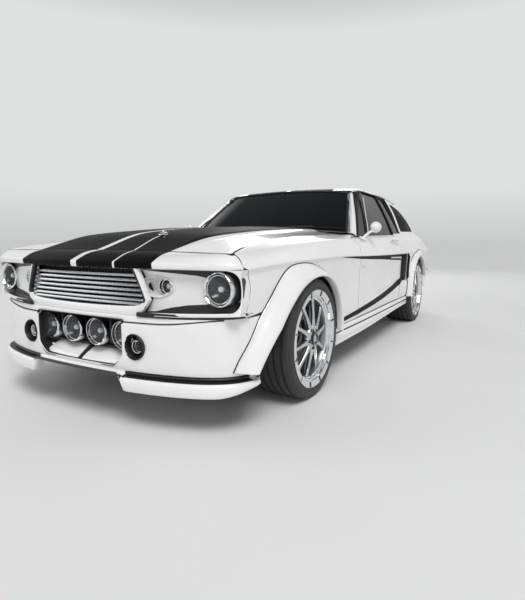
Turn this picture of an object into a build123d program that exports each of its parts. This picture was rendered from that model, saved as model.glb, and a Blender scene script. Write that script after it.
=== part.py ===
from build123d import *
import os
import math

# Fastback muscle coupe of the late 1960s with a racing body kit, at real size, millimetres.
# Frame: +X is the car's left, the nose points to -Y, +Z is up.
# The origin is on the ground, below the middle of the car's length and width.

# ---------------------------------------------------------------- driving dimensions
FRONT_AXLE_Y = -1461.0
REAR_AXLE_Y = 1282.0
TYRE_RADIUS = 332.0
FRONT_TYRE_WIDTH = 262.0
REAR_TYRE_WIDTH = 290.0
RIM_RADIUS = 236.0
WHEEL_FACE_X = 898.0           # outer face of each tyre
KINGPIN_X = 700.0
ARCH_Z = 342.0                 # middle of the wheelhouse shells
REAR_ARCH_RADIUS = 378.0
WHEELHOUSE_RADIUS = 424.0
WHEELHOUSE_INNER_X = 440.0     # leaves room for the turned front wheel
REAR_HOUSE_INNER_X = 590.0
RAIL_X = 395.0
SKIN = 24.0                    # thickness of a body panel
DOOR_THICKNESS = 104.0
GLASS = 6.0
SHUT = 6.0                     # gap between a moving panel and its neighbour
FENDER_FRONT_Y = -2120.0
DOOR_FRONT_Y = -634.0
DOOR_REAR_Y = 545.0
DOOR_BOTTOM_Z = 322.0
HOOD_HALF = 752.0
HOOD_REAR_Y = -716.0
LID_HALF = 610.0
LID_FRONT_Y = 1868.0
TAIL_Y = 2262.0
SCREEN_BASE_Y = -640.0         # windscreen foot at the centre line
SCREEN_TOP_Y = -30.0
ENGINE_SIZE = (500.0, 640.0, 400.0)
STEERING_WHEEL_RADIUS = 185.0
STEERING_WHEEL_AT = (370.0, -60.0, 830.0)
STEERING_TILT = 24.0           # lean of the steering column, degrees above level

# Body side, one row a station.
# columns: y, x_low, z_low, x_cove, z_cove, x_crease, z_crease, x_shoulder, z_shoulder, x_top, z_top
SIDE = [
    (-2120, 832, 500, 846, 600, 853, 742, 836, 790, 806, 812),
    (-1900, 850, 480, 862, 620, 873, 757, 845, 820, 760, 850),
    (-1461, 862, 430, 868, 620, 886, 768, 850, 850, 760, 888),
    (-1000, 866, 400, 868, 600, 887, 769, 850, 866, 760, 900),
    (DOOR_FRONT_Y, 870, 390, 869, 580, 888, 762, 852, 868, 762, 908),
    (0, 876, 390, 872, 570, 893, 752, 858, 872, 772, 918),
    (DOOR_REAR_Y, 880, 390, 876, 570, 897, 748, 864, 878, 782, 926),
    (900, 880, 400, 878, 580, 901, 748, 868, 886, 786, 936),
    (REAR_AXLE_Y, 878, 430, 878, 600, 904, 750, 868, 892, 782, 944),
    (1700, 862, 470, 868, 610, 888, 752, 842, 884, 752, 942),
    (2050, 838, 520, 846, 620, 866, 750, 794, 868, 722, 934),
    (TAIL_Y, 808, 560, 816, 630, 832, 746, 754, 856, 696, 928),
]
# Roof and fastback line. columns: y, x_edge, z_edge, z_middle
ROOF = [
    (SCREEN_TOP_Y, 586, 1286, 1306),
    (250, 602, 1307, 1330),
    (600, 618, 1305, 1330),
    (950, 632, 1283, 1312),
    (1180, 642, 1250, 1281),
    (1400, 652, 1198, 1227),
    (1620, 658, 1118, 1144),
    (1800, 661, 1032, 1055),
    (LID_FRONT_Y, 656, 997, 1017),
]
# Hood. columns: y, z_edge, z_middle
HOOD = [
    (-2128, 814, 824),
    (-1950, 842, 884),
    (-1700, 868, 922),
    (-1300, 893, 952),
    (-1000, 901, 964),
    (HOOD_REAR_Y, 906, 970),
]
# Trunk lid. columns: y, z_edge, z_middle
LID = [
    (LID_FRONT_Y + 6, 992, 1012),
    (2050, 950, 966),
    (2180, 948, 958),
    (2262, 972, 980),
]

made = {}


def ring_wire(points):
    return Wire.make_polygon([Vector(*p) for p in points], close=True)


def skin_loft(sections):
    """Solid through closed polygon sections joined by straight rulings."""
    return Solid.make_loft([ring_wire(s) for s in sections], ruled=True)


def mirror_x(sections):
    return [[(-x, y, z) for x, y, z in s] for s in sections]


def block(x0, x1, y0, y1, z0, z1):
    return Pos((x0 + x1) / 2, (y0 + y1) / 2, (z0 + z1) / 2) * Box(abs(x1 - x0), abs(y1 - y0), abs(z1 - z0))


def drum(radius, x0, x1, y, z):
    """Cylinder along X."""
    return Pos((x0 + x1) / 2, y, z) * Rot(0, 90, 0) * Cylinder(radius, abs(x1 - x0))


def disc_y(radius, y0, y1, x, z):
    """Cylinder along Y."""
    return Pos(x, (y0 + y1) / 2, z) * Rot(90, 0, 0) * Cylinder(radius, abs(y1 - y0))


def keep(name, *shapes):
    solids = []
    for s in shapes:
        solids.extend(s.solids() if hasattr(s, "solids") else [s])
    made[name] = solids


def side_at(y, table=SIDE):
    """Row of a station table at y, by straight lines between its rows."""
    if y <= table[0][0]:
        return (y,) + tuple(table[0][1:])
    for a, b in zip(table, table[1:]):
        if a[0] <= y <= b[0]:
            t = (y - a[0]) / (b[0] - a[0])
            return tuple(p + (q - p) * t for p, q in zip(a, b))
    return (y,) + tuple(table[-1][1:])


def side_section(y, bottom, depth, top_lip=0.0):
    """Closed section of the body side at y, from z = bottom up to the belt, `depth` thick."""
    _, xl, zl, xc, zc, xu, zu, xs, zs, xt, zt = side_at(y)
    xb = xl - 8
    if bottom < zl - 20:
        lows = [(xb, y, bottom), (xl, y, zl)]
    else:
        lows = [(xl, y, bottom), (xl + 1, y, bottom + 20)]
    outer = lows + [(xc, y, max(zc, bottom + 45)), (xu, y, zu), (xs, y, zs), (xt, y, zt)]
    x_in = xu - depth - 10
    inner = [
        (xt - top_lip, y, zt - 16),
        (min(xs, x_in + 6) - 12 if top_lip else min(xs - SKIN, x_in), y, zs - 22),
        (x_in, y, zu - 20),
        (x_in, y, bottom + 30),
        (min(x_in, xb - 20), y, bottom),
    ]
    return outer + inner


def both(name, sections, cutters=()):
    """Make NAME_left and NAME_right from sections on the left side; cutters are left-hand solids."""
    left = skin_loft(sections)
    right = skin_loft(mirror_x(sections))
    for c in cutters:
        left = left - c
        right = right - c.mirror(Plane.YZ)
    return left, right


def arch_ring(y, z, r0, r1, x0, x1, z_cut):
    """Rolled flare round a wheel arch: part of a ring about the axle, open below z_cut."""
    ring = drum(r1, x0, x1, y, z) - drum(r0, x0 - 5, x1 + 5, y, z)
    return ring - block(x0 - 10, x1 + 10, y - r1 - 10, y + r1 + 10, z - r1 - 10, z_cut)


# ---------------------------------------------------------------- fenders
# Front wheel opening, whose front leg leans towards the nose. columns: y, z of the lip, y, z of the flare's outer line
FRONT_ARCH = [
    (-2056, 290, -2122, 300), (-1975, 400, -2058, 418), (-1880, 497, -1999, 508), (-1760, 588, -1925, 592), (-1650, 645, -1834, 678),
    (-1550, 672, -1740, 735), (-1445, 680, -1630, 752), (-1340, 668, -1508, 747), (-1245, 628, -1356, 714), (-1165, 555, -1208, 650),
    (-1115, 465, -1110, 560), (-1097, 380, -1058, 470), (-1096, 316, -1042, 316),
]


def side_prism(points, x0, x1):
    """Outline in y and z carried from x0 to x1."""
    return skin_loft([[(x, y, z) for y, z in points] for x in (x0, x1)])


lip_line = [(y, z) for y, z, _, _ in FRONT_ARCH]
outer_line = [(y, z) for _, _, y, z in FRONT_ARCH]
front_arch = side_prism(lip_line + [(-1096, 100), (-1972, 100), (-1986, 240)], 560, 1000)
flare_cut = side_prism(outer_line + [(-1042, 100), (-1972, 100), (-1986, 240), (-2046, 272)], 560, 1000)
rear_arch = drum(REAR_ARCH_RADIUS, 560, 1000, REAR_AXLE_Y, ARCH_Z)
nose_low = block(500, 1000, -2300, FRONT_AXLE_Y, 200, 530)
fender_rows = [side_section(y, DOOR_BOTTOM_Z, SKIN, 8) for y in (-2120, -1900, -1461, -1000, DOOR_FRONT_Y - SHUT)]
fl, fr = both("fender", fender_rows, (front_arch, nose_low))
flare_shape = side_prism(outer_line + [(-1096, 316), (-2056, 290)], 846, 926) - front_arch
flare_foot = (side_prism(outer_line + [(-1096, 316), (-2056, 290)], 790, 850) - front_arch) & block(700, 900, -2200, -1870, 200, 500)
flare = flare_shape + flare_foot
keep("fenders", fl + flare, fr + flare.mirror(Plane.YZ))

# ---------------------------------------------------------------- doors
def door_section(y, depth):
    s = side_section(y, DOOR_BOTTOM_Z, depth, 0)
    outer, inner = s[:6], s[6:]
    x_in = 893 - depth
    inner = [(x_in, y, outer[5][2] - 4), (x_in, y, 860), (x_in, y, 740), (x_in, y, DOOR_BOTTOM_Z + 40), (x_in + 4, y, DOOR_BOTTOM_Z)]
    top = (max(outer[5][0], x_in + 8), y, outer[5][2])
    return outer[:5] + [top] + inner

door_rows = [
    door_section(DOOR_FRONT_Y, DOOR_THICKNESS - 10),
    door_section(0, DOOR_THICKNESS),
    door_section(DOOR_REAR_Y - 40, DOOR_THICKNESS),
    door_section(DOOR_REAR_Y - 6, DOOR_THICKNESS - 56),
]
dl, dr = both("door", door_rows)
keep("door_left", dl)
keep("door_right", dr)

# Side glass. columns: y_foot, x_foot, z_foot, y_head, x_head, z_head
DOOR_GLASS = [
    (-500, 799, 913, -66, 612, 1238),
    (-420, 799, 915, 0, 610, 1262),
    (150, 801, 924, 180, 609, 1288),
    (DOOR_REAR_Y - 12, 804, 929, DOOR_REAR_Y - 14, 625, 1288),
]
QUARTER_GLASS = [
    (DOOR_REAR_Y + 6, 774, 930, DOOR_REAR_Y + 4, 626, 1284),
    (740, 775, 935, 690, 632, 1270),
    (870, 773, 938, 806, 637, 1240),
]

def glass_rows(rows):
    return [
        [(xf, yf, zf), (xf + GLASS, yf, zf), (xh + GLASS, yh, zh), (xh, yh, zh)]
        for yf, xf, zf, yh, xh, zh in rows
    ]

gl, gr = both("door_glass", glass_rows(DOOR_GLASS))
keep("door_glass_left", gl)
keep("door_glass_right", gr)
gl, gr = both("quarter_glass", glass_rows(QUARTER_GLASS))
keep("quarter_glass", gl, gr)

# ---------------------------------------------------------------- door mirrors
mirror_foot = skin_loft([
    [(832, -508, 892), (858, -508, 878), (858, -470, 882), (832, -470, 896)],
    [(868, -412, 946), (892, -412, 944), (892, -384, 944), (868, -384, 946)],
])
mirror_head = Pos(897, -388, 966) * Rot(0, 0, 8) * Rot(90, 0, 0) * Cone(30, 41, 60)
for side, flip in (("left", False), ("right", True)):
    body = mirror_foot + mirror_head
    keep("mirror_" + side, body.mirror(Plane.YZ) if flip else body)

# ---------------------------------------------------------------- quarter panels
quarter_low = [side_section(y, DOOR_BOTTOM_Z, SKIN, 8) for y in (DOOR_REAR_Y + 2, 900, REAR_AXLE_Y, 1700, 2050, TAIL_Y - 6)]

def sail_section(y):
    """Sail panel from the belt up to the edge of the roof."""
    r = side_at(y, ROOF)
    s = side_at(y)
    foot = (s[9], y, s[10])
    head = (r[1] + 14, y, r[2] - 14)
    mid = (0.42 * foot[0] + 0.58 * head[0] + 16, y, 0.42 * foot[2] + 0.58 * head[2])
    return [
        (foot[0], y, foot[2] - 10), foot, mid, head,
        (r[1] + 3, y, r[2] - 32), (mid[0] - 34, y, mid[2] - 10), (foot[0] - 40, y, foot[2] - 14),
    ]

sail_rows = [sail_section(y) for y in (905, 1040, 1180, 1400, 1620, 1800, LID_FRONT_Y)]
deck_rows = [
    [(s[9] + 2, y, s[10]), (LID_HALF + 8, y, side_at(y, LID)[1] + 2), (LID_HALF + 8, y, side_at(y, LID)[1] - 22), (s[9] - 6, y, s[10] - 24)]
    for y, s in ((y, side_at(y)) for y in (LID_FRONT_Y, 2050, 2180, TAIL_Y - 6))
]
# Pillar between the quarter glass and the sail panel. columns: y_foot, x_foot, z_foot, y_head, x_head, z_head
PILLAR_STRIP = [
    [(xf, yf, zf), (xf + 20, yf, zf + 4), (xh + 20, yh, zh + 4), (xh, yh, zh)]
    for yf, xf, zf, yh, xh, zh in ((880, 762, 932, 818, 622, 1246), (922, 760, 934, 928, 626, 1244))
]
rear_low = block(500, 1000, REAR_AXLE_Y, 2400, 200, 498) + block(500, 1000, 2106, 2400, 400, 606)
scoop = block(878, 930, 585, 800, 470, 735)
pieces = []
for flip in (False, True):
    rows = mirror_x(quarter_low) if flip else quarter_low
    sails = mirror_x(sail_rows) if flip else sail_rows
    decks = mirror_x(deck_rows) if flip else deck_rows
    low = skin_loft(rows)
    strip = skin_loft(mirror_x(PILLAR_STRIP) if flip else PILLAR_STRIP)
    for c in (rear_arch, rear_low):
        low = low - (c.mirror(Plane.YZ) if flip else c)
    ring = arch_ring(REAR_AXLE_Y, ARCH_Z, REAR_ARCH_RADIUS, REAR_ARCH_RADIUS + 32, 850, 932, 330)
    cowl_scoop = skin_loft([
        [(866, 790, 488), (866, 790, 742), (884, 790, 734), (884, 790, 496)],
        [(866, 806, 476), (866, 806, 750), (920, 806, 742), (920, 806, 486)],
        [(866, 905, 482), (866, 905, 744), (886, 905, 738), (886, 905, 488)],
    ])
    extra = ring + cowl_scoop
    if flip:
        extra = extra.mirror(Plane.YZ)
    pieces.append(low + skin_loft(sails) + skin_loft(decks) + strip + extra)
keep("quarter_panels", *pieces)

# ---------------------------------------------------------------- roof with its screen pillars
def crown_section(y, x_edge, z_edge, z_mid, thick):
    xs = [-x_edge, -x_edge * 0.66, -x_edge * 0.33, 0, x_edge * 0.33, x_edge * 0.66, x_edge]
    top = [(x, y, z_mid - (z_mid - z_edge) * (abs(x) / x_edge) ** 2) for x in xs]
    return top + [(x, y, z - thick) for x, y, z in reversed(top)]

roof_skin = skin_loft([crown_section(y, xe, ze, zm, 26) for y, xe, ze, zm in ROOF[:5]])

def pillar(flip):
    rows = [
        [(700, -470, 925), (756, -500, 912), (764, -452, 916), (724, -428, 930)],
        [(586, SCREEN_TOP_Y - 26, 1268), (606, SCREEN_TOP_Y - 24, 1252), (606, SCREEN_TOP_Y + 18, 1266), (574, SCREEN_TOP_Y + 18, 1282)],
    ]
    return skin_loft(mirror_x(rows) if flip else rows)

def rail(flip):
    rows = [[(xe - 30, y, ze - 24), (xe + 12, y, ze - 20), (xe + 12, y, ze - 4), (xe - 30, y, ze - 2)] for y, xe, ze, zm in ROOF[:5]]
    return skin_loft(mirror_x(rows) if flip else rows)

keep("roof", roof_skin + pillar(False) + pillar(True))

# ---------------------------------------------------------------- screens
def screen_rows(rows):
    out = []
    for foot, head in rows:
        fx, fy, fz = foot
        hx, hy, hz = head
        out.append([(fx, fy, fz), (hx, hy, hz), (hx, hy + 3, hz - 6), (fx, fy + 3, fz - 6)])
    return out

SCREEN = [
    ((-704, -458, 924), (-570, SCREEN_TOP_Y - 14, 1266)),
    ((-520, -566, 938), (-420, SCREEN_TOP_Y - 44, 1278)),
    ((-260, -624, 946), (-210, SCREEN_TOP_Y - 58, 1286)),
    ((0, SCREEN_BASE_Y, 950), (0, SCREEN_TOP_Y - 62, 1290)),
    ((260, -624, 946), (210, SCREEN_TOP_Y - 58, 1286)),
    ((520, -566, 938), (420, SCREEN_TOP_Y - 44, 1278)),
    ((704, -458, 924), (570, SCREEN_TOP_Y - 14, 1266)),
]
keep("windshield", skin_loft(screen_rows(SCREEN)))
# rear window between the sail panels. columns: y, half width
REAR_SCREEN = [(1186, 636), (1400, 646), (1620, 651), (1800, 654)]
keep("rear_window", skin_loft([
    crown_section(y, xw, side_at(y, ROOF)[2] - 16, side_at(y, ROOF)[3] - 8, 6) for y, xw in REAR_SCREEN
]))
keep("rear_deck", skin_loft([
    crown_section(y, xw, side_at(y, ROOF)[2] - 14, side_at(y, ROOF)[3] - 6, 22) for y, xw in ((1804, 654), (LID_FRONT_Y - 2, 648))
]) + block(-560, 560, 1290, 1840, 880, 892) + block(-560, 560, 1828, 1840, 880, 1000))

# ---------------------------------------------------------------- hood and trunk lid
def lid_section(y, half, z_edge, z_mid, thick):
    xs = [-half, -half * 0.7, -340, 0, 340, half * 0.7, half]
    zs = [z_edge, z_edge + (z_mid - z_edge) * 0.45, z_mid - 4, z_mid]
    zs = zs + zs[2::-1]
    top = [(x, y, z) for x, z in zip(xs, zs)]
    return top + [(x, y, z - thick) for x, y, z in reversed(top)]

keep("hood", skin_loft([lid_section(y, HOOD_HALF if y > -2100 else HOOD_HALF + 30, ze, zm, SKIN) for y, ze, zm in HOOD]))
keep("trunk_lid", skin_loft([lid_section(y, LID_HALF, ze, zm, SKIN) for y, ze, zm in LID[:3]])
     + skin_loft([lid_section(y, LID_HALF, ze, zm, 40) for y, ze, zm in LID[2:]]))

# ---------------------------------------------------------------- cowl and header panel
keep("cowl", skin_loft([
    [(-740, HOOD_REAR_Y + SHUT, 880), (-740, HOOD_REAR_Y + SHUT, 900), (-716, -470, 914), (-716, -470, 894)],
    [(-380, HOOD_REAR_Y + SHUT, 900), (-380, HOOD_REAR_Y + SHUT, 930), (-380, -606, 934), (-380, -606, 904)],
    [(0, HOOD_REAR_Y + SHUT, 906), (0, HOOD_REAR_Y + SHUT, 938), (0, -650, 941), (0, -650, 908)],
    [(380, HOOD_REAR_Y + SHUT, 900), (380, HOOD_REAR_Y + SHUT, 930), (380, -606, 934), (380, -606, 904)],
    [(740, HOOD_REAR_Y + SHUT, 880), (740, HOOD_REAR_Y + SHUT, 900), (716, -470, 914), (716, -470, 894)],
]))
# columns: x, y_front, z_front, y_rear, z_rear
HEADER = [(-848, -2134, 752, -2126, 786), (-780, -2188, 766, -2134, 810), (-500, -2244, 766, -2136, 814), (-250, -2278, 768, -2136, 819), (0, -2290, 770, -2136, 821),
          (250, -2278, 768, -2136, 819), (500, -2244, 766, -2136, 814), (780, -2188, 766, -2134, 810), (848, -2134, 752, -2126, 786)]
keep("header_panel", skin_loft([
    [(x, yf, zf - 18), (x, yf, zf), (x, 0.5 * yf + 0.5 * yr, 0.5 * (zf + zr) + 8), (x, yr, zr), (x, yr, zr - 18), (x, 0.4 * yf + 0.6 * yr, 0.5 * (zf + zr) - 14)]
    for x, yf, zf, yr, zr in HEADER
]))

# ---------------------------------------------------------------- headlamp panels, lamps and grille
# columns: x, y_front, z_low, z_top
LAMP_FACE = [(398, -2250, 534, 744), (600, -2222, 546, 745), (770, -2182, 552, 744), (860, -2146, 554, 730)]
LAMP_OUTER = (750, -2172, 658, 76)    # x, y of the lens, z, radius
LAMP_INNER = (490, -2226, 660, 46)
panel_rows = [[(x, y, z0), (x, y, z1), (x, y + 22, z1), (x, y + 22, z0)] for x, y, z0, z1 in LAMP_FACE]
lamp_holes = [disc_y(LAMP_OUTER[3] + 4, -2300, -2000, LAMP_OUTER[0], LAMP_OUTER[2]), disc_y(LAMP_INNER[3] + 4, -2300, -2000, LAMP_INNER[0], LAMP_INNER[2])]
pl, pr = both("panel", panel_rows, lamp_holes)
keep("headlamp_panels", pl, pr)
lamp_solids = []
for x, y, z, r in (LAMP_OUTER, LAMP_INNER):
    bowl = disc_y(r, y - 4, y + 48, x, z)
    lamp_solids += [bowl, bowl.mirror(Plane.YZ)]
keep("headlamps", *lamp_solids)

GRILLE_Y = -2284.0
GRILLE_TOP, GRILLE_LOW = 736.0, 528.0
outer_shape = Polyline((-376, GRILLE_TOP), (376, GRILLE_TOP), (394, 600), (392, GRILLE_LOW), (-392, GRILLE_LOW), (-394, 600), close=True)
inner_shape = Polyline((-346, GRILLE_TOP - 18), (346, GRILLE_TOP - 18), (364, 600), (360, GRILLE_LOW + 34), (-360, GRILLE_LOW + 34), (-364, 600), close=True)
frame_face = make_face(Plane.XZ.location * outer_shape) - make_face(Plane.XZ.location * inner_shape)
surround = Pos(0, GRILLE_Y + 44, 0) * extrude(frame_face, 34)
bars = [block(-364, 364, GRILLE_Y + 34, GRILLE_Y + 44, z, z + 8) for z in (586, 606, 626, 646, 666, 686, 704)]
back_plate = block(-380, 380, GRILLE_Y + 44, GRILLE_Y + 50, 540, 730)
grille = surround + back_plate
for b in bars:
    grille = grille + b
keep("grille", grille)

# ---------------------------------------------------------------- front valance with its chin
# plan outline of the outer face, left half. columns: x, y
VALANCE_PLAN = [(0, -2300), (330, -2288), (600, -2240), (780, -2150), (846, -2030), (858, -1880)]

def plan_ring(plan, z, back, shrink):
    outer = [(x * shrink, y, z) for x, y in plan]
    left = outer[::-1] + [(-x, y, zz) for x, y, zz in outer[1:]]
    inner_half = [(max(x * shrink - back, 0), y + (back if x < 800 else 0), z) for x, y in plan]
    inner = [(-x, y, zz) for x, y, zz in inner_half[::-1]] + inner_half[1:]
    return left + inner

# columns: z, wall thickness, share of the full width, forward shift
VALANCE_ROWS = [(196, 34, 0.985, -10), (246, 34, 1.0, -30), (300, 30, 0.994, 0), (440, 30, 1.0, 0), (496, 30, 0.99, 16), (524, 30, 0.985, 22)]
valance = skin_loft([
    [(x, y + shift, z) for x, y, z in plan_ring(VALANCE_PLAN, z0, back, share)]
    for z0, back, share, shift in VALANCE_ROWS
])
valance = valance - block(-304, 304, -2400, -2150, 293, 508)
valance = valance - flare_cut - flare_cut.mirror(Plane.YZ)
fog_hole = disc_y(54, -2400, -2150, 372, 394)
valance = valance - fog_hole - fog_hole.mirror(Plane.YZ)
keep("front_valance", valance)

driving = [disc_y(74, -2228, -2186, x, 431) for x in (-266, -88, 88, 266)]
driving_bar = block(-350, 350, -2186, -2170, 419, 443)
fogs = [disc_y(50, -2282, -2226, x, 394) for x in (-372, 372)]
row = driving_bar
for d in driving:
    row = row + d
keep("driving_lamps", row, *fogs)

# ---------------------------------------------------------------- side skirts
# columns: y, z_bottom, x_outer
SKIRT = [(-1056, 196, 858), (-393, 206, 872), (383, 226, 874), (892, 232, 872)]
skirt_rows = [[(x - 60, y, z), (x - 8, y, z), (x, y, z + 14), (x - 2, y, DOOR_BOTTOM_Z - 8), (x - 60, y, DOOR_BOTTOM_Z - 8)] for y, z, x in SKIRT]
sl, sr = both("skirt", skirt_rows)
keep("side_skirts", sl, sr)

# ---------------------------------------------------------------- tail
keep("tail_panel", skin_loft([
    [(x, y, 608), (x, y, z), (x, y - 26, z), (x, y - 26, 608)]
    for x, y, z in ((-806, 2284, 760), (-744, 2286, 856), (-692, 2288, 912), (0, 2298, 914), (692, 2288, 912), (744, 2286, 856), (806, 2284, 760))
]))
lamp = skin_loft([
    [(x, y, 712), (x, y, 826), (x, y - 16, 826), (x, y - 16, 712)]
    for x, y in ((270, 2314), (500, 2311), (770, 2302))
])
keep("tail_lamps", lamp, lamp.mirror(Plane.YZ))
keep("rear_bumper", skin_loft([
    [(x, y, 500), (x, y, 600), (x, y - 30, 600), (x, y - 30, 500)]
    for x, y in ((-850, 2120), (-818, 2250), (-500, 2314), (0, 2330), (500, 2314), (818, 2250), (850, 2120))
]))
rear_valance = skin_loft([
    [(x, y, 310), (x, y + 14, 494), (x, y - 14, 494), (x, y - 26, 310)]
    for x, y in ((-850, 1690), (-838, 2060), (-780, 2200), (-500, 2250), (0, 2262), (500, 2250), (780, 2200), (838, 2060), (850, 1690))
])

# number-plate bracket: four blind holes on the usual rectangle
PLATE_SPACING_X, PLATE_SPACING_Z, PLATE_HOLE_R = 178.0, 121.0, 3.5
PLATE_Z, PLATE_FACE_Y = 404.0, 2292.0
rear_valance = rear_valance + block(-155, 155, 2252, PLATE_FACE_Y, PLATE_Z - 78, PLATE_Z + 78)
for sx in (-0.5, 0.5):
    for sz in (-0.5, 0.5):
        rear_valance = rear_valance - disc_y(PLATE_HOLE_R, PLATE_FACE_Y - 20, PLATE_FACE_Y + 2, sx * PLATE_SPACING_X, PLATE_Z + sz * PLATE_SPACING_Z)
for x in (-460, 460):
    rear_valance = rear_valance - disc_y(42, 2100, 2320, x, 372)
keep("rear_valance", rear_valance)

# ---------------------------------------------------------------- floor, rails, wheelhouses
floor = block(-806, 806, -640, 860, 246, 258)
tunnel = block(-130, 130, -640, 860, 258, 420) - block(-118, 118, -660, 870, 240, 408)
floor_open = floor - block(-118, 118, -660, 870, 240, 270)
firewall = block(-790, 790, -652, -640, 246, 872)
kick = block(-580, 580, 860, 872, 246, 540) - block(-118, 118, 850, 880, 240, 408)
shelf = block(-580, 580, 860, 2230, 528, 540)
sills = block(700, 806, -640, 880, 258, 316)
keep("floor_pan", floor_open + tunnel + sills + sills.mirror(Plane.YZ))
keep("firewall", firewall)
keep("trunk_floor", kick + shelf)

rail_left = block(RAIL_X - 35, RAIL_X + 35, -2120, -652, 300, 390)
rail_rear = block(RAIL_X - 30, RAIL_X + 30, 872, 2180, 450, 528)
front_cross = block(-RAIL_X, RAIL_X, -1500, -1400, 250, 300)
nose_cross = block(-620, 620, -2150, -2120, 320, 480)
radiator = block(-330, 330, -2080, -2020, 380, 790)
tie = block(-RAIL_X + 35, RAIL_X - 35, -2120, -2060, 330, 390)
keep("radiator", nose_cross + tie + radiator)

def wheelhouse(y, x_in, x_out, radius):
    shell = drum(radius + 10, x_in, x_out, y, ARCH_Z) - drum(radius, x_in + 10, x_out + 5, y, ARCH_Z)
    return shell - block(x_in - 10, x_out + 10, y - radius - 20, y + radius + 20, -200, 400)

front_house = wheelhouse(FRONT_AXLE_Y, WHEELHOUSE_INNER_X, 838, WHEELHOUSE_RADIUS)
rear_house = wheelhouse(REAR_AXLE_Y, REAR_HOUSE_INNER_X, 846, 386)
keep("wheelhouses", front_house, front_house.mirror(Plane.YZ), rear_house, rear_house.mirror(Plane.YZ))

ex, ey, ez = ENGINE_SIZE
keep("engine_block", Pos(0, -1560, 330 + ez / 2) * Box(ex, ey, ez))

# ---------------------------------------------------------------- suspension and running gear
arm = skin_loft([
    [(RAIL_X - 30, FRONT_AXLE_Y - 120, 258), (RAIL_X - 30, FRONT_AXLE_Y + 120, 258), (RAIL_X - 30, FRONT_AXLE_Y + 120, 299.5), (RAIL_X - 30, FRONT_AXLE_Y - 120, 299.5)],
    [(640, FRONT_AXLE_Y - 26, 214), (640, FRONT_AXLE_Y + 26, 214), (640, FRONT_AXLE_Y + 26, 234), (640, FRONT_AXLE_Y - 26, 234)],
])
keep("front_subframe", front_cross + arm + arm.mirror(Plane.YZ))
keep("chassis_rails", rail_left, rail_left.mirror(Plane.YZ), rail_rear, rail_rear.mirror(Plane.YZ))
axle = drum(42, -618, 618, REAR_AXLE_Y, TYRE_RADIUS) + Pos(0, REAR_AXLE_Y, TYRE_RADIUS) * Sphere(140)
axle = axle + drum(20, 600, 690, REAR_AXLE_Y, TYRE_RADIUS) + drum(20, -690, -600, REAR_AXLE_Y, TYRE_RADIUS)
axle = axle + Pos(0, REAR_AXLE_Y - 170, TYRE_RADIUS) * Rot(90, 0, 0) * Cylinder(60, 140)
shaft = Pos(0, (REAR_AXLE_Y - 240 - 600) / 2 + 0, 330) * Rot(90, 0, 0) * Cylinder(38, REAR_AXLE_Y - 242 + 600)
keep("rear_axle", axle + shaft)
spring = skin_loft([
    [(532, y, z), (582, y, z), (582, y, z + 22), (532, y, z + 22)]
    for y, z in ((880, 300), (1080, 268), (REAR_AXLE_Y, 264), (1600, 330), (1900, 424))
])
keep("leaf_springs", spring, spring.mirror(Plane.YZ))
pipe = Pos(220, 300, 205) * Rot(90, 0, 0) * Cylinder(30, 1700)
muffler = block(380, 520, 1760, 2080, 330, 440)
tip = Pos(460, 2190, 372) * Rot(90, 0, 0) * Cylinder(34, 200)
keep("exhaust", pipe, pipe.mirror(Plane.YZ), muffler + tip, (muffler + tip).mirror(Plane.YZ))
keep("fuel_tank", block(-360, 360, 1560, 2060, 330, 512))

# ---------------------------------------------------------------- cabin
def seat(x, half, y0, z0):
    base = skin_loft([
        [(x - half, y0, z0), (x + half, y0, z0), (x + half, y0, z0 + 130), (x - half, y0, z0 + 130)],
        [(x - half, y0 + 480, z0), (x + half, y0 + 480, z0), (x + half, y0 + 480, z0 + 100), (x - half, y0 + 480, z0 + 100)],
    ])
    back = skin_loft([
        [(x - half, y0 + 400, z0 + 104), (x + half, y0 + 400, z0 + 104), (x + half, y0 + 520, z0 + 104), (x - half, y0 + 520, z0 + 104)],
        [(x - half * 0.8, y0 + 570, z0 + 700), (x + half * 0.8, y0 + 570, z0 + 700), (x + half * 0.8, y0 + 650, z0 + 700), (x - half * 0.8, y0 + 650, z0 + 700)],
    ])
    rails = block(x - half + 40, x + half - 40, y0 + 60, y0 + 420, 258, z0)
    return base + back + rails

keep("front_seats", seat(370, 240, -60, 350), seat(-370, 240, -60, 350))
bench = skin_loft([
    [(-560, 760, 426), (560, 760, 426), (560, 760, 560), (-560, 760, 560)],
    [(-560, 859, 426), (560, 859, 426), (560, 859, 560), (-560, 859, 560)],
]) + block(-560, 560, 800, 1140, 540, 600) + skin_loft([
    [(-560, 1090, 590), (560, 1090, 590), (560, 1190, 590), (-560, 1190, 590)],
    [(-540, 1180, 880), (540, 1180, 880), (540, 1260, 880), (-540, 1260, 880)],
])
keep("rear_seat", bench)
dash = skin_loft([
    [(x, -520, 700), (x, -520, 890), (x, -300, 880), (x, -240, 830), (x, -250, 720)]
    for x in (-740, 0, 740)
])
cx, cy, cz = STEERING_WHEEL_AT
tilt = math.radians(STEERING_TILT)
column_axis = Vector(0, math.cos(tilt), math.sin(tilt))      # towards the driver
column_base = Vector(cx, cy, cz) - column_axis * 360
column_end = Vector(cx, cy, cz) - column_axis * 62
column = Solid.make_cylinder(28, (column_end - column_base).length, Plane(origin=column_base, z_dir=column_axis))
console = block(-112, 112, -300, 500, 420, 500)
keep("dashboard", dash + column, console)

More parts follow.
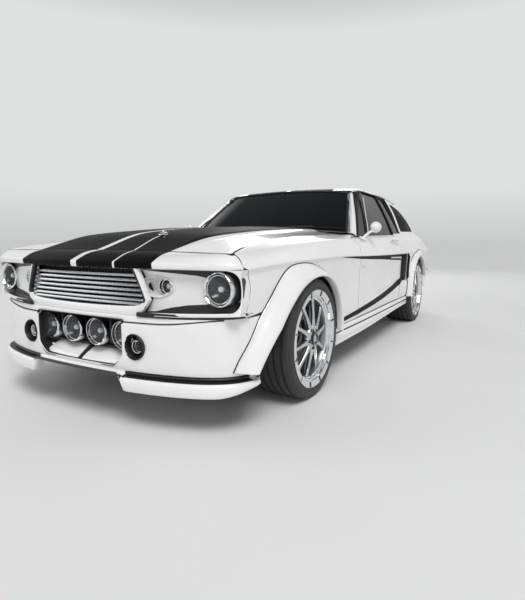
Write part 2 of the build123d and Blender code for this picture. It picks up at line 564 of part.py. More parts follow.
wheel_plane = Plane(origin=(cx, cy, cz), x_dir=(1, 0, 0), z_dir=tuple(column_axis))
rim_ring = Solid.make_torus(STEERING_WHEEL_RADIUS, 15, wheel_plane)
hub_ring = Solid.make_cylinder(42, 56, Plane(origin=Vector(cx, cy, cz) - column_axis * 50, z_dir=column_axis))
wheel_shape = rim_ring + hub_ring
for ang in (90, 210, 330):
    spoke = wheel_plane.location * Rot(0, 0, ang) * Pos(STEERING_WHEEL_RADIUS / 2 + 12, 0, -8) * Box(STEERING_WHEEL_RADIUS - 20, 34, 8)
    wheel_shape = wheel_shape + spoke
keep("steering_wheel", wheel_shape)

# ---------------------------------------------------------------- wheels
def tyre(width, x_face, y):
    x0 = x_face - width
    profile = [
        (RIM_RADIUS + 1, x0 + 14), (RIM_RADIUS + 34, x0 + 2), (RIM_RADIUS + 70, x0), (TYRE_RADIUS - 10, x0 + 8), (TYRE_RADIUS, x0 + 26),
        (TYRE_RADIUS, x_face - 26), (TYRE_RADIUS - 10, x_face - 8), (RIM_RADIUS + 70, x_face), (RIM_RADIUS + 34, x_face - 2), (RIM_RADIUS + 1, x_face - 14),
    ]
    wire = Wire.make_polygon([Vector(x, y, TYRE_RADIUS + r) for r, x in profile], close=True)
    return Solid.revolve(Face(wire), 360, Axis((0, y, TYRE_RADIUS), (1, 0, 0)))

def rim(width, x_face, y):
    x0 = x_face - width
    lip = x_face - 12
    profile = [
        (RIM_RADIUS, x0 + 16), (RIM_RADIUS, lip), (RIM_RADIUS - 12, lip), (RIM_RADIUS - 22, lip - 60),
        (RIM_RADIUS - 22, x0 + 24), (RIM_RADIUS - 8, x0 + 16),
    ]
    wire = Wire.make_polygon([Vector(x, y, TYRE_RADIUS + r) for r, x in profile], close=True)
    axis = Axis((0, y, TYRE_RADIUS), (1, 0, 0))
    body = Solid.revolve(Face(wire), 360, axis)
    hub_back = x_face - 160
    hub = drum(74, hub_back, lip - 6, y, TYRE_RADIUS) - drum(21, hub_back - 1, hub_back + 45, y, TYRE_RADIUS)
    body = body + hub
    for k in range(10):
        a = k * 36
        spoke = Pos(0, y, TYRE_RADIUS) * Rot(a, 0, 0) * Pos(lip - 28, 0, 146) * Box(22, 30, 164)
        body = body + spoke
    disc = drum(168, hub_back + 4, hub_back + 30, y, TYRE_RADIUS) - drum(30, hub_back, hub_back + 40, y, TYRE_RADIUS)
    return body + disc

for end, y, width in (("front", FRONT_AXLE_Y, FRONT_TYRE_WIDTH), ("rear", REAR_AXLE_Y, REAR_TYRE_WIDTH)):
    t = tyre(width, WHEEL_FACE_X, y)
    r = rim(width, WHEEL_FACE_X, y)
    keep("tyre_%s_left" % end, t)
    keep("tyre_%s_right" % end, t.mirror(Plane.YZ))
    keep("rim_%s_left" % end, r)
    keep("rim_%s_right" % end, r.mirror(Plane.YZ))

# ---------------------------------------------------------------- steering knuckles
knuckle = block(KINGPIN_X - 52, KINGPIN_X - 4, FRONT_AXLE_Y - 34, FRONT_AXLE_Y + 34, 246, 430)
knuckle = knuckle + drum(46, KINGPIN_X - 30, KINGPIN_X + 34, FRONT_AXLE_Y, TYRE_RADIUS)
knuckle = knuckle + drum(20, KINGPIN_X + 30, KINGPIN_X + 78, FRONT_AXLE_Y, TYRE_RADIUS)
knuckle = knuckle + block(KINGPIN_X - 44, KINGPIN_X - 18, FRONT_AXLE_Y + 20, FRONT_AXLE_Y + 150, 270, 300)
keep("knuckle_left", knuckle)
keep("knuckle_right", knuckle.mirror(Plane.YZ))

# ---------------------------------------------------------------- write the pieces
os.makedirs("parts", exist_ok=True)
for name, solids in made.items():
    shape = solids[0] if len(solids) == 1 else Compound(solids)
    export_step(shape, "parts/%s.step" % name)
print(len(made), "nodes")
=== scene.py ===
import math
import bpy
import numpy as np
from mathutils import Matrix, Vector


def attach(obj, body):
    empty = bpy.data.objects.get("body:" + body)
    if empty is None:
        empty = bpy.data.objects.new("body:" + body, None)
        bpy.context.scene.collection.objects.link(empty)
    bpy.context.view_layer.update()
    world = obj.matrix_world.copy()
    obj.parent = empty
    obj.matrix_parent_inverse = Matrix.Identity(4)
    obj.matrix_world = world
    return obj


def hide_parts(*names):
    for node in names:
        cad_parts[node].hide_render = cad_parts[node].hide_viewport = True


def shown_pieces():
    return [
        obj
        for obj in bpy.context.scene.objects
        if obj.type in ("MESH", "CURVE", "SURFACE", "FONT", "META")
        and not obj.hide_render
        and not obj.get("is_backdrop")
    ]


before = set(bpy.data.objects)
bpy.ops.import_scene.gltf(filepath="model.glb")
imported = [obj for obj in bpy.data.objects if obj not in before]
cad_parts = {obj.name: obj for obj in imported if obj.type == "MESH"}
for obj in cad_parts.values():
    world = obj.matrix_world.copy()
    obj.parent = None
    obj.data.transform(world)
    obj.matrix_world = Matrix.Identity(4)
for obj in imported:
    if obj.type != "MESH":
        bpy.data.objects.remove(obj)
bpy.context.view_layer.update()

# Lengths below are millimetres in the car's own frame: +X left, nose to -Y, +Z up. They become metres when a mesh is made.
MM = 0.001

# ------------------------------------------------------------------ driving sizes
FRONT_AXLE_Y, REAR_AXLE_Y = -1461.0, 1282.0
TYRE_R, RIM_R = 332.0, 236.0
DOOR_FRONT_Y, DOOR_REAR_Y, DOOR_BOTTOM = -634.0, 545.0, 322.0
FENDER_FRONT_Y = -2120.0
HOOD_REAR_Y, LID_FRONT_Y, TAIL_Y = -716.0, 1868.0, 2262.0
GAP = 2.6               # half of a shut line
ROLL = 3.0              # radius of a rolled panel edge


# ------------------------------------------------------------------ curves
def spline(xs, ys):
    """Natural cubic through the points; ys may have columns. Straight beyond the ends."""
    xs = np.asarray(xs, float)
    ys = np.asarray(ys, float)
    flat = ys.ndim == 1
    if flat:
        ys = ys[:, None]
    n = len(xs)
    h = np.diff(xs)
    a = np.zeros((n, n))
    r = np.zeros((n, ys.shape[1]))
    a[0, 0] = a[-1, -1] = 1
    for i in range(1, n - 1):
        a[i, i - 1], a[i, i], a[i, i + 1] = h[i - 1], 2 * (h[i - 1] + h[i]), h[i]
        r[i] = 6 * ((ys[i + 1] - ys[i]) / h[i] - (ys[i] - ys[i - 1]) / h[i - 1])
    m = np.linalg.solve(a, r)

    def at(x):
        x = np.atleast_1d(np.asarray(x, float))
        k = np.clip(np.searchsorted(xs, x) - 1, 0, n - 2)
        xc = np.clip(x, xs[0], xs[-1])
        hh = h[k][:, None]
        t1 = (xs[k + 1] - xc)[:, None]
        t0 = (xc - xs[k])[:, None]
        out = (m[k] * t1 ** 3 + m[k + 1] * t0 ** 3) / (6 * hh) + (ys[k] / hh - m[k] * hh / 6) * t1 + (ys[k + 1] / hh - m[k + 1] * hh / 6) * t0
        slope0 = (ys[1] - ys[0]) / h[0] - h[0] * m[1] / 6
        slope1 = (ys[-1] - ys[-2]) / h[-1] + h[-1] * m[-2] / 6
        out = out + np.minimum(x - xs[0], 0)[:, None] * slope0 + np.maximum(x - xs[-1], 0)[:, None] * slope1
        return out[:, 0] if flat else out
    return at


def smooth(t):
    t = np.clip(t, 0, 1)
    return t * t * (3 - 2 * t)


def rounded(points, setbacks, step=18.0, arc=5):
    """Sections given as corner points (stations, corners, 3) become rounded lines, the same count at each station."""
    p = np.asarray(points, float)
    k = p.shape[1]
    seg = p[:, 1:] - p[:, :-1]
    length = np.maximum(np.linalg.norm(seg, axis=2), 1e-6)
    unit = seg / length[:, :, None]
    sb = np.zeros((p.shape[0], k))
    for i in range(1, k - 1):
        sb[:, i] = np.minimum(setbacks[i], 0.46 * np.minimum(length[:, i - 1], length[:, i]))
    cols = []
    for i in range(k - 1):
        a = p[:, i] + unit[:, i] * sb[:, i][:, None]
        b = p[:, i + 1] - unit[:, i] * sb[:, i + 1][:, None]
        n = max(1, int(round(float(np.max(np.linalg.norm(b - a, axis=1))) / step)))
        for j in range(n + 1):
            cols.append(a + (b - a) * (j / n))
        if i < k - 2:
            c = p[:, i + 1]
            d = p[:, i + 1] + unit[:, i + 1] * sb[:, i + 1][:, None]
            for j in range(1, arc):
                t = j / arc
                cols.append(b * (1 - t) ** 2 + c * 2 * t * (1 - t) + d * t * t)
    return np.stack(cols, axis=1)


# ------------------------------------------------------------------ sheets: open surfaces cut by level functions
def grid_sheet(g, flip=False):
    """Quads of a grid (rows, columns, 3)."""
    r, c = g.shape[:2]
    v = g.reshape(-1, 3)
    f = []
    for i in range(r - 1):
        for j in range(c - 1):
            a, b, d, e = i * c + j, i * c + j + 1, (i + 1) * c + j + 1, (i + 1) * c + j
            f.append((a, e, d, b) if flip else (a, b, d, e))
    return v, f


def split(sheet, level, snap=0.05):
    """Cut the faces where level(points) changes sign; gives (vertices, faces below zero, faces above zero)."""
    v, faces = sheet
    d = level(v)
    d = np.where(np.abs(d) < snap, 0.0, d)
    s = np.sign(d).astype(int)
    low, high, mixed, edges = [], [], [], set()
    for f in faces:
        ss = [s[i] for i in f]
        if min(ss) >= 0 and max(ss) > 0:
            high.append(f)
        elif max(ss) <= 0:
            low.append(f)
        else:
            mixed.append(f)
            for a, b in zip(f, f[1:] + f[:1]):
                if s[a] * s[b] < 0:
                    edges.add((a, b) if a < b else (b, a))
    if not mixed:
        return v, low, high
    edges = sorted(edges)
    if edges:
        e = np.array(edges)
        a, b = v[e[:, 0]], v[e[:, 1]]
        da = d[e[:, 0]]
        lo, hi = np.zeros(len(e)), np.ones(len(e))
        for _ in range(22):
            mid = (lo + hi) / 2
            dm = level(a + (b - a) * mid[:, None])
            same = np.sign(dm) == np.sign(da)
            lo, hi = np.where(same, mid, lo), np.where(same, hi, mid)
        t = ((lo + hi) / 2)[:, None]
        new = a + (b - a) * t
        index = {key: len(v) + i for i, key in enumerate(edges)}
        v = np.vstack([v, new])
    else:
        index = {}
    for f in mixed:
        neg, pos = [], []
        for a, b in zip(f, f[1:] + f[:1]):
            if s[a] <= 0:
                neg.append(a)
            if s[a] >= 0:
                pos.append(a)
            if s[a] * s[b] < 0:
                m = index[(a, b) if a < b else (b, a)]
                neg.append(m)
                pos.append(m)
        if len(neg) >= 3:
            low.append(tuple(neg))
        if len(pos) >= 3:
            high.append(tuple(pos))
    return v, low, high


def keep_low(sheet, *levels):
    for level in levels:
        v, low, _ = split(sheet, level)
        sheet = (v, low)
    return sheet


def score(sheet, *levels):
    """Add edges along each level without parting the sheet."""
    for level in levels:
        v, low, high = split(sheet, level)
        sheet = (v, low + high)
    return sheet


def tidy(sheet):
    v, faces = sheet
    used = np.unique(np.concatenate([np.array(f) for f in faces]))
    remap = -np.ones(len(v), int)
    remap[used] = np.arange(len(used))
    return v[used], [tuple(int(remap[i]) for i in f) for f in faces]


def weld(sheet, tol=0.02):
    v, faces = sheet
    key = np.round(v / tol).astype(np.int64)
    _, first, inverse = np.unique(key, axis=0, return_index=True, return_inverse=True)
    inverse = inverse.reshape(-1)
    out = []
    for f in faces:
        g = []
        for i in f:
            j = int(inverse[i])
            if not g or g[-1] != j:
                g.append(j)
        if len(g) > 1 and g[0] == g[-1]:
            g.pop()
        if len(g) >= 3 and len(set(g)) == len(g):
            out.append(tuple(g))
    return v[first], out


def mirrored(sheet):
    v, faces = sheet
    w = v.copy()
    w[:, 0] *= -1
    return w, [tuple(reversed(f)) for f in faces]


def joined(*sheets):
    vs, fs, base = [], [], 0
    for v, f in sheets:
        vs.append(v)
        fs.extend(tuple(i + base for i in g) for g in f)
        base += len(v)
    return np.vstack(vs), fs


def normals_of(v, faces):
    n = np.zeros_like(v)
    by = {}
    for f in faces:
        by.setdefault(len(f), []).append(f)
    for k, fs in by.items():
        fa = np.array(fs)
        p = v[fa]
        area = np.zeros((len(fs), 3))
        for i in range(1, k - 1):
            area += np.cross(p[:, i] - p[:, 0], p[:, i + 1] - p[:, 0])
        for i in range(k):
            a, b, c = p[:, i - 1], p[:, i], p[:, (i + 1) % k]
            u, w = a - b, c - b
            cosv = (u * w).sum(1) / np.maximum(np.linalg.norm(u, axis=1) * np.linalg.norm(w, axis=1), 1e-9)
            ang = np.arccos(np.clip(cosv, -1, 1))
            unit = area / np.maximum(np.linalg.norm(area, axis=1), 1e-9)[:, None]
            np.add.at(n, fa[:, i], unit * ang[:, None])
    return n / np.maximum(np.linalg.norm(n, axis=1), 1e-9)[:, None]


def skin(sheet, roll=ROLL, thick=9.0, sharp=False):
    """Closed panel from an open sheet: rolled edges, a returned flange and an inner face. Gives (sheet, index of the first inner face)."""
    v, faces = tidy(weld(sheet))
    n = normals_of(v, faces)
    count = {}
    for f in faces:
        for a, b in zip(f, f[1:] + f[:1]):
            count[(a, b)] = count.get((a, b), 0) + 1
    rim = [(a, b) for (a, b) in count if (b, a) not in count]
    outward = np.zeros_like(v)
    for a, b in rim:
        t = v[b] - v[a]
        ln = np.linalg.norm(t)
        if ln < 1e-9:
            continue
        nn = n[a] + n[b]
        o = np.cross(t / ln, nn / max(np.linalg.norm(nn), 1e-9))
        outward[a] += o
        outward[b] += o
    ids = sorted({i for e in rim for i in e})
    pos = {i: k for k, i in enumerate(ids)}
    ov = outward[ids]
    ol = np.linalg.norm(ov, axis=1)
    ov = ov / np.maximum(ol, 1e-9)[:, None] * np.clip(2.0 / np.maximum(ol, 1e-3), 1.0, 1.6)[:, None]
    nv = n[ids]
    rings = []
    if roll > 0:
        for ang in (30, 60, 90):
            a = math.radians(ang)
            rings.append(v[ids] + ov * roll * math.sin(a) - nv * roll * (1 - math.cos(a)))
    else:
        roll = 0.0
    rings.append(v[ids] + ov * roll - nv * max(thick, roll + 0.5))
    inner = v - n * thick
    base = len(v)
    all_v = [v] + rings + [inner]
    out = list(faces)
    m = len(ids)
    previous = {i: i for i in ids}
    for k in range(len(rings)):
        this = {i: base + k * m + pos[i] for i in ids}
        for a, b in rim:
            out.append((previous[b], previous[a], this[a], this[b]))
        previous = this
    inner_base = base + len(rings) * m
    first_inner = len(out)
    for a, b in rim:
        out.append((previous[b], previous[a], inner_base + a, inner_base + b))
    for f in faces:
        out.append(tuple(inner_base + i for i in reversed(f)))
    return (np.vstack(all_v), out), first_inner


# ------------------------------------------------------------------ objects
def new_object(name, v, faces, mats, face_mat=None, smooth_shade=True, sharp_deg=None):
    mesh = bpy.data.meshes.new(name)
    mesh.from_pydata((np.asarray(v) * MM).tolist(), [], [tuple(int(i) for i in f) for f in faces])
    mesh.validate(clean_customdata=False)
    obj = bpy.data.objects.new(name, mesh)
    bpy.context.scene.collection.objects.link(obj)
    for m in (mats if isinstance(mats, (list, tuple)) else [mats]):
        mesh.materials.append(m)
    if face_mat is not None and len(face_mat) == len(mesh.polygons):
        mesh.polygons.foreach_set("material_index", np.asarray(face_mat, np.int32))
    mesh.polygons.foreach_set("use_smooth", [smooth_shade] * len(mesh.polygons))
    if sharp_deg is not None and smooth_shade:
        mesh.set_sharp_from_angle(angle=math.radians(sharp_deg))
    mesh.update()
    return obj


PIECES = []


def piece(name, sheet, mats, body="chassis", replaces=(), face_mat=None, smooth_shade=True, sharp_deg=None):
    v, f = sheet
    o = new_object(name, v, f, mats, face_mat, smooth_shade, sharp_deg)
    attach(o, body)
    if replaces:
        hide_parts(*replaces)
    PIECES.append(o)
    return o


def panel(name, sheet, body="chassis", replaces=(), thick=9.0, roll=ROLL, mats=None, slot="body_paint", extra=None, sharp_deg=None, marks=None):
    """Painted panel. `marks` says which outer faces, by their middles, are black."""
    closed, first = skin(sheet, roll, thick)
    fm = [0] * first + [1] * (len(closed[1]) - first)
    if marks is not None:
        mats = mats or [PAINT, UNDER_AND_GAP_SHADE, STRIPE]
        mids = np.array([closed[0][list(f)].mean(0) for f in closed[1][:first]])
        hit = marks(mids)
        fm[:first] = [2 if h else 0 for h in hit]
    # the outer half of each rolled edge and the returned flange take the dark inner material: painted shade in the shut
    # lines
    if roll > 0:
        n_rim = (2 * first - len(closed[1])) // 3
        fm[first - 2 * n_rim:first] = [1] * (2 * n_rim)
    if extra is not None:
        ev, ef, em = extra
        base = len(closed[0])
        closed = (np.vstack([closed[0], ev]), closed[1] + [tuple(i + base for i in f) for f in ef])
        fm += [em] * len(ef)
    return piece(name, closed, mats or [PAINT, UNDER_AND_GAP_SHADE], body, replaces, fm, True, sharp_deg)


# ------------------------------------------------------------------ solids as sheets
def box_sheet(x0, x1, y0, y1, z0, z1, bevel=1.5):
    """Box with chamfered edges."""
    lo, hi = np.array([x0, y0, z0], float), np.array([x1, y1, z1], float)
    b = min(bevel, 0.45 * float(np.min(hi - lo)))
    c, h = (lo + hi) / 2, (hi - lo) / 2
    verts, faces, key = [], [], {}

    def add(p):
        k = tuple(np.round(p, 5))
        if k not in key:
            key[k] = len(verts)
            verts.append(p)
        return key[k]
    corner = {}
    for sx in (-1, 1):
        for sy in (-1, 1):
            for sz in (-1, 1):
                s = np.array([sx, sy, sz])
                for ax in range(3):
                    d = h - b
                    d[ax] = h[ax]
                    corner[(sx, sy, sz, ax)] = add(c + s * d)
    def orient(f, out):
        p = [verts[i] for i in f]
        nrm = np.cross(p[1] - p[0], p[2] - p[0])
        faces.append(tuple(f) if float(np.dot(nrm, out)) > 0 else tuple(reversed(f)))
    for ax in range(3):
        o1, o2 = [k for k in range(3) if k != ax]
        for sg in (-1, 1):
            f = []
            for a, bb in ((-1, -1), (1, -1), (1, 1), (-1, 1)):
                s = [0, 0, 0]
                s[ax], s[o1], s[o2] = sg, a, bb
                f.append(corner[(s[0], s[1], s[2], ax)])
            out = np.zeros(3)
            out[ax] = sg
            orient(f, out)
    for ax in range(3):
        o1, o2 = [k for k in range(3) if k != ax]
        for a in (-1, 1):
            for bb in (-1, 1):
                s0, s1 = [0, 0, 0], [0, 0, 0]
                s0[ax], s1[ax] = -1, 1
                s0[o1] = s1[o1] = a
                s0[o2] = s1[o2] = bb
                f = [corner[(*s0, o1)], corner[(*s1, o1)], corner[(*s1, o2)], corner[(*s0, o2)]]
                out = np.zeros(3)
                out[o1], out[o2] = a, bb
                orient(f, out)
    for sx in (-1, 1):
        for sy in (-1, 1):
            for sz in (-1, 1):
                orient([corner[(sx, sy, sz, ax)] for ax in range(3)], np.array([sx, sy, sz], float))
    return np.array(verts), faces


def moved(sheet, matrix=None, at=(0, 0, 0)):
    v, f = sheet
    if matrix is not None:
        m = np.array(matrix)[:3, :3]
        v = v @ m.T
        if np.linalg.det(m) < 0:
            f = [tuple(reversed(g)) for g in f]
    return v + np.array(at, float), f


def lathe(profile, segments=64, axis="x", at=(0, 0, 0), closed_profile=False):
    """Turn a profile of (radius, along) about an axis through `at`."""
    prof = np.asarray(profile, float)
    n = len(prof)
    ang = np.linspace(0, 2 * math.pi, segments, endpoint=False)
    ca, sa = np.cos(ang), np.sin(ang)
    v = np.zeros((segments, n, 3))
    r, s = prof[:, 0], prof[:, 1]
    if axis == "x":
        v[:, :, 0] = s[None, :]
        v[:, :, 1] = ca[:, None] * r[None, :]
        v[:, :, 2] = sa[:, None] * r[None, :]
    elif axis == "y":
        v[:, :, 1] = s[None, :]
        v[:, :, 2] = ca[:, None] * r[None, :]
        v[:, :, 0] = sa[:, None] * r[None, :]
    else:
        v[:, :, 2] = s[None, :]
        v[:, :, 0] = ca[:, None] * r[None, :]
        v[:, :, 1] = sa[:, None] * r[None, :]
    faces = []
    m = n if closed_profile else n - 1
    for i in range(segments):
        i2 = (i + 1) % segments
        for j in range(m):
            j2 = (j + 1) % n
            faces.append((i * n + j, i * n + j2, i2 * n + j2, i2 * n + j))
    return weld((v.reshape(-1, 3) + np.array(at, float), faces), 0.001)


def arc_points(cx, cy, r, a0, a1, n):
    return [(cx + r * math.cos(math.radians(a0 + (a1 - a0) * i / n)), cy + r * math.sin(math.radians(a0 + (a1 - a0) * i / n))) for i in range(n + 1)]


def frames_along(path, up=(0, 0, 1), closed=False):
    p = np.asarray(path, float)
    if closed:
        t = np.roll(p, -1, axis=0) - np.roll(p, 1, axis=0)
    else:
        t = np.gradient(p, axis=0)
    t /= np.maximum(np.linalg.norm(t, axis=1), 1e-9)[:, None]
    u = np.asarray(up, float)
    u = np.tile(u, (len(p), 1)) if u.ndim == 1 else u
    side = np.cross(t, u)
    side /= np.maximum(np.linalg.norm(side, axis=1), 1e-9)[:, None]
    top = np.cross(side, t)
    return p, side, top


def sweep(path, profile, up=(0, 0, 1), closed=False, cap=True):
    """Profile of (side, up) points carried along a path."""
    p, side, top = frames_along(path, up, closed)
    prof = np.asarray(profile, float)
    g = p[:, None, :] + side[:, None, :] * prof[None, :, 0:1] + top[:, None, :] * prof[None, :, 1:2]
    n, k = g.shape[:2]
    v = g.reshape(-1, 3)
    f = []
    for i in range(n if closed else n - 1):
        i2 = (i + 1) % n
        for j in range(k):
            j2 = (j + 1) % k
            f.append((i * k + j, i * k + j2, i2 * k + j2, i2 * k + j))
    if cap and not closed:
        f.append(tuple(reversed(range(k))))
        f.append(tuple((n - 1) * k + j for j in range(k)))
    return v, f


def tube(path, r, n=12, closed=False, up=(0, 0, 1)):
    return sweep(path, [(r * math.cos(2 * math.pi * i / n), r * math.sin(2 * math.pi * i / n)) for i in range(n)], up, closed)


def subdivided(name, sheet, levels=2):
    """Catmull-Clark of a closed cage, applied."""
    v, f = sheet
    o = new_object(name + "_cage", v, f, [])
    m = o.modifiers.new("s", "SUBSURF")
    m.levels = m.render_levels = levels
    dg = bpy.context.evaluated_depsgraph_get()
    me = bpy.data.meshes.new_from_object(o.evaluated_get(dg))
    co = np.zeros(len(me.vertices) * 3)
    me.vertices.foreach_get("co", co)
    faces = [tuple(p.vertices) for p in me.polygons]
    bpy.data.objects.remove(o)
    bpy.data.meshes.remove(me)
    return co.reshape(-1, 3) / MM, faces


# ------------------------------------------------------------------ materials
def mat(name):
    m = bpy.data.materials.new(name)
    m.use_nodes = True
    nt = m.node_tree
    b = nt.nodes["Principled BSDF"]
    return m, nt, b


def node(nt, kind, **inputs):
    n = nt.nodes.new(kind)
    for k, val in inputs.items():
        key = k.replace("_", " ")
        if key in n.inputs:
            n.inputs[key].default_value = val
    return n


def noise(nt, scale, detail=3.0, rough=0.55, vector=None):
    n = node(nt, "ShaderNodeTexNoise", Scale=scale, Detail=detail, Roughness=rough)
    coord = nt.nodes.new("ShaderNodeTexCoord")
    nt.links.new(vector or coord.outputs["Object"], n.inputs["Vector"])
    return n


def ramp(nt, src, stops):
    r = nt.nodes.new("ShaderNodeValToRGB")
    el = r.color_ramp.elements
    while len(el) > 1:
        el.remove(el[-1])
    el[0].position, el[0].color = stops[0][0], stops[0][1]
    for p, c in stops[1:]:
        e = el.new(p)
        e.color = c
    nt.links.new(src, r.inputs["Fac"])
    return r


def bump(nt, src, strength, distance, b, chain=None):
    n = node(nt, "ShaderNodeBump", Strength=strength, Distance=distance)
    nt.links.new(src, n.inputs["Height"])
    if chain is not None:
        nt.links.new(chain.outputs["Normal"], n.inputs["Normal"])
    if b is not None:
        nt.links.new(n.outputs["Normal"], b.inputs["Normal"])
    return n


def mth(nt, op, a, b=None, c=None):
    n = nt.nodes.new("ShaderNodeMath")
    n.operation = op
    for i, val in enumerate((a, b, c)):
        if val is None:
            continue
        if isinstance(val, (int, float)):
            n.inputs[i].default_value = val
        else:
            nt.links.new(val, n.inputs[i])
    return n.outputs[0]


def simple(name, color, rough, metallic=0.0, rough_var=0.06, noise_scale=35.0, bump_scale=None, bump_h=0.0003, color_var=0.12, coat=0.0, coat_rough=0.05, spec=0.5):
    m, nt, b = mat(name)
    n = noise(nt, noise_scale, 4.0)
    dark = tuple(c * (1 - color_var) for c in color) + (1,)
    light = tuple(min(1.0, c * (1 + color_var)) for c in color) + (1,)
    r = ramp(nt, n.outputs["Fac"], [(0.3, dark), (0.7, light)])
    nt.links.new(r.outputs["Color"], b.inputs["Base Color"])
    mr = node(nt, "ShaderNodeMapRange")
    mr.inputs["To Min"].default_value = max(0.02, rough - rough_var)
    mr.inputs["To Max"].default_value = min(1.0, rough + rough_var)
    nt.links.new(n.outputs["Fac"], mr.inputs["Value"])
    nt.links.new(mr.outputs["Result"], b.inputs["Roughness"])
    b.inputs["Metallic"].default_value = metallic
    b.inputs["Coat Weight"].default_value = coat
    b.inputs["Coat Roughness"].default_value = coat_rough
    b.inputs["Specular IOR Level"].default_value = spec
    if bump_scale:
        n2 = noise(nt, bump_scale, 3.0)
        bump(nt, n2.outputs["Fac"], 0.5, bump_h, b)
    return m


def paint_material():
    """White clearcoat; the black stripes and bands are faces of their own."""
    m, nt, b = mat("paint")
    tone = noise(nt, 2.2, 3.0)
    white = ramp(nt, tone.outputs["Fac"], [(0.3, (0.79, 0.79, 0.78, 1)), (0.7, (0.85, 0.85, 0.845, 1))])
    nt.links.new(white.outputs["Color"], b.inputs["Base Color"])
    flake = noise(nt, 900.0, 2.0)
    mr = node(nt, "ShaderNodeMapRange")
    mr.inputs["To Min"].default_value = 0.22
    mr.inputs["To Max"].default_value = 0.34
    nt.links.new(flake.outputs["Fac"], mr.inputs["Value"])
    nt.links.new(mr.outputs["Result"], b.inputs["Roughness"])
    b.inputs["Coat Weight"].default_value = 1.0
    b.inputs["Coat Roughness"].default_value = 0.035
    b.inputs["Coat IOR"].default_value = 1.5
    peel = noise(nt, 160.0, 2.0)
    bump(nt, peel.outputs["Fac"], 0.05, 0.0002, b)
    return m


def glass_material(name, tint, alpha_mix, rough=0.02, spec=0.5):
    """Dark tinted glass: see-through with a clear reflection."""
    m, nt, b = mat(name)
    out = nt.nodes["Material Output"]
    n = noise(nt, 1.6, 2.0)
    r = ramp(nt, n.outputs["Fac"], [(0.35, tuple(c * 0.85 for c in tint) + (1,)), (0.65, tuple(min(1, c * 1.15) for c in tint) + (1,))])
    nt.links.new(r.outputs["Color"], b.inputs["Base Color"])
    b.inputs["Roughness"].default_value = rough
    b.inputs["IOR"].default_value = 1.5
    b.inputs["Alpha"].default_value = alpha_mix
    b.inputs["Specular IOR Level"].default_value = spec
    return m


PAINT = paint_material()
STRIPE = simple("stripe_black", (0.0045, 0.0045, 0.005), 0.46, 0.0, 0.05, 240.0, 160.0, 0.00005, 0.25, spec=0.05)
# dark inner faces of the panels, also used on the outer half of rolled edges as painted shade in the shut lines
UNDER_AND_GAP_SHADE = simple("inner_skin_and_gap_shade", (0.045, 0.045, 0.047), 0.55, 0.0, 0.08, 14.0, 220.0, 0.0002)
BLACK = simple("black_trim", (0.014, 0.014, 0.015), 0.45, 0.0, 0.08, 30.0, 700.0, 0.00012)
GLOSSBLACK = simple("gloss_black", (0.008, 0.008, 0.009), 0.16, 0.0, 0.05, 12.0, None, 0, 0.2, coat=1.0)
SEAL = simple("rubber_seal", (0.012, 0.012, 0.012), 0.7, 0.0, 0.08, 60.0, 500.0, 0.0002)
CHROME = simple("chrome", (0.78, 0.79, 0.81), 0.06, 1.0, 0.03, 18.0, None, 0, 0.05)
ALLOY = simple("alloy", (0.60, 0.61, 0.63), 0.24, 1.0, 0.06, 40.0, 900.0, 0.00005, 0.08)
ALLOY_DARK = simple("alloy_painted", (0.30, 0.305, 0.315), 0.33, 0.8, 0.06, 40.0, 900.0, 0.00006, 0.1)
STEEL = simple("disc_steel", (0.42, 0.42, 0.43), 0.32, 1.0, 0.1, 60.0, 300.0, 0.0001)
CHASSIS = simple("underbody", (0.026, 0.026, 0.028), 0.52, 0.0, 0.1, 9.0, 120.0, 0.0006, 0.25)
IRON = simple("cast_iron", (0.09, 0.09, 0.095), 0.6, 0.55, 0.1, 25.0, 160.0, 0.0009, 0.3)
EXHAUST = simple("exhaust_steel", (0.46, 0.45, 0.44), 0.3, 1.0, 0.1, 8.0, 400.0, 0.00008, 0.16)
TRIM = simple("door_card_vinyl", (0.018, 0.018, 0.019), 0.5, 0.0, 0.07, 30.0, 850.0, 0.0004)
HEADLINER = simple("headliner_cloth", (0.05, 0.05, 0.052), 0.85, 0.0, 0.05, 20.0, 1400.0, 0.0004)
LEATHER = simple("leather", (0.020, 0.019, 0.018), 0.42, 0.0, 0.08, 18.0, 420.0, 0.0006)
CARPET = simple("carpet", (0.022, 0.022, 0.023), 0.95, 0.0, 0.03, 50.0, 1600.0, 0.0012)
MIRROR = simple("mirror_glass", (0.85, 0.86, 0.88), 0.03, 1.0, 0.01, 5.0, None, 0, 0.02)
GLASS = glass_material("tinted_glass", (0.005, 0.006, 0.007), 0.84, 0.015, 0.18)
LENS = glass_material("lamp_lens", (0.30, 0.31, 0.33), 0.08, 0.02, 0.3)
TAIL_LENS = simple("tail_lens", (0.24, 0.002, 0.003), 0.16, 0.0, 0.03, 25.0, 420.0, 0.0006, 0.15, coat=0.2, spec=0.25)
VALVE = simple("painted_cover", (0.10, 0.102, 0.105), 0.35, 0.4, 0.06, 30.0, 240.0, 0.0003, 0.15)
GAUGE = simple("gauge_face", (0.012, 0.012, 0.013), 0.5, 0.0, 0.04, 80.0, None, 0, 0.1)
HOSE = simple("rubber_hose", (0.018, 0.018, 0.019), 0.62, 0.0, 0.08, 40.0, 300.0, 0.0004)
CLOTH_SEAM = simple("seam_thread", (0.055, 0.054, 0.052), 0.8, 0.0, 0.05, 200.0, 900.0, 0.0002)
REFLECTOR = simple("lamp_reflector", (0.045, 0.046, 0.050), 0.14, 1.0, 0.05, 60.0, 240.0, 0.0004, 0.1)
FROST = simple("lamp_bulb", (0.80, 0.81, 0.83), 0.3, 0.0, 0.05, 40.0, None, 0, 0.05)
GRILLE_BAR = simple("grille_bar", (0.62, 0.63, 0.65), 0.2, 1.0, 0.06, 40.0, None, 0, 0.06)


# ------------------------------------------------------------------ camera, floor, light
def look(name, az, el, dist, target):
    a, e = math.radians(az), math.radians(el)
    return Vector(target) + dist * Vector((math.sin(a) * math.cos(e), -math.cos(a) * math.cos(e), math.sin(e)))


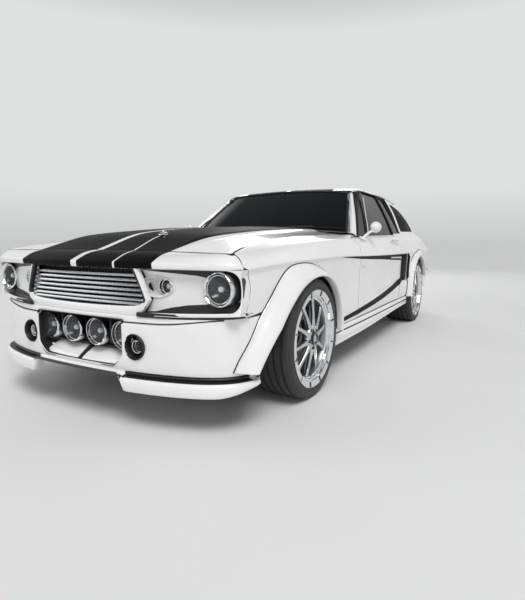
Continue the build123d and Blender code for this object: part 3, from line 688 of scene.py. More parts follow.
cam_data = bpy.data.cameras.new("camera")
cam = bpy.data.objects.new("camera", cam_data)
bpy.context.scene.collection.objects.link(cam)
az, el, roll = math.radians(29.50), math.radians(7.10), math.radians(0.07)
cam.rotation_mode = "QUATERNION"
back = Vector((math.sin(az) * math.cos(el), -math.cos(az) * math.cos(el), math.sin(el)))
right = Vector((math.cos(az), math.sin(az), 0))
up = back.cross(right)
turn = Matrix(((right.x, up.x, back.x), (right.y, up.y, back.y), (right.z, up.z, back.z)))
cam.rotation_quaternion = (turn @ Matrix.Rotation(roll, 3, "Z")).to_quaternion()
cam.location = (1.842, -3.665, 0.867)
cam_data.sensor_fit = "AUTO"
cam_data.sensor_width = 36.0
cam_data.lens = 442.2 / 600.0 * 36.0
cam_data.shift_x = (262.5 - 268.1) / 600.0
cam_data.shift_y = (295.5 - 300.0) / 600.0
cam_data.clip_end = 2000
bpy.context.scene.camera = cam

bpy.context.scene.view_settings.view_transform = "Standard"
world = bpy.data.worlds.new("studio")
world.use_nodes = True
bpy.context.scene.world = world
wt = world.node_tree
wb = wt.nodes["Background"]
way = wt.nodes.new("ShaderNodeTexCoord")
parts = wt.nodes.new("ShaderNodeSeparateXYZ")
wt.links.new(way.outputs["Generated"], parts.inputs[0])
sky = ramp(wt, parts.outputs["Z"], [(0.0, (0.585, 0.59, 0.594, 1)), (0.10, (0.73, 0.735, 0.74, 1)), (0.40, (0.74, 0.745, 0.75, 1)), (0.60, (0.17, 0.175, 0.18, 1)), (1.0, (0.24, 0.245, 0.25, 1))])
wt.links.new(sky.outputs["Color"], wb.inputs["Color"])
wb.inputs["Strength"].default_value = 1.0


def area_light(name, loc, target, size, size_y, energy, color=(1, 1, 1)):
    d = bpy.data.lights.new(name, "AREA")
    d.shape = "RECTANGLE"
    d.size, d.size_y, d.energy, d.color = size, size_y, energy, color
    o = bpy.data.objects.new(name, d)
    bpy.context.scene.collection.objects.link(o)
    o.location = loc
    o.rotation_mode = "QUATERNION"
    o.rotation_quaternion = (Vector(loc) - Vector(target)).to_track_quat("Z", "Y")
    return o


area_light("key", (4.5, -5.5, 6.5), (0, -0.6, 0.5), 3.6, 2.4, 150)
area_light("fill", (-6.5, -5.0, 4.0), (0, 0, 0.6), 5.0, 4.0, 60)
area_light("rear", (-3.0, 7.5, 4.5), (0, 1.0, 0.7), 5.0, 2.5, 110)
sun = bpy.data.lights.new("sun", "SUN")
sun.energy, sun.angle = 1.4, math.radians(28)
sun_o = bpy.data.objects.new("sun", sun)
bpy.context.scene.collection.objects.link(sun_o)
sun_o.rotation_mode = "QUATERNION"
sun_o.rotation_quaternion = Vector((0.52, -0.62, 1.25)).to_track_quat("Z", "Y")

floor_m, nt, b = mat("studio_floor")
n1 = noise(nt, 0.6, 3.0)
r1 = ramp(nt, n1.outputs["Fac"], [(0.3, (0.79, 0.79, 0.785, 1)), (0.7, (0.82, 0.82, 0.815, 1))])
nt.links.new(r1.outputs["Color"], b.inputs["Base Color"])
b.inputs["Roughness"].default_value = 0.62
n2 = noise(nt, 60.0, 3.0)
bump(nt, n2.outputs["Fac"], 0.1, 0.0005, b)
fm = bpy.data.meshes.new("studio_floor")
fm.from_pydata([(-900, -900, 0), (900, -900, 0), (900, 900, 0), (-900, 900, 0)], [], [(0, 1, 2, 3)])
fm.materials.append(floor_m)
floor_o = bpy.data.objects.new("studio_floor", fm)
bpy.context.scene.collection.objects.link(floor_o)
floor_o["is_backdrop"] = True


# ------------------------------------------------------------------ body tables
# Body side, one row a station.
# columns: y, x_low, z_low, x_cove, z_cove, x_crease, z_crease, x_shoulder, z_shoulder, x_top, z_top
SIDE = [
    (-2120, 832, 500, 846, 600, 853, 742, 836, 790, 806, 812),
    (-1900, 850, 480, 862, 620, 873, 757, 845, 820, 760, 850),
    (-1461, 862, 430, 868, 620, 886, 768, 850, 850, 760, 888),
    (-1000, 866, 400, 868, 600, 887, 769, 850, 866, 760, 900),
    (-634, 870, 390, 869, 580, 888, 762, 852, 868, 762, 908),
    (0, 876, 390, 872, 570, 893, 752, 858, 872, 772, 918),
    (545, 880, 390, 876, 570, 897, 748, 864, 878, 782, 926),
    (900, 880, 400, 878, 580, 901, 748, 868, 886, 786, 936),
    (1282, 878, 430, 878, 600, 904, 750, 868, 892, 782, 944),
    (1700, 862, 470, 868, 610, 888, 752, 842, 884, 752, 942),
    (2050, 838, 520, 846, 620, 866, 750, 794, 868, 722, 934),
    (2262, 808, 560, 816, 630, 832, 746, 754, 856, 696, 928),
]
# columns: y, x_edge, z_edge, z_middle
ROOF = [
    (-110, 568, 1256, 1288), (-30, 586, 1284, 1308), (250, 602, 1307, 1330), (600, 618, 1305, 1330), (950, 632, 1283, 1312),
    (1180, 642, 1250, 1281), (1400, 652, 1198, 1227), (1620, 658, 1118, 1144), (1800, 661, 1032, 1055), (1868, 656, 997, 1017),
]
# columns: y, half width, z_edge, z_middle
HOOD = [
    (-2134, 800, 812, 821), (-2060, 779, 826, 843), (-1900, 757, 848, 880), (-1700, 753, 869, 906), (-1300, 753, 893, 936), (-1000, 753, 901, 947), (-716, 755, 906, 953),
]
# columns: y, z_edge, z_middle
LID = [(1868, 994, 1014), (1960, 971, 990), (2060, 951, 966), (2160, 948, 960), (2230, 960, 972), (2268, 976, 985)]

SIDE_AT = spline([r[0] for r in SIDE], [r[1:] for r in SIDE])
ROOF_AT = spline([r[0] for r in ROOF], [r[1:] for r in ROOF])
HOOD_AT = spline([r[0] for r in HOOD], [r[1:] for r in HOOD])
LID_AT = spline([r[0] for r in LID], [r[1:] for r in LID])
# windscreen foot and head. columns: x_foot, y_foot, z_foot, x_head, y_head, z_head
SCREEN = [(0, -640, 950, 0, -92, 1288), (260, -624, 946, 210, -88, 1284), (520, -566, 938, 420, -74, 1276), (704, -458, 924, 570, -44, 1263)]
FOOT_AT = spline([-r[0] for r in SCREEN[:0:-1]] + [r[0] for r in SCREEN], [r[1:3] for r in SCREEN[:0:-1]] + [r[1:3] for r in SCREEN])


def oriented(sheet, direction):
    v, f = sheet
    n = normals_of(v, f)
    return sheet if float((n @ np.array(direction, float)).sum()) >= 0 else (v, [tuple(reversed(g)) for g in f])


def steps(a, b, step):
    return np.linspace(a, b, max(2, int(math.ceil(abs(b - a) / step)) + 1))


def side_points(ys, bottom):
    xl, zl, xc, zc, xu, zu, xs, zs, xt, zt = SIDE_AT(ys).T
    zb = np.full(len(ys), float(bottom))
    zl = np.maximum(zl, zb + 34)
    zc = np.maximum(zc, zl + 40)
    cols = [(xl - 10, zb), (xl, zl), (xc, zc), (xu - 13, zu - 22), (xu, zu), (xs, zs), (xt, zt)]
    return [np.stack([x, ys, z], axis=1) for x, z in cols]


SIDE_SETBACK = [0, 60, 70, 8, 5, 46, 0]


def side_x(y, z):
    """Outer face of the body side at (y, z), by the section's control points."""
    y, z = np.atleast_1d(np.asarray(y, float)), np.atleast_1d(np.asarray(z, float))
    out = np.zeros(len(y))
    s = SIDE_AT(y)
    for i in range(len(y)):
        xl, zl, xc, zc, xu, zu, xs, zs, xt, zt = s[i]
        out[i] = np.interp(z[i], [300, zl, zc, zu - 22, zu, zs, zt], [xl - 10, xl, xc, xu - 13, xu, xs, xt])
    return out


def sdf(poly, q):
    """Signed distance from points q (m, 2) to a closed polygon, negative inside."""
    a = np.asarray(poly, float)
    b = np.roll(a, -1, axis=0)
    out = np.zeros(len(q))
    for k in range(0, len(q), 4000):
        p = q[k:k + 4000]
        ap = p[:, None, :] - a[None]
        ab = (b - a)[None]
        t = np.clip((ap * ab).sum(2) / np.maximum((ab * ab).sum(2), 1e-9), 0, 1)
        d = np.linalg.norm(ap - ab * t[:, :, None], axis=2).min(1)
        y0, y1 = a[None, :, 1], b[None, :, 1]
        cross = ((y0 > p[:, None, 1]) != (y1 > p[:, None, 1]))
        xi = a[None, :, 0] + (p[:, None, 1] - y0) / np.where(np.abs(y1 - y0) < 1e-12, 1e-12, y1 - y0) * (b - a)[None, :, 0]
        inside = (cross & (p[:, None, 0] < xi)).sum(1) % 2 == 1
        out[k:k + 4000] = np.where(inside, -d, d)
    return out


def curve_through(points, step=14.0):
    """Even points along a smooth curve through the given ones."""
    p = np.asarray(points, float)
    s = np.concatenate([[0], np.cumsum(np.linalg.norm(np.diff(p, axis=0), axis=1))])
    f = spline(s, p)
    fine = f(np.linspace(0, s[-1], 40 * len(p)))
    d = np.concatenate([[0], np.cumsum(np.linalg.norm(np.diff(fine, axis=0), axis=1))])
    at = np.linspace(0, d[-1], max(3, int(d[-1] / step) + 1))
    return np.stack([np.interp(at, d, fine[:, k]) for k in range(p.shape[1])], axis=1)


# wheel openings: lip and outer line of the flare. columns: y, z
FRONT_LIP = curve_through([(-2056, 288), (-2032, 326), (-1975, 400), (-1880, 497), (-1760, 588), (-1650, 645), (-1550, 672), (-1445, 680), (-1340, 668), (-1245, 628), (-1165, 555), (-1115, 465), (-1097, 380), (-1096, 316)])
FRONT_OUT = curve_through([(-2122, 296), (-2100, 352), (-2058, 418), (-1999, 508), (-1925, 592), (-1834, 678), (-1740, 735), (-1630, 752), (-1508, 747), (-1356, 714), (-1208, 650), (-1110, 560), (-1058, 470), (-1044, 390), (-1042, 316)])
REAR_LIP = np.array([(1282 + 366 * math.cos(math.radians(a)), 338 + 366 * math.sin(math.radians(a))) for a in np.linspace(186, 28, 60)][::1])
REAR_LIP = curve_through([(1282 - 368 * math.cos(math.radians(a)), 338 + 366 * math.sin(math.radians(a))) for a in np.linspace(-4, 158, 14)])
REAR_OUT = curve_through([(1282 - (368 + w) * math.cos(math.radians(a)), 338 + (366 + w) * math.sin(math.radians(a))) for a, w in zip(np.linspace(-4, 158, 14), (44, 48, 54, 60, 64, 66, 68, 68, 68, 66, 62, 56, 48, 40))])
FRONT_HOLE = np.vstack([FRONT_LIP, [(-1096, 0), (-1972, 0), (-1986, 240), (-2030, 266)]])
REAR_HOLE = np.vstack([REAR_LIP, [(1282 + 341, 0), (1282 - 368, 0)]])

# plan of the front valance, left half. columns: x, y
VALANCE_PLAN = [(0, -2300), (170, -2297), (330, -2286), (470, -2264), (600, -2232), (700, -2194), (776, -2144), (822, -2084), (845, -2010), (856, -1930), (860, -1840)]
_vp = np.array(VALANCE_PLAN, float)
_vs = np.concatenate([[0], np.cumsum(np.linalg.norm(np.diff(_vp, axis=0), axis=1))])
VALANCE_AT = spline(_vs, _vp)
_vf = VALANCE_AT(np.linspace(0, _vs[-1], 400))


def skin_x(y, z):
    """Outer face below the fender as well: the valance's side under z = 530."""
    side = side_x(y, z)
    low = np.interp(y, _vf[:, 1], _vf[:, 0])
    t = smooth((np.asarray(z, float) - 470) / 60.0)
    front = np.asarray(y, float) < -1700
    return np.where(front, low * (1 - t) + side * t, side)


def flare_sheet(lip, out, x_lip, rise=0.5, foot_z=None):
    """Bulging flare between its lip and its outer line: a flat foot, a swell, and a flange turned in at the lip."""
    n = max(len(lip), len(out))
    def even(c):
        d = np.concatenate([[0], np.cumsum(np.linalg.norm(np.diff(c, axis=0), axis=1))])
        at = np.linspace(0, d[-1], n)
        return np.stack([np.interp(at, d, c[:, k]) for k in range(2)], axis=1)
    a, o = even(lip), even(out)
    xo = skin_x(o[:, 0], o[:, 1]) + rise
    xl = np.full(n, float(x_lip))
    if foot_z is not None:
        xl = np.where(a[:, 0] < foot_z[0], np.interp(a[:, 1], foot_z[1:3], [foot_z[3], x_lip]), xl)
    rows = []
    for t in (0, 0.02, 0.05, 0.12, 0.22, 0.32, 0.44, 0.56, 0.68, 0.8, 0.9, 1.0):
        yz = o + (a - o) * t
        step_up = 6.5 * smooth(t / 0.05) + 2.0 * min(1.0, t / 0.22)
        swell = math.sin(math.pi / 2 * max(0.0, (t - 0.16) / 0.84)) ** 0.95
        x = xo + step_up + (xl - xo - 8.5) * swell
        rows.append(np.stack([x, yz[:, 0], yz[:, 1]], axis=1))
    away = (a - o) / np.linalg.norm(a - o, axis=1)[:, None]
    for dx, dn in ((-2.5, 4.5), (-7, 7), (-16, 8), (-40, 8)):
        yz = a + away * dn
        rows.append(np.stack([xl + dx, yz[:, 0], yz[:, 1]], axis=1))
    return oriented(grid_sheet(np.stack(rows, axis=1)), (1, 0, 0.2))


def both_sides(name, sheet, bodies=("chassis", "chassis"), replaces=((), ()), **kw):
    a = panel(name + "_left", sheet, bodies[0], replaces[0], **kw)
    b = panel(name + "_right", mirrored(sheet), bodies[1], replaces[1], **kw)
    return a, b


EDGE = GAP + ROLL

# stripes along the top. outer edge by station, columns: y, half width
STRIPE_EDGE = [(-2300, 462), (-2131, 466), (-1900, 484), (-1600, 514), (-1200, 541), (-716, 556), (-100, 430), (250, 420), (1200, 410), (2300, 400)]
_se = np.array(STRIPE_EDGE, float)
stripe_half = lambda y: np.interp(y, _se[:, 0], _se[:, 1])
# the thin line left white in the left-hand stripe, from the nose back to the hood pin, is a painted highlight of the
# ridge on the hood
STRIPE_GAP, HIGHLIGHT_LINE_END_Y, HIGHLIGHT_LINE_HALF = 20.0, -1892.0, 5.5
highlight_line_x = lambda y: 256 - 60 * smooth((y + 2260) / 370.0)
STRIPE_LEVELS = [
    lambda p: np.abs(p[:, 0]) - stripe_half(p[:, 1]),
    lambda p: p[:, 0] - STRIPE_GAP,
    lambda p: -STRIPE_GAP - p[:, 0],
    lambda p: np.where(p[:, 1] < HIGHLIGHT_LINE_END_Y, p[:, 0] - highlight_line_x(p[:, 1]) - HIGHLIGHT_LINE_HALF, 1.0),
    lambda p: np.where(p[:, 1] < HIGHLIGHT_LINE_END_Y, highlight_line_x(p[:, 1]) - HIGHLIGHT_LINE_HALF - p[:, 0], 1.0),
]


def in_stripe(m):
    # faces on the painted highlight line are left white
    line = (np.abs(m[:, 0] - highlight_line_x(m[:, 1])) < HIGHLIGHT_LINE_HALF) & (m[:, 1] < HIGHLIGHT_LINE_END_Y)
    return (np.abs(m[:, 0]) < stripe_half(m[:, 1])) & (np.abs(m[:, 0]) > STRIPE_GAP) & ~line & (m[:, 2] > 743)


# dark band along the foot of the door and quarter panel. columns: y, z_low, z_high
BAND = np.array([(-1100, 330, 352), (-960, 334, 364), (-634, 344, 384), (0, 382, 432), (300, 414, 470), (545, 452, 516), (640, 484, 548), (760, 548, 604)], float)
band_low = lambda y: np.interp(y, BAND[:, 0], BAND[:, 1])
band_high = lambda y: np.interp(y, BAND[:, 0], BAND[:, 2])
BAND_LEVELS = [lambda p: p[:, 2] - band_high(p[:, 1]), lambda p: band_low(p[:, 1]) - p[:, 2]]
in_low_band = lambda m: (m[:, 2] < band_high(m[:, 1])) & (m[:, 2] > band_low(m[:, 1])) & (m[:, 1] > -1150) & (m[:, 1] < 800)
# dark band under the upper crease, widening towards the intake, with a light slit in it: partly a black accent stripe,
# partly painted shade in the crease's undercut
shade_accent_top = lambda y: SIDE_AT(y)[:, 5] - 4.0
shade_accent_deep = lambda y: np.interp(y, [-1010, -634, -110, 545, 600], [4, 19, 32, 57, 59])
SHADE_ACCENT_LEVELS = [
    lambda p: p[:, 2] - shade_accent_top(p[:, 1]),
    lambda p: shade_accent_top(p[:, 1]) - shade_accent_deep(p[:, 1]) - p[:, 2],
    lambda p: np.where(p[:, 1] > 180, p[:, 2] - shade_accent_top(p[:, 1]) + shade_accent_deep(p[:, 1]) * 0.46, 1.0),
    lambda p: np.where(p[:, 1] > 180, shade_accent_top(p[:, 1]) - shade_accent_deep(p[:, 1]) * 0.68 - p[:, 2], 1.0),
]


def in_shade_accent(m):
    t = (shade_accent_top(m[:, 1]) - m[:, 2]) / shade_accent_deep(m[:, 1])
    slit = (t > 0.46) & (t < 0.68) & (m[:, 1] > 200)
    return (t > 0) & (t < 1) & ~slit & (m[:, 1] > -1010) & (m[:, 1] < 700)


in_band = lambda m: in_low_band(m) | in_shade_accent(m)

# ------------------------------------------------------------------ fenders
ys = steps(-2119, -636, 20)
g = rounded(np.stack(side_points(ys, 322), axis=1), SIDE_SETBACK, 20)
fender = oriented(grid_sheet(g), (1, 0, 0))
hood_half = lambda y: HOOD_AT(y)[:, 0]
NOSE_JOINT = lambda z: np.interp(z, [530, 560, 600, 667, 727, 744, 758], [-2094, -2087, -2074, -2060, -2077, -2086, -2120])
fender = keep_low(
    fender,
    lambda p: NOSE_JOINT(p[:, 2]) + EDGE - p[:, 1],
    lambda p: p[:, 1] - (-634 - EDGE),
    lambda p: np.where(p[:, 1] < -1461, (548 + EDGE) - 14 * smooth((-1900 - p[:, 1]) / 200) - p[:, 2], -1.0),
    lambda p: 18 - sdf(FRONT_HOLE, p[:, 1:3]),
    lambda p: hood_half(p[:, 1]) + EDGE - p[:, 0],
)
fender = score(fender, *BAND_LEVELS, *SHADE_ACCENT_LEVELS[:2])
both_sides("fender", fender, replaces=(("fenders",), ("fenders",)), sharp_deg=38, marks=in_band)
flare = flare_sheet(FRONT_LIP, FRONT_OUT, 925, foot_z=(-1700, 292, 470, 892))
both_sides("front_flare", flare, roll=1.5, thick=4, sharp_deg=50)

# ------------------------------------------------------------------ doors
ys = steps(-636, 547, 20)
g = rounded(np.stack(side_points(ys, 318), axis=1), SIDE_SETBACK, 20)
door = oriented(grid_sheet(g), (1, 0, 0))
belt_x = lambda y: np.interp(y, [-640, -545, -470], [758, 766, 802])
door = keep_low(
    door,
    lambda p: -634 + EDGE - p[:, 1],
    lambda p: p[:, 1] - (545 - EDGE),
    lambda p: 322 + ROLL - p[:, 2],
    lambda p: belt_x(p[:, 1]) + ROLL - p[:, 0],
)
# the door's lower rear corner is pressed in behind a curved line. columns: y, z
CONTOUR = np.array([(540, 742), (528, 651), (500, 580), (431, 520), (250, 492), (-113, 466), (-400, 450), (-400, 280), (700, 280), (700, 742)], float)
door = score(door, lambda p: sdf(CONTOUR, p[:, 1:3]), lambda p: sdf(CONTOUR, p[:, 1:3]) + 11)
dv, df = door
dv = dv.copy()
dv[:, 0] -= 8.0 * smooth(-sdf(CONTOUR, dv[:, 1:3]) / 11.0) * smooth((dv[:, 1] + 330) / 380.0) * smooth((560 - dv[:, 1]) / 60.0) * (dv[:, 0] > 830)
DOOR_SHEET = score((dv, df), *BAND_LEVELS, *SHADE_ACCENT_LEVELS)

# ------------------------------------------------------------------ quarter panels with their sails
def quarter_top(ys):
    """Sail middle and sail head at each station."""
    r = ROOF_AT(np.minimum(ys, 1800))
    s = SIDE_AT(ys)
    hx, hz = r[:, 0] + 12, r[:, 1] - 16
    back_x = np.interp(ys, [1800, 1868, 1930, 2270], [656, 641, 622, 618])
    lid = LID_AT(ys)[:, 0] + 1
    back_z = np.where(ys < 1800, hz, np.interp(ys, [1800, 1868, 1930], [1006, 988, 0]) * (ys < 1930) + lid * (ys >= 1930))
    mid_band = (ys >= 1868) & (ys < 1930)
    t = smooth((ys - 1868) / 62.0)
    back_z = np.where(mid_band, 988 * (1 - t) + (LID_AT(np.full(len(ys), 1930.0))[:, 0] + 1) * t, back_z)
    hx = np.where(ys <= 1800, hx, back_x)
    hz = np.where(ys <= 1800, hz, back_z)
    bulge = 16 * (1 - smooth((ys - 1750) / 150.0))
    mx = 0.42 * s[:, 8] + 0.58 * hx + bulge
    mz = 0.42 * s[:, 9] + 0.58 * hz + bulge * 0.25
    return mx, mz, hx, hz


ys = steps(543, 2264, 20)
pts = side_points(ys, 322)
mx, mz, hx, hz = quarter_top(ys)
pts += [np.stack([mx, ys, mz], axis=1), np.stack([hx, ys, hz], axis=1)]
g = rounded(np.stack(pts, axis=1), SIDE_SETBACK[:-1] + [62, 90, 0], 21, 5)
quarter = oriented(grid_sheet(g), (1, 0, 0))
QUARTER_WINDOW = np.array([(480, 931), (856, 939), (872, 945), (875, 957), (818, 1226), (804, 1246), (780, 1420), (480, 1420)], float)
# louvred vent in the sail. columns: y, z
VENT = np.array([(880, 1232), (1010, 1222), (1180, 1194), (1330, 1149), (1470, 1084), (1590, 1013), (1622, 980), (1606, 968), (948, 958), (934, 965)], float)
SCOOP_MOUTH = np.array([(566, 520), (600, 494), (760, 482), (796, 500), (806, 560), (806, 670), (796, 716), (770, 738), (566, 738)], float)
quarter = keep_low(
    quarter,
    lambda p: 545 + EDGE - p[:, 1],
    lambda p: p[:, 1] - (2262 - ROLL),
    lambda p: np.where(p[:, 1] > 1282, 500 + EDGE + 106 * smooth((p[:, 1] - 2060) / 60) - p[:, 2], 322 + ROLL - p[:, 2]),
    lambda p: 16 - sdf(REAR_HOLE, p[:, 1:3]),
    lambda p: ROLL - sdf(QUARTER_WINDOW, p[:, 1:3]),
    lambda p: ROLL - sdf(VENT, p[:, 1:3]),
    lambda p: np.where(p[:, 0] > 800, ROLL - sdf(SCOOP_MOUTH, p[:, 1:3]), -5.0),
)
QUARTER_END = g[-1]
quarter = score(quarter, *BAND_LEVELS, *SHADE_ACCENT_LEVELS[:2])
both_sides("quarter_panel", quarter, replaces=(("quarter_panels",), ("quarter_panels",)), sharp_deg=38, marks=in_band)
rear_flare = flare_sheet(REAR_LIP, REAR_OUT, 929)
both_sides("rear_flare", rear_flare, roll=1.5, thick=4, sharp_deg=50)
# rubber welts in the seam between the flares and the body
welts = []
for out in (FRONT_OUT, REAR_OUT):
    welts.append(tube(np.stack([skin_x(out[:, 0], out[:, 1]) + 0.8, out[:, 0], out[:, 1]], axis=1), 3.2, 8, up=(1, 0, 0)))
welts = joined(*welts)
piece("flare_welts", joined(welts, mirrored(welts)), [SEAL], "chassis", sharp_deg=50)

# ------------------------------------------------------------------ roof
ys = steps(-112, 1186, 22)
xe, ze, zm = ROOF_AT(ys).T
d = zm - ze
cols = [(-xe - 12, ze - 16), (-xe, ze), (-xe * 0.8, zm - 0.55 * d), (-xe * 0.4, zm - 0.11 * d), (xe * 0, zm), (xe * 0.4, zm - 0.11 * d), (xe * 0.8, zm - 0.55 * d), (xe, ze), (xe + 12, ze - 16)]
g = rounded(np.stack([np.stack([x, ys, z], axis=1) for x, z in cols], axis=1), [0, 9, 90, 150, 160, 150, 90, 9, 0], 24)
roof = oriented(grid_sheet(g), (0, 0, 1))
HEAD_AT = spline([-570, -420, -210, 0, 210, 420, 570], [-44, -74, -88, -92, -88, -74, -44])
roof = keep_low(
    roof,
    lambda p: HEAD_AT(p[:, 0]) + 6 + ROLL - p[:, 1],
    lambda p: p[:, 1] - (1184 - ROLL),
)
roof = score(roof, *STRIPE_LEVELS[:3])
panel("roof", roof, "chassis", ("roof",), sharp_deg=38, marks=in_stripe)
# sides of the rear glass between roof and deck belong to the quarter panels' inner edge
PILLAR = []
for t in np.linspace(0, 1, 12):
    inner = np.array([708, -455, 921]) * (1 - t) + np.array([573, -42, 1263]) * t
    outer = np.array([795, -508, 899]) * (1 - t) + np.array([606, -62, 1246]) * t
    bow = math.sin(math.pi * t) * np.array([9, -10, 8])
    mid = (inner + outer) / 2 + np.array([14, -20, 9]) * (1 - 0.45 * t)
    q = [inner + (-4, 20, -16), inner + (0, -3, 3), mid + (-8, -2, 3), mid + (10, 3, -2), outer + (2, 0, 0), outer + (-6, 26, -4), (inner + outer) / 2 + (-14, 50, -14)]
    PILLAR.append([p + bow for p in q])
P = np.array(PILLAR)
P = np.concatenate([P, P[:, :1]], axis=1)
g = rounded(P, [0, 3, 14, 14, 4, 5, 10, 0], 9, 4)
v, f = grid_sheet(g)
k = g.shape[1]
f = f + [tuple(range(k - 1)), tuple(reversed([(len(g) - 1) * k + j for j in range(k - 1)]))]
v, f = weld((v, f))
pillar = oriented((v, f), (0.4, -0.7, 0.3))
both = joined(pillar, mirrored(pillar))
piece("windscreen_pillars", both, [PAINT], sharp_deg=45)

# ------------------------------------------------------------------ hood
ys = steps(-2140, -712, 22)
hw, he, hm = HOOD_AT(ys).T
fade = smooth((ys + 2120) / 300.0)
d = hm - he
lift = 20.0 * fade
edge = stripe_half(ys)
cols = []
for sgn in (-1, 1):
    part = [(sgn * hw, he), (sgn * (edge + (hw - edge) * 0.55), he + d * 0.26), (sgn * (edge + 26), he + d * 0.52), (sgn * (edge - 16), he + d * 0.62 + lift * 0.92), (sgn * edge * 0.45, hm - d * 0.08 + lift)]
    cols += part if sgn < 0 else part[::-1]
g = rounded(np.stack([np.stack([x, ys, z], axis=1) for x, z in cols], axis=1), [0, 60, 26, 22, 90, 90, 22, 26, 60, 0], 30)
hood = oriented(grid_sheet(g), (0, 0, 1))
hood = keep_low(
    hood,
    lambda p: -2131 + EDGE - p[:, 1],
    lambda p: p[:, 1] - (-716 - EDGE),
    lambda p: np.abs(p[:, 0]) - (hood_half(p[:, 1]) - EDGE),
)
hood = score(hood, *STRIPE_LEVELS)
panel("hood", hood, "hood", ("hood",), thick=14, sharp_deg=38, marks=in_stripe)

# ------------------------------------------------------------------ header panel over the grille
# columns: rear x, y, z | middle x, y, z | front edge x, y, z | under edge x, y, z | return x, y, z
HEADER = [
    ((0, -2134, 821), (0, -2215, 809), (0, -2292, 772), (0, -2289, 745), (0, -2262, 739)),
    ((250, -2134, 819), (250, -2208, 806), (250, -2280, 771), (250, -2277, 744), (248, -2250, 739)),
    ((500, -2134, 815), (500, -2190, 802), (502, -2246, 769), (501, -2243, 743), (496, -2217, 739)),
    ((690, -2133, 812), (694, -2172, 798), (702, -2210, 767), (700, -2207, 743), (692, -2182, 739)),
    ((790, -2127, 812), (800, -2154, 794), (812, -2176, 765), (810, -2173, 742), (796, -2154, 739)),
    ((822, -2120, 801), (834, -2132, 784), (848, -2144, 759), (846, -2142, 741), (830, -2130, 739)),
    ((840, -2117, 783), (848, -2119, 768), (856, -2121, 752), (854, -2120, 740), (838, -2117, 739)),
]
full = [tuple((-p[0], p[1], p[2]) for p in row) for row in HEADER[:0:-1]] + HEADER
arr = np.array(full, float)
s = np.concatenate([[0], np.cumsum(np.linalg.norm(np.diff(arr[:, 2], axis=0), axis=1))])
at = spline(s, arr.reshape(len(full), -1))
us = steps(0, s[-1], 20)
arr = at(us).reshape(len(us), 5, 3)
g = rounded(arr, [0, 46, 9, 6, 0], 16, 5)
header = oriented(grid_sheet(g), (0, -0.6, 0.8))
header = keep_low(header, lambda p: p[:, 1] - np.where(np.abs(p[:, 0]) < 806, -2131 - EDGE, -2120 - EDGE) - 0.0)
header = score(header, lambda p: 743 - p[:, 2], *STRIPE_LEVELS)
panel("header_panel", header, "chassis", ("header_panel",), roll=2.0, thick=7, sharp_deg=38, marks=in_stripe)

# ------------------------------------------------------------------ trunk lid with its lip, and the deck ahead of it
def deck_sheet(y0, y1, half, table_z):
    ys = steps(y0, y1, 18)
    e, m = table_z(ys)
    w = half(ys)
    cols = [(-w, e), (-w * 0.7, e + (m - e) * 0.5), (-w * 0.3, e + (m - e) * 0.92), (w * 0, m), (w * 0.3, e + (m - e) * 0.92), (w * 0.7, e + (m - e) * 0.5), (w, e)]
    g = rounded(np.stack([np.stack([x, ys, z], axis=1) for x, z in cols], axis=1), [0, 80, 80, 80, 80, 80, 0], 24)
    return oriented(grid_sheet(g), (0, 0, 1))


lid = deck_sheet(1872, 2250, lambda y: np.full(len(y), 616.0), lambda y: LID_AT(y).T)
lid = keep_low(lid, lambda p: 1870 + EDGE - p[:, 1], lambda p: np.abs(p[:, 0]) - (616 - EDGE))
lid = score(lid, *STRIPE_LEVELS[:3])
panel("trunk_lid", lid, "trunk_lid", ("trunk_lid",), thick=14, sharp_deg=38, marks=in_stripe)
deck = deck_sheet(1804, 1866, lambda y: np.interp(y, [1800, 1868], [646, 634]), lambda y: (ROOF_AT(y)[:, 1] - 2, ROOF_AT(y)[:, 2] - 1))
deck = keep_low(deck, lambda p: 1804 + EDGE - p[:, 1], lambda p: p[:, 1] - (1868 - EDGE))
deck = score(deck, *STRIPE_LEVELS[:3])
panel("rear_deck", deck, "chassis", ("rear_deck",), thick=12, sharp_deg=38, marks=in_stripe)


# ------------------------------------------------------------------ doors with handle, lock and glass
# door glass by stations. columns: y_foot, x_foot, z_foot, y_head, x_head, z_head
DOOR_GLASS = [(-500, 799, 884, -66, 612, 1238), (-420, 799, 886, 0, 611, 1262), (150, 801, 894, 180, 610, 1285), (533, 804, 899, 531, 613, 1285)]
QUARTER_GLASS = [(551, 776, 930, 549, 617, 1286), (740, 776, 935, 688, 622, 1272), (870, 774, 938, 804, 629, 1243)]


def glass_sheet(rows, bow, step=24):
    r = np.array(rows, float)
    s = np.concatenate([[0], np.cumsum(np.linalg.norm(np.diff(r[:, :2], axis=0), axis=1))])
    at = spline(s, r)
    us = steps(0, s[-1], step)
    rr = at(us)
    g = []
    for t in np.linspace(0, 1, 13):
        foot = np.stack([rr[:, 1], rr[:, 0], rr[:, 2]], axis=1)
        head = np.stack([rr[:, 4], rr[:, 3], rr[:, 5]], axis=1)
        p = foot * (1 - t) + head * t
        p[:, 0] += bow * 4 * t * (1 - t) * 0.8
        p[:, 2] += bow * 4 * t * (1 - t) * 0.3
        g.append(p)
    return oriented(grid_sheet(np.stack(g, axis=1)), (1, 0, 0.3))


def edge_of(rows, bow, n=16):
    """Front, top and rear edges of a side glass as one path."""
    r = np.array(rows, float)
    def line(i, rev=False):
        out = []
        for t in np.linspace(0, 1, n):
            f, h = r[i, [1, 0, 2]], r[i, [4, 3, 5]]
            p = f * (1 - t) + h * t + np.array([bow * 3.2 * t * (1 - t), 0, bow * 1.2 * t * (1 - t)])
            out.append(p)
        return out[::-1] if rev else out
    head = curve_through(r[:, [4, 3, 5]], 30)
    return np.array(line(0) + list(head[1:-1]) + line(len(r) - 1, True))


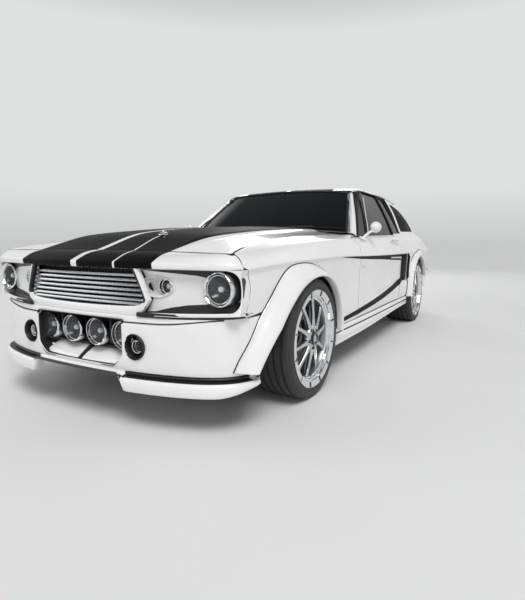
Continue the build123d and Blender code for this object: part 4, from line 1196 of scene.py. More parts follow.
door_glass = glass_sheet(DOOR_GLASS, 14)
handle = joined(
    moved(subdivided("handle", box_sheet(-7, 7, -84, 84, -9, 9, 3), 2), None, (886, 330, 866)),
    moved(subdivided("handle_pad", box_sheet(-12, 6, -18, 18, -6, 6, 2), 2), None, (872, 262, 866)),
    moved(subdivided("handle_pad2", box_sheet(-12, 6, -14, 14, -6, 6, 2), 2), None, (872, 398, 866)),
)
lock = lathe([(0, 6), (9, 6), (11, 4), (13, 1), (13, -4), (0, -4)], 32, "x", (893, -604, 684))
lock2 = lathe([(0, 5), (8, 5), (10, 3), (10, -6), (0, -6)], 28, "x", (874, 430, 832))
gutter = edge_of(DOOR_GLASS, 14)
gutter[:, 0] += 3
door_frame = tube(gutter + np.array([2, 0, 2]), 8, 10)
vent_path = np.array([[805, -262, 886], [784, -208, 958], [748, -140, 1046], [704, -56, 1148], [668, 10, 1222]], float)
vent_path = curve_through(vent_path, 20)
vent_bar = sweep(vent_path, [(-8, -6), (8, -6), (9, 0), (8, 6), (-8, 6), (-9, 0)], up=(1, 0, 0.4))
belt_path = np.array([[belt_x(y) + 4.5, y, float(np.interp(804, [SIDE_AT(y)[0, 8], SIDE_AT(y)[0, 6]], [SIDE_AT(y)[0, 9], SIDE_AT(y)[0, 7]])) + 1.5] for y in np.linspace(-455, 538, 34)])
belt = sweep(belt_path, [(-6, -5), (5, -5), (7, 0), (5, 5), (-6, 6)], up=(0, 0, 1))
inner_wall = []
for y in steps(-628, 535, 60):
    s = SIDE_AT(y)[0]
    inner_wall.append([(798, y, s[9] - 14), (794, y, 880), (788, y, 800), (786, y, 640), (792, y, 600), (792, y, 470), (782, y, 440), (786, y, 340), (800, y, 326)])
door_card = rounded(np.array(inner_wall, float), [0, 14, 30, 16, 14, 16, 18, 10, 0], 30, 4)
card = oriented(grid_sheet(door_card), (-1, 0, 0))
arm = subdivided("armrest", box_sheet(742, 792, -120, 330, 590, 640, 12), 2)
pull = tube(curve_through([(786, 60, 700), (764, 70, 706), (760, 140, 712), (764, 210, 706), (786, 220, 700)], 12), 8, 10)
crank = joined(lathe([(0, 0), (16, 0), (16, 8), (6, 12), (6, 30), (0, 30)], 24, "x", (760, -180, 560)), tube(np.array([(764, -180, 560), (758, -230, 590)], float), 6, 8))


def flip(sheet, left):
    return sheet if left else mirrored(sheet)


for side, left in (("left", True), ("right", False)):
    body = "door_" + side
    panel("door_" + side, flip(DOOR_SHEET, left), body, ("door_" + side,), thick=20, sharp_deg=38, marks=in_band)
    closed, first = skin(flip(card, left), 3, 6)
    piece("door_card_" + side, closed, [TRIM], body, sharp_deg=40)
    piece("door_armrest_" + side, flip(joined(arm, pull), left), [LEATHER], body, sharp_deg=60)
    piece("window_crank_" + side, flip(crank, left), [CHROME], body, sharp_deg=40)
    closed, first = skin(flip(door_glass, left), 1.0, 5)
    piece("side_glass_" + side, closed, [GLASS], body, ("door_glass_" + side,), sharp_deg=45)
    piece("door_handle_" + side, flip(handle, left), [CHROME], body, sharp_deg=50)
    piece("door_lock_" + side, flip(joined(lock, lock2), left), [CHROME], body, sharp_deg=40)
    piece("window_frame_" + side, flip(joined(vent_bar, belt), left), [CHROME], body, sharp_deg=50)
    piece("window_seal_" + side, flip(door_frame, left), [SEAL], body, sharp_deg=50)

# quarter glass, its frame and the drip rail over both windows
quarter_glass = glass_sheet(QUARTER_GLASS, 10)
closed, first = skin(quarter_glass, 1.0, 5)
frame_path = edge_of(QUARTER_GLASS, 10)
low_path = np.array([[773 + 3, y, 932 + (y - 551) * 0.0245] for y in np.linspace(551, 1004, 20)])
quarter_frame = joined(tube(frame_path + np.array([2, 0, 2]), 7, 10), tube(low_path, 7, 10))
piece("quarter_glass", joined(closed, mirrored(closed)), [GLASS], "chassis", ("quarter_glass",), sharp_deg=45)
piece("quarter_window_frame", joined(quarter_frame, mirrored(quarter_frame)), [BLACK], "chassis", sharp_deg=50)
drip = []
for y in steps(-90, 1120, 30):
    xe_, ze_, _ = ROOF_AT(y)[0]
    drip.append((xe_ + 13, y, ze_ - 14))
drip = [(732, -480, 934), (700, -400, 998), (660, -290, 1078), (622, -180, 1158)] + drip
drip = curve_through(np.array(drip, float), 24)
drip_s = sweep(drip, [(-5, -4), (6, -5), (9, 0), (7, 4), (4, 1), (-5, 3)], up=(0, 0, 1))
piece("drip_rails", joined(drip_s, mirrored(drip_s)), [CHROME], "chassis", sharp_deg=40)

# roof's inner rail above the side glass, so that the cabin is closed
rail_g = []
for y in steps(-60, 1120, 40):
    xe_, ze_, _ = ROOF_AT(y)[0]
    rail_g.append([(xe_ + 8, y, ze_ - 18), (xe_ - 14, y, ze_ - 34), (xe_ - 44, y, ze_ - 30), (xe_ - 70, y, ze_ - 16)])
headliner_side = rounded(np.array(rail_g, float), [0, 10, 12, 0], 20, 4)
lin = oriented(grid_sheet(headliner_side), (0, 0, -1))
ys = steps(-60, 1180, 40)
xe_, ze_, zm_ = ROOF_AT(ys).T
g = np.stack([np.stack([(xe_ - 68) * u, ys, (zm_ - 30) - (zm_ - ze_ - 12) * u * u - 6], axis=1) for u in np.linspace(-1, 1, 25)], axis=1)
liner = oriented(grid_sheet(g), (0, 0, -1))
cl, _ = skin(joined(liner), 0, 4)
c2, _ = skin(joined(lin), 0, 3)
piece("headliner", joined(cl, c2, mirrored(c2)), [HEADLINER], "chassis", sharp_deg=40)

# ------------------------------------------------------------------ windscreen and rear glass
def screen_sheet():
    xs = np.array([r[0] for r in SCREEN], float)
    r = np.array(SCREEN, float)
    full = np.vstack([r[:0:-1] * np.array([-1, 1, 1, -1, 1, 1]), r])
    s = full[:, 0]
    at = spline(s, full)
    u = steps(-704, 704, 24)
    rr = at(u)
    rows = []
    for t in np.linspace(0, 1, 22):
        p = rr[:, :3] * (1 - t) + rr[:, 3:] * t
        b = 4 * t * (1 - t) * 9
        p[:, 1] -= b * 0.7
        p[:, 2] += b * 0.7
        rows.append(p)
    return oriented(grid_sheet(np.stack(rows, axis=1)), (0, -0.5, 0.8)), rr


screen, foot_head = screen_sheet()
closed, _ = skin(screen, 1.0, 5)
piece("windshield", closed, [GLASS], "chassis", ("windshield",), sharp_deg=45)
rr = foot_head
top_line = rr[:, 3:] + np.array([0, -2, 3])
foot_line = rr[:, :3] + np.array([0, -4, 3])
side_l = np.array([foot_line[-1] * (1 - t) + top_line[-1] * t + np.array([0, -6.3, 6.3]) * 4 * t * (1 - t) for t in np.linspace(0, 1, 20)])
loop = np.vstack([foot_line, side_l[1:-1], top_line[::-1], (side_l * np.array([-1, 1, 1]))[::-1][1:-1]])
trim = sweep(loop, [(-9, -4), (9, -4), (10, 1), (6, 4), (-6, 4), (-10, 1)], up=(0, -0.6, 0.8), closed=True, cap=False)
piece("windshield_trim", trim, [BLACK], "chassis", sharp_deg=40)

ys = steps(1178, 1808, 24)
rt = ROOF_AT(ys)
w_ = rt[:, 0] - 4
cols = [(w_ * u, rt[:, 2] - 3 - (rt[:, 2] - rt[:, 1] - 4) * abs(u) ** 2.4) for u in np.linspace(-1, 1, 31)]
g = np.stack([np.stack([x, ys, z], axis=1) for x, z in cols], axis=1)
back_glass = oriented(grid_sheet(g), (0, 0.3, 0.8))
closed, _ = skin(keep_low(back_glass, lambda p: 1196 - p[:, 1], lambda p: p[:, 1] - 1794, lambda p: np.abs(p[:, 0]) - ROOF_AT(p[:, 1])[:, 0] + 16), 1.0, 5)
piece("rear_window", closed, [GLASS], "chassis", ("rear_window",), sharp_deg=45)
def glass_z(x, y):
    r = ROOF_AT(y)[0]
    return r[2] - 3 - (r[2] - r[1] - 4) * abs(x / (r[0] - 4)) ** 2.4
edge = [(x, 1190, glass_z(x, 1190) + 1) for x in np.linspace(-586, 586, 30)] + [(ROOF_AT(y)[0, 0] - 12, y, glass_z(ROOF_AT(y)[0, 0] - 12, y) + 1) for y in np.linspace(1206, 1786, 26)]
edge += [(x, 1800, glass_z(x, 1800) + 1) for x in np.linspace(626, -626, 32)] + [(-ROOF_AT(y)[0, 0] + 12, y, glass_z(ROOF_AT(y)[0, 0] - 12, y) + 1) for y in np.linspace(1786, 1206, 26)]
trim = sweep(np.array(edge, float), [(-8, -4), (8, -4), (9, 1), (5, 4), (-5, 4), (-9, 1)], up=(0, 0.35, 1), closed=True, cap=False)
piece("rear_window_trim", trim, [BLACK], "chassis", sharp_deg=40)
# sail's inner return beside the rear glass
ret = []
for y in steps(1176, 1868, 24):
    mx, mz, hx_, hz_ = [float(q[0]) for q in quarter_top(np.array([y]))]
    r = ROOF_AT(y)[0]
    ret.append([(hx_, y, hz_), (r[0] + 2, y, r[1] + 1), (r[0] - 8, y, r[1] + 3), (r[0] - 12, y, r[1] - 10)])
ret = rounded(np.array(ret, float), [0, 5, 3, 0], 8, 4)
sheet = oriented(grid_sheet(ret), (0, 0, 1))
both_sides("sail_edge", sheet, roll=0.6, thick=5, sharp_deg=50)

# ------------------------------------------------------------------ louvred vents in the sails
def on_sail(y, z, inset=0.0):
    """Point on the sail's outer face at (y, z)."""
    s = SIDE_AT(y)[0]
    mx, mz, hx_, hz_ = [float(q[0]) for q in quarter_top(np.array([y]))]
    x = np.interp(z, [s[9], mz, hz_], [s[8], mx, hx_])
    return np.array([x - inset * 0.86, y, z - inset * 0.5])


yy = steps(840, 1520, 22)
tray = []
for y in yy:
    s = SIDE_AT(y)[0]
    mx, mz, hx_, hz_ = [float(q[0]) for q in quarter_top(np.array([y]))]
    zs_ = np.linspace(s[9] + 6, hz_ - 4, 16)
    tray.append([on_sail(y, z, 24) for z in zs_])
tray = oriented(grid_sheet(np.array(tray)), (1, 0, 0.4))
tray = keep_low(tray, lambda p: sdf(VENT, p[:, 1:3]) - 22)
closed, _ = skin(tray, 0, 3)
slats = []
for k in range(13):
    t = (k + 0.5) / 13
    # slats lean with the vent's front edge
    y_low, z_low = 952 + (1590 - 952) * t, 966.0
    y_up = 890 + (1560 - 890) * t
    z_up = float(np.interp(y_up, VENT[:7, 0], VENT[:7, 1])) - 6
    line = [on_sail(y_up + (y_low - y_up) * q, z_up + (z_low - z_up) * q, 9) for q in np.linspace(0, 1, 12)]
    slats.append(sweep(np.array(line), [(-13, -6), (-11, -8), (13, 4), (12, 7), (10, 7), (-13, -3)], up=(1, 0, 0.5)))
piece("sail_vents", joined(closed, mirrored(closed)), [BLACK], "chassis", sharp_deg=40)
sl = joined(*slats)
piece("sail_vent_louvres", joined(sl, mirrored(sl)), [GLOSSBLACK], "chassis", sharp_deg=40)

# ------------------------------------------------------------------ cowl with its grille of slots, and wipers
xs = steps(-750, 750, 25)
fa = FOOT_AT(np.clip(xs, -704, 704))
fy = np.where(np.abs(xs) > 704, fa[:, 0] + (np.abs(xs) - 704) * 0.8, fa[:, 0])
fz = np.where(np.abs(xs) > 704, fa[:, 1] - (np.abs(xs) - 704) * 0.25, fa[:, 1])
hw, he, hm = HOOD_AT(np.full(len(xs), -716.0)).T
hz0 = he + (hm - he) * (1 - (np.abs(xs) / 755) ** 1.8) - 2
rows = []
for t, dz in ((0, -16), (0.0, 0), (0.35, -5), (0.75, -10), (1.0, -11), (1.12, -18)):
    rows.append(np.stack([xs, -708 + (fy + 8 + 708) * t, hz0 * (1 - min(t, 1)) + (fz + dz * 0) * min(t, 1) + dz], axis=1))
g = rounded(np.stack(rows, axis=1), [0, 6, 30, 30, 8, 0], 26, 3)
cowl = oriented(grid_sheet(g), (0, 0, 1))
closed, _ = skin(cowl, 1.5, 5)
piece("cowl", closed, [BLACK], "chassis", ("cowl",), sharp_deg=40)
slots = []
for x in np.arange(-560, 561, 22.0):
    f = FOOT_AT(x)[0]
    z0 = float(np.interp(abs(x), [0, 755], [951, 912]))
    slots.append(box_sheet(x - 6, x + 6, -694, -694 + (f[0] + 694) * 0.5 - 4, z0 - 8, z0 - 1.5, 1))
piece("cowl_slots", joined(*slots), [GLOSSBLACK], "chassis", sharp_deg=40)
wipers = []
for x0, dx in ((-300, 470), (230, 440)):
    f = FOOT_AT(x0)[0]
    piv = np.array([x0, f[0] - 22, f[1] + 2])
    wipers.append(lathe([(0, 14), (10, 12), (13, 4), (14, -12), (0, -12)], 24, "z", tuple(piv)))
    tip_x = x0 + dx
    ft = FOOT_AT(tip_x)[0]
    pts = [piv + (0, 0, 10), piv + (60, 10, 18), np.array([tip_x - 190, FOOT_AT(tip_x - 190)[0][0] + 18, FOOT_AT(tip_x - 190)[0][1] + 30])]
    wipers.append(tube(curve_through(np.array(pts), 12), 4.5, 8))
    blade = [np.array([x, FOOT_AT(x)[0][0] + 14 + (x - x0 - 60) * 0.035, FOOT_AT(x)[0][1] + 17 + (x - x0 - 60) * 0.022]) for x in np.linspace(x0 + 60, tip_x, 22)]
    wipers.append(sweep(np.array(blade), [(-2, -8), (2, -8), (4, 0), (3, 6), (-3, 6), (-4, 0)], up=(0, -0.6, 0.8)))
piece("wipers", joined(*wipers), [BLACK], "chassis", sharp_deg=50)

# ------------------------------------------------------------------ door mirrors
shell = []
for y, r in ((-430, 4), (-428, 20), (-420, 36), (-405, 50), (-385, 59), (-362, 61), (-350, 60)):
    shell.append((r, y))
mir = lathe([(0, -424.4), (3, -424), (13, -422), (25, -414), (34, -400), (39, -384), (41, -366), (41, -354), (39, -351), (37, -354), (36, -362), (36, -364), (0, -364)], 48, "y", (897, 0, 966))
mir_glass = lathe([(0, -360), (22, -360.4), (36, -362), (36, -363), (0, -362)], 48, "y", (897, 0, 966))
stalk = tube(curve_through([(844, -492, 884), (853, -482, 899), (868, -446, 922), (882, -402, 938)], 6), 9, 14)
base = moved(subdivided("mbase", box_sheet(-26, 26, -34, 34, -6, 6, 3), 2), Matrix.Rotation(math.radians(28), 3, "Y"), (845, -490, 884))
for side, left in (("left", True), ("right", False)):
    v_, f_ = flip(joined(mir, stalk, base), left)
    piece("mirror_" + side, (v_, f_), [PAINT], "door_" + side, ("mirror_" + side,), sharp_deg=50)
    piece("mirror_glass_" + side, flip(mir_glass, left), [MIRROR], "door_" + side, sharp_deg=50)


# ------------------------------------------------------------------ nose: side caps, lamp trays, lamps
# front edge of the nose in plan, under the header. columns: x, y
NOSE = [(385, -2264), (500, -2244), (600, -2224), (700, -2196), (780, -2164), (826, -2132), (846, -2098), (855, -2060)]
_np = np.array(NOSE, float)
_ns = np.concatenate([[0], np.cumsum(np.linalg.norm(np.diff(_np, axis=0), axis=1))])
NOSE_AT = spline(_ns, _np)
_nf = NOSE_AT(np.linspace(0, _ns[-1], 300))
nose_y = lambda x: np.interp(np.abs(x), _nf[:, 0], _nf[:, 1])
LIP_Z = lambda x: np.interp(np.abs(x), [385, 600, 811, 860], [547, 553, 560, 562])


def arc_sheet(points_by_station, setbacks, step, direction, arc=3):
    return oriented(grid_sheet(rounded(np.array(points_by_station, float), setbacks, step, arc)), direction)


# side cap: from the fender round to the thin rim beside the outer lamp
cap = []
for t in np.linspace(0, 1, 29):
    z = 742 - (742 - 553) * t
    bow = 20 * math.sin(math.pi * min(1.0, t)) ** 1.2
    q = min(1.0, max(0.0, (abs(z - 651) - 44) / 47.0))
    rx = 851 - 46 * (1 - math.sqrt(max(0.0, 1 - q * q)))
    ry = -2157 + bow - (851 - rx) * 0.42
    yj = float(NOSE_JOINT(z)) - GAP
    x_a, x_b = float(side_x(yj, z)[0]), float(side_x(-2118, z)[0])
    cap.append([(x_a, yj, z), (x_b + 1, -2120, z), (856, -2153 + bow, z), (rx, ry, z), (rx - 5, ry + 6, z), (rx - 11, -2056, z)])
cap = arc_sheet(cap, [0, 20, 3, 2.5, 3, 0], 12, (1, -0.3, 0))
# tray round the lamps, set back behind the lips, with a channel along its foot
tray = []
for x in steps(352, 846, 13):
    y = float(nose_y(x))
    back = 48 if x < 800 else 48 + (x - 800) * 0.5
    zl_ = float(LIP_Z(x))
    tray.append([(x, y + 4, zl_ - 15), (x, y - 1, zl_ - 12), (x, y - 1, zl_ - 2), (x, y + 5, zl_ + 3), (x, y + 14, zl_ - 9), (x, y + back - 10, zl_ - 9), (x, y + back, zl_ + 4), (x, y + back, 722), (x, y + back - 14, 741)])
tray = arc_sheet(tray, [0, 3, 3, 4, 5, 8, 12, 16, 0], 17, (0, -1, 0))
LO, LI = (750, 660), (446, 662)
tray = keep_low(
    tray,
    lambda p: np.where(p[:, 2] > LIP_Z(p[:, 0]) + 6, 71 - np.hypot(p[:, 0] - LO[0], p[:, 2] - LO[1]), -1.0),
    lambda p: 1 - np.hypot((p[:, 0] - LI[0]) / 86.0, (p[:, 2] - LI[1]) / 44.0),
    lambda p: np.interp(p[:, 2], [520, 548, 604, 748], [378, 394, 430, 374]) - p[:, 0],
)
# the tray's top under the header lip and its foot in the channel behind the lower lip are black: painted shade
painted_shade_top = lambda x: np.interp(x, [380, 480, 560, 640, 700, 760, 840], [737, 728, 722, 716, 704, 702, 702])
painted_shade_foot = lambda x: np.interp(x, [380, 440, 520, 600, 680, 740, 840], [548, 552, 572, 586, 592, 600, 604])
inside_tray = lambda m: (m[:, 1] > nose_y(m[:, 0]) + 8) & (m[:, 2] > LIP_Z(m[:, 0]) - 12)
tray = score(tray, lambda p: p[:, 2] - painted_shade_top(p[:, 0]), lambda p: painted_shade_foot(p[:, 0]) - p[:, 2], lambda p: nose_y(p[:, 0]) + 8 - p[:, 1])
closed_t, ft = skin(tray, 1.2, 5)
tm_ = np.array([closed_t[0][list(f)].mean(0) for f in closed_t[1][:ft]])
tray_painted_shade = inside_tray(tm_) & ((tm_[:, 2] > painted_shade_top(tm_[:, 0])) | (tm_[:, 2] < painted_shade_foot(tm_[:, 0])))
closed_c, fc = skin(cap, 0.6, 2)
nose = joined(closed_t, closed_c)
fm = [2 if d_ else 0 for d_ in tray_painted_shade] + [1] * (len(closed_t[1]) - ft) + [0] * fc + [1] * (len(closed_c[1]) - fc)
both = joined(nose, mirrored(nose))
piece("headlamp_panels", both, [PAINT, UNDER_AND_GAP_SHADE, BLACK], "chassis", ("headlamp_panels",), fm + fm, sharp_deg=38)

# outer lamps: ring, reflector, bulb and lens
def lamp_parts(x, z, y, r, flare_r):
    ring = lathe([(r + flare_r, y + 34), (r + flare_r, y + 8), (r + flare_r - 2, y), (r + flare_r - 6, y - 4), (r + flare_r * 0.55, y - 5), (r + 3, y + 3), (r + 1, y + 9), (r - 2, y + 10), (r - 3, y + 16)], 72, "y", (x, 0, z), True)
    bowl = lathe([(r - 2, y + 14)] + [((r - 3) * math.sqrt(max(0.0, 1 - t)), y + 16 + 40 * t) for t in np.linspace(0.02, 0.94, 9)] + [(10, y + 56), (0, y + 56), (0, y + 60), (14, y + 60)] + [((r - 3) * math.sqrt(1 - t) + 2.5, y + 18.5 + 40 * t) for t in (0.85, 0.6, 0.3)] + [(r + 0.5, y + 15)], 52, "y", (x, 0, z), True)
    lens = lathe([(0, y - 7), (r * 0.3, y - 6.2), (r * 0.6, y - 3.2), (r * 0.85, y + 1.8), (r - 1, y + 6), (r - 1, y + 9), (r * 0.8, y + 6), (r * 0.5, y + 1), (0, y - 3)], 56, "y", (x, 0, z))
    bulb = lathe([(0, y + 16), (9, y + 17), (13, y + 22), (13, y + 34), (9, y + 50), (0, y + 52)], 28, "y", (x, 0, z))
    return ring, bowl, lens, bulb


rings, bowls, lenses, bulbs, blacks = [], [], [], [], []
ring, bowl, lens, bulb = lamp_parts(LO[0], LO[1], -2166, 61, 18)
rings.append(ring)
bowls.append(bowl)
lenses.append(lens)
bulbs.append(bulb)
# black well the outer lamp stands in: painted shade on the recess's side wall
blacks.append(lathe([(77, -2142), (80, -2130), (82, -2104), (60, -2100), (60, -2096), (84, -2100), (84, -2132), (80, -2144)], 64, "y", (LO[0], 0, LO[1]), True))
# oval bowl of the inner lamp
g = []
for a in np.linspace(0, 2 * math.pi, 65)[:-1]:
    c, s_ = math.cos(a), math.sin(a)
    row = []
    for rx, rz, dy in ((92, 49, -3), (89, 46.5, -6), (85, 43, -4), (81, 40, 4), (73, 35, 24), (52, 26, 40), (20, 10, 46)):
        x = LI[0] + rx * c
        row.append((x, float(nose_y(LI[0] + 90 * c)) + 50 + dy - 3, LI[1] + rz * s_))
    g.append(row)
g.append(g[0])
oval = weld(oriented(grid_sheet(np.array(g)), (0, -1, 0)))
closed_o, fo = skin(oval, 0.8, 3)
ring2, bowl2, lens2, bulb2 = lamp_parts(LI[0] + 44, LI[1] + 2, -2196, 30, 8)
rings.append(ring2)
bowls.append(bowl2)
lenses.append(lens2)
bulbs.append(bulb2)
def two(*s):
    j = joined(*s)
    return joined(j, mirrored(j))
piece("headlamp_rings", two(*rings), [CHROME], "chassis", ("headlamps",), sharp_deg=50)
piece("headlamp_reflectors", two(*bowls), [REFLECTOR], "chassis", sharp_deg=50)
piece("headlamp_lenses", two(*lenses), [LENS], "chassis", sharp_deg=50)
piece("headlamp_bulbs", two(*bulbs), [FROST], "chassis", sharp_deg=50)
piece("headlamp_wells", two(*blacks), [BLACK], "chassis", sharp_deg=50)
piece("inner_lamp_bowls", two(closed_o), [PAINT], "chassis", sharp_deg=60)

# ------------------------------------------------------------------ grille: surround, bars, backing
def poly_ring(outer, inner, y_front, depth, bow=0.0, roll=3.0):
    """Frame between two outlines of the same count in x and z, with soft edges."""
    o, i = np.array(outer, float), np.array(inner, float)
    n = len(o)
    def yy_(p, d):
        return y_front + d + bow * (np.abs(p[:, 0]) / 400.0) ** 2
    c = (o + i) / 2
    rows = []
    for p, d in ((o, depth), (o, roll), (o + (c - o) * 0.12, 0.6), (c, -1.0), (i + (c - i) * 0.12, 0.6), (i, roll), (i, depth)):
        rows.append(np.stack([p[:, 0], yy_(p, d), p[:, 1]], axis=1))
    g = np.stack(rows, axis=1)
    return g


# U-shaped surround whose ends point outwards. left half, columns: outer x, z | inner x, z
U = [(378, 748, 346, 748), (400, 696, 373, 696), (424, 634, 402, 636), (438, 604, 411, 606), (432, 592, 404, 592), (412, 566, 392, 584), (386, 531, 360, 576), (300, 524, 300, 572), (150, 520, 150, 569), (0, 518, 0, 568)]
U_full = U + [(-a, b, -c, d) for a, b, c, d in U[-2::-1]]
dense = []
for a, b in zip(U_full, U_full[1:]):
    n = max(1, int(math.hypot(b[0] - a[0], b[1] - a[1]) / 16))
    for k in range(n):
        dense.append(tuple(p + (q - p) * k / n for p, q in zip(a, b)))
dense.append(U_full[-1])
g = poly_ring([(d[0], d[1]) for d in dense], [(d[2], d[3]) for d in dense], -2280, 22, 24, 3)
sur = oriented(grid_sheet(g), (0, -1, 0))
closed, _ = skin(sur, 0.8, 3)
# the half of the frame next to the bars is black, painted shade on the recess wall, save along the foot
u_out = np.array([(d[0], d[1]) for d in dense], float)
u_in = np.array([(d[2], d[3]) for d in dense], float)
sur_mid = np.array([closed[0][list(f)].mean(0) for f in closed[1]])
sur_painted_shade = (np.abs(sdf(u_in, sur_mid[:, [0, 2]])) < np.abs(sdf(u_out, sur_mid[:, [0, 2]]))) & (sur_mid[:, 2] > 592)
line = []
for x in steps(-362, 362, 12):
    line.append([(x, -2287 + 24 * (x / 400) ** 2, z) for z in (541, 543.5, 546, 548.5, 551)])
ys_bar = []
bars = []
for k, z in enumerate((712, 690, 668, 646, 624, 602, 584)):
    half = float(np.interp(z, [528, 604, 748], [392, 408, 344])) - 6
    path = np.array([(x, -2252 + 20 * (x / 400) ** 2, z) for x in np.linspace(-half, half, 40)])
    bars.append(sweep(path, [(-16, -2.5), (-13, -5.5), (0, -7), (9, -5.5), (13, 0), (9, 5.5), (0, 7), (-13, 5.5), (-16, 2.5)], up=(0, 0, 1)))
mesh_lines = []
for x in np.arange(-396, 397, 22.0):
    hz = float(np.interp(abs(x), [344, 408], [740, 612]))
    mesh_lines.append(box_sheet(x - 1.5, x + 1.5, -2222 + 20 * (x / 400) ** 2, -2216 + 20 * (x / 400) ** 2, 560, hz, 0.5))
back = oriented(grid_sheet(np.array([[(x, -2206 + 20 * (x / 400) ** 2, z) for z in (520, 600, 680, 745)] for x in np.linspace(-420, 420, 30)])), (0, -1, 0))
back = keep_low(back, lambda p: np.abs(p[:, 0]) - np.interp(p[:, 2], [520, 600, 748], [386, 424, 360]))
closed_b, _ = skin(back, 0, 4)
piece("grille", joined(*bars), [GRILLE_BAR], "chassis", ("grille",), sharp_deg=35)
piece("grille_surround", closed, [PAINT, BLACK], "chassis", face_mat=[1 if d_ else 0 for d_ in sur_painted_shade], sharp_deg=38)
piece("grille_backing", joined(closed_b, *mesh_lines), [BLACK], "chassis", sharp_deg=35)

# ------------------------------------------------------------------ front valance with the air dam
def plan_frames(us):
    p = VALANCE_AT(us)
    d = VALANCE_AT(us + 1.0) - VALANCE_AT(us - 1.0)
    d[us < 1.0] = (1, 0)
    d /= np.linalg.norm(d, axis=1)[:, None]
    nrm = np.stack([d[:, 1], -d[:, 0]], axis=1)
    return p, nrm


us = steps(0, _vs[-1], 16)
p, nrm = plan_frames(us)
p[:, 0][us < 1] = 0
# columns: z, outward offset of the wall
WALL = [(531, -30), (528, -17), (504, -14), (499, -13), (494, 0), (470, 1), (400, 1), (320, 0), (292, -3), (280, -5)]
cols = []
merge = smooth((p[:, 0] - 470) / 330)
for z, off in WALL:
    o = np.where(np.full(len(us), 490 < z < 530), off * (1 - merge) - 1.0 * merge, off)
    q = p + nrm * o[:, None]
    zz = np.full(len(us), float(z))
    if 490 < z < 510:
        zz = z * (1 - merge) + (524 + (z - 494) * 0.3) * merge
    if z > 490:
        zz = zz + 4 * smooth((p[:, 0] - 560) / 300)
    cols.append(np.stack([q[:, 0], q[:, 1], zz], axis=1))
g = rounded(np.stack(cols, axis=1), [0, 3, 5, 3, 3, 30, 60, 30, 10, 0], 17, 3)
val = oriented(grid_sheet(g), (0.5, -1, 0))


def round_rect(p, cx, cz, hx, hz, r):
    dx = np.abs(p[:, 0] - cx) - hx + r
    dz = np.abs(p[:, 2] - cz) - hz + r
    return np.hypot(np.maximum(dx, 0), np.maximum(dz, 0)) + np.minimum(np.maximum(dx, dz), 0) - r


MOUTH = np.array([(-304, 512), (304, 512), (306, 420), (304, 345), (246, 293), (-246, 293), (-304, 345), (-306, 420)], float)
MOUTH = np.vstack([MOUTH])
_m = []
for a, b, c in zip(np.roll(MOUTH, 1, 0), MOUTH, np.roll(MOUTH, -1, 0)):
    r_ = 16
    u1, u2 = (a - b) / np.linalg.norm(a - b), (c - b) / np.linalg.norm(c - b)
    for t in np.linspace(0, 1, 6):
        _m.append((b + u1 * r_) * (1 - t) ** 2 + b * 2 * t * (1 - t) + (b + u2 * r_) * t * t)
MOUTH = np.array(_m)
FOG = (372, 394)
val = keep_low(
    val,
    lambda p: 1.5 - sdf(MOUTH, p[:, [0, 2]]),
    lambda p: np.where(p[:, 1] < -2200, 57 - np.hypot(np.abs(p[:, 0]) - FOG[0], p[:, 2] - FOG[1]), -1.0),
    lambda p: 16 - sdf(FRONT_HOLE, p[:, 1:3]),
)
v_, f_ = joined(val, mirrored(val))
v_[np.abs(v_[:, 0]) < 0.02, 0] = 0
val_closed, fv = skin(weld((v_, f_), 0.01), 2.0, 5)
piece("front_valance", val_closed, [PAINT, UNDER_AND_GAP_SHADE], "chassis", ("front_valance",), [0] * fv + [1] * (len(val_closed[1]) - fv), sharp_deg=38)

# dark joint between the nose and the valance with a bright bead in it, and a fine bead in the crease
gasket, bead, fine = [], [], []
for u in steps(float(np.interp(384, _vf[:, 0], np.linspace(0, _vs[-1], 400))), float(np.interp(852, _vf[:, 0], np.linspace(0, _vs[-1], 400))), 16):
    pp, nn = plan_frames(np.array([u, u]))
    pp, nn = pp[0], nn[0]
    rise = 10 * float(smooth((pp[0] - 560) / 300))
    gasket.append((pp[0] + nn[0] * -17, pp[1] + nn[1] * -17, 541 + rise * 0.6))
    if 470 < pp[0] < 845:
        bead.append((pp[0] + nn[0] * -7, pp[1] + nn[1] * -7, 540 + rise * 0.6))
for u in steps(float(np.interp(306, _vf[:, 0], np.linspace(0, _vs[-1], 400))), float(np.interp(770, _vf[:, 0], np.linspace(0, _vs[-1], 400))), 16):
    pp, nn = plan_frames(np.array([u, u]))
    pp, nn = pp[0], nn[0]
    m_ = float(smooth((pp[0] - 470) / 330))
    fine.append((pp[0] + nn[0] * (-12 * (1 - m_) - 1), pp[1] + nn[1] * (-12 * (1 - m_) - 1), 501.5 * (1 - m_) + 526 * m_ + 4 * float(smooth((pp[0] - 560) / 300))))
gasket = sweep(np.array(gasket), [(-14, -9), (8, -9), (10, 0), (8, 9), (-14, 9)], up=(0, 0, 1))
bead = tube(np.array(bead), 2.6, 8)
fine = tube(np.array(fine), 3.2, 8)
piece("nose_joint_seal", joined(gasket, mirrored(gasket), fine, mirrored(fine)), [SEAL], "chassis", sharp_deg=40)
piece("nose_joint_bead", joined(bead, mirrored(bead)), [CHROME], "chassis", sharp_deg=50)

# return wall round the mouth
mo = [(x, z) for x, z in MOUTH] + [tuple(MOUTH[0])]
g = []
for x, z in mo:
    y = float(np.interp(abs(x), _vf[:, 0], _vf[:, 1]))
    g.append([(x, y + 1, z), (x, y + 16, z), (x, y + 60, z)])
mouth_wall = oriented(grid_sheet(np.array(g)), (0, 0, 0))
closed_m, _ = skin(weld(mouth_wall), 0.5, 3)
piece("mouth_liner", closed_m, [BLACK], "chassis", sharp_deg=40)
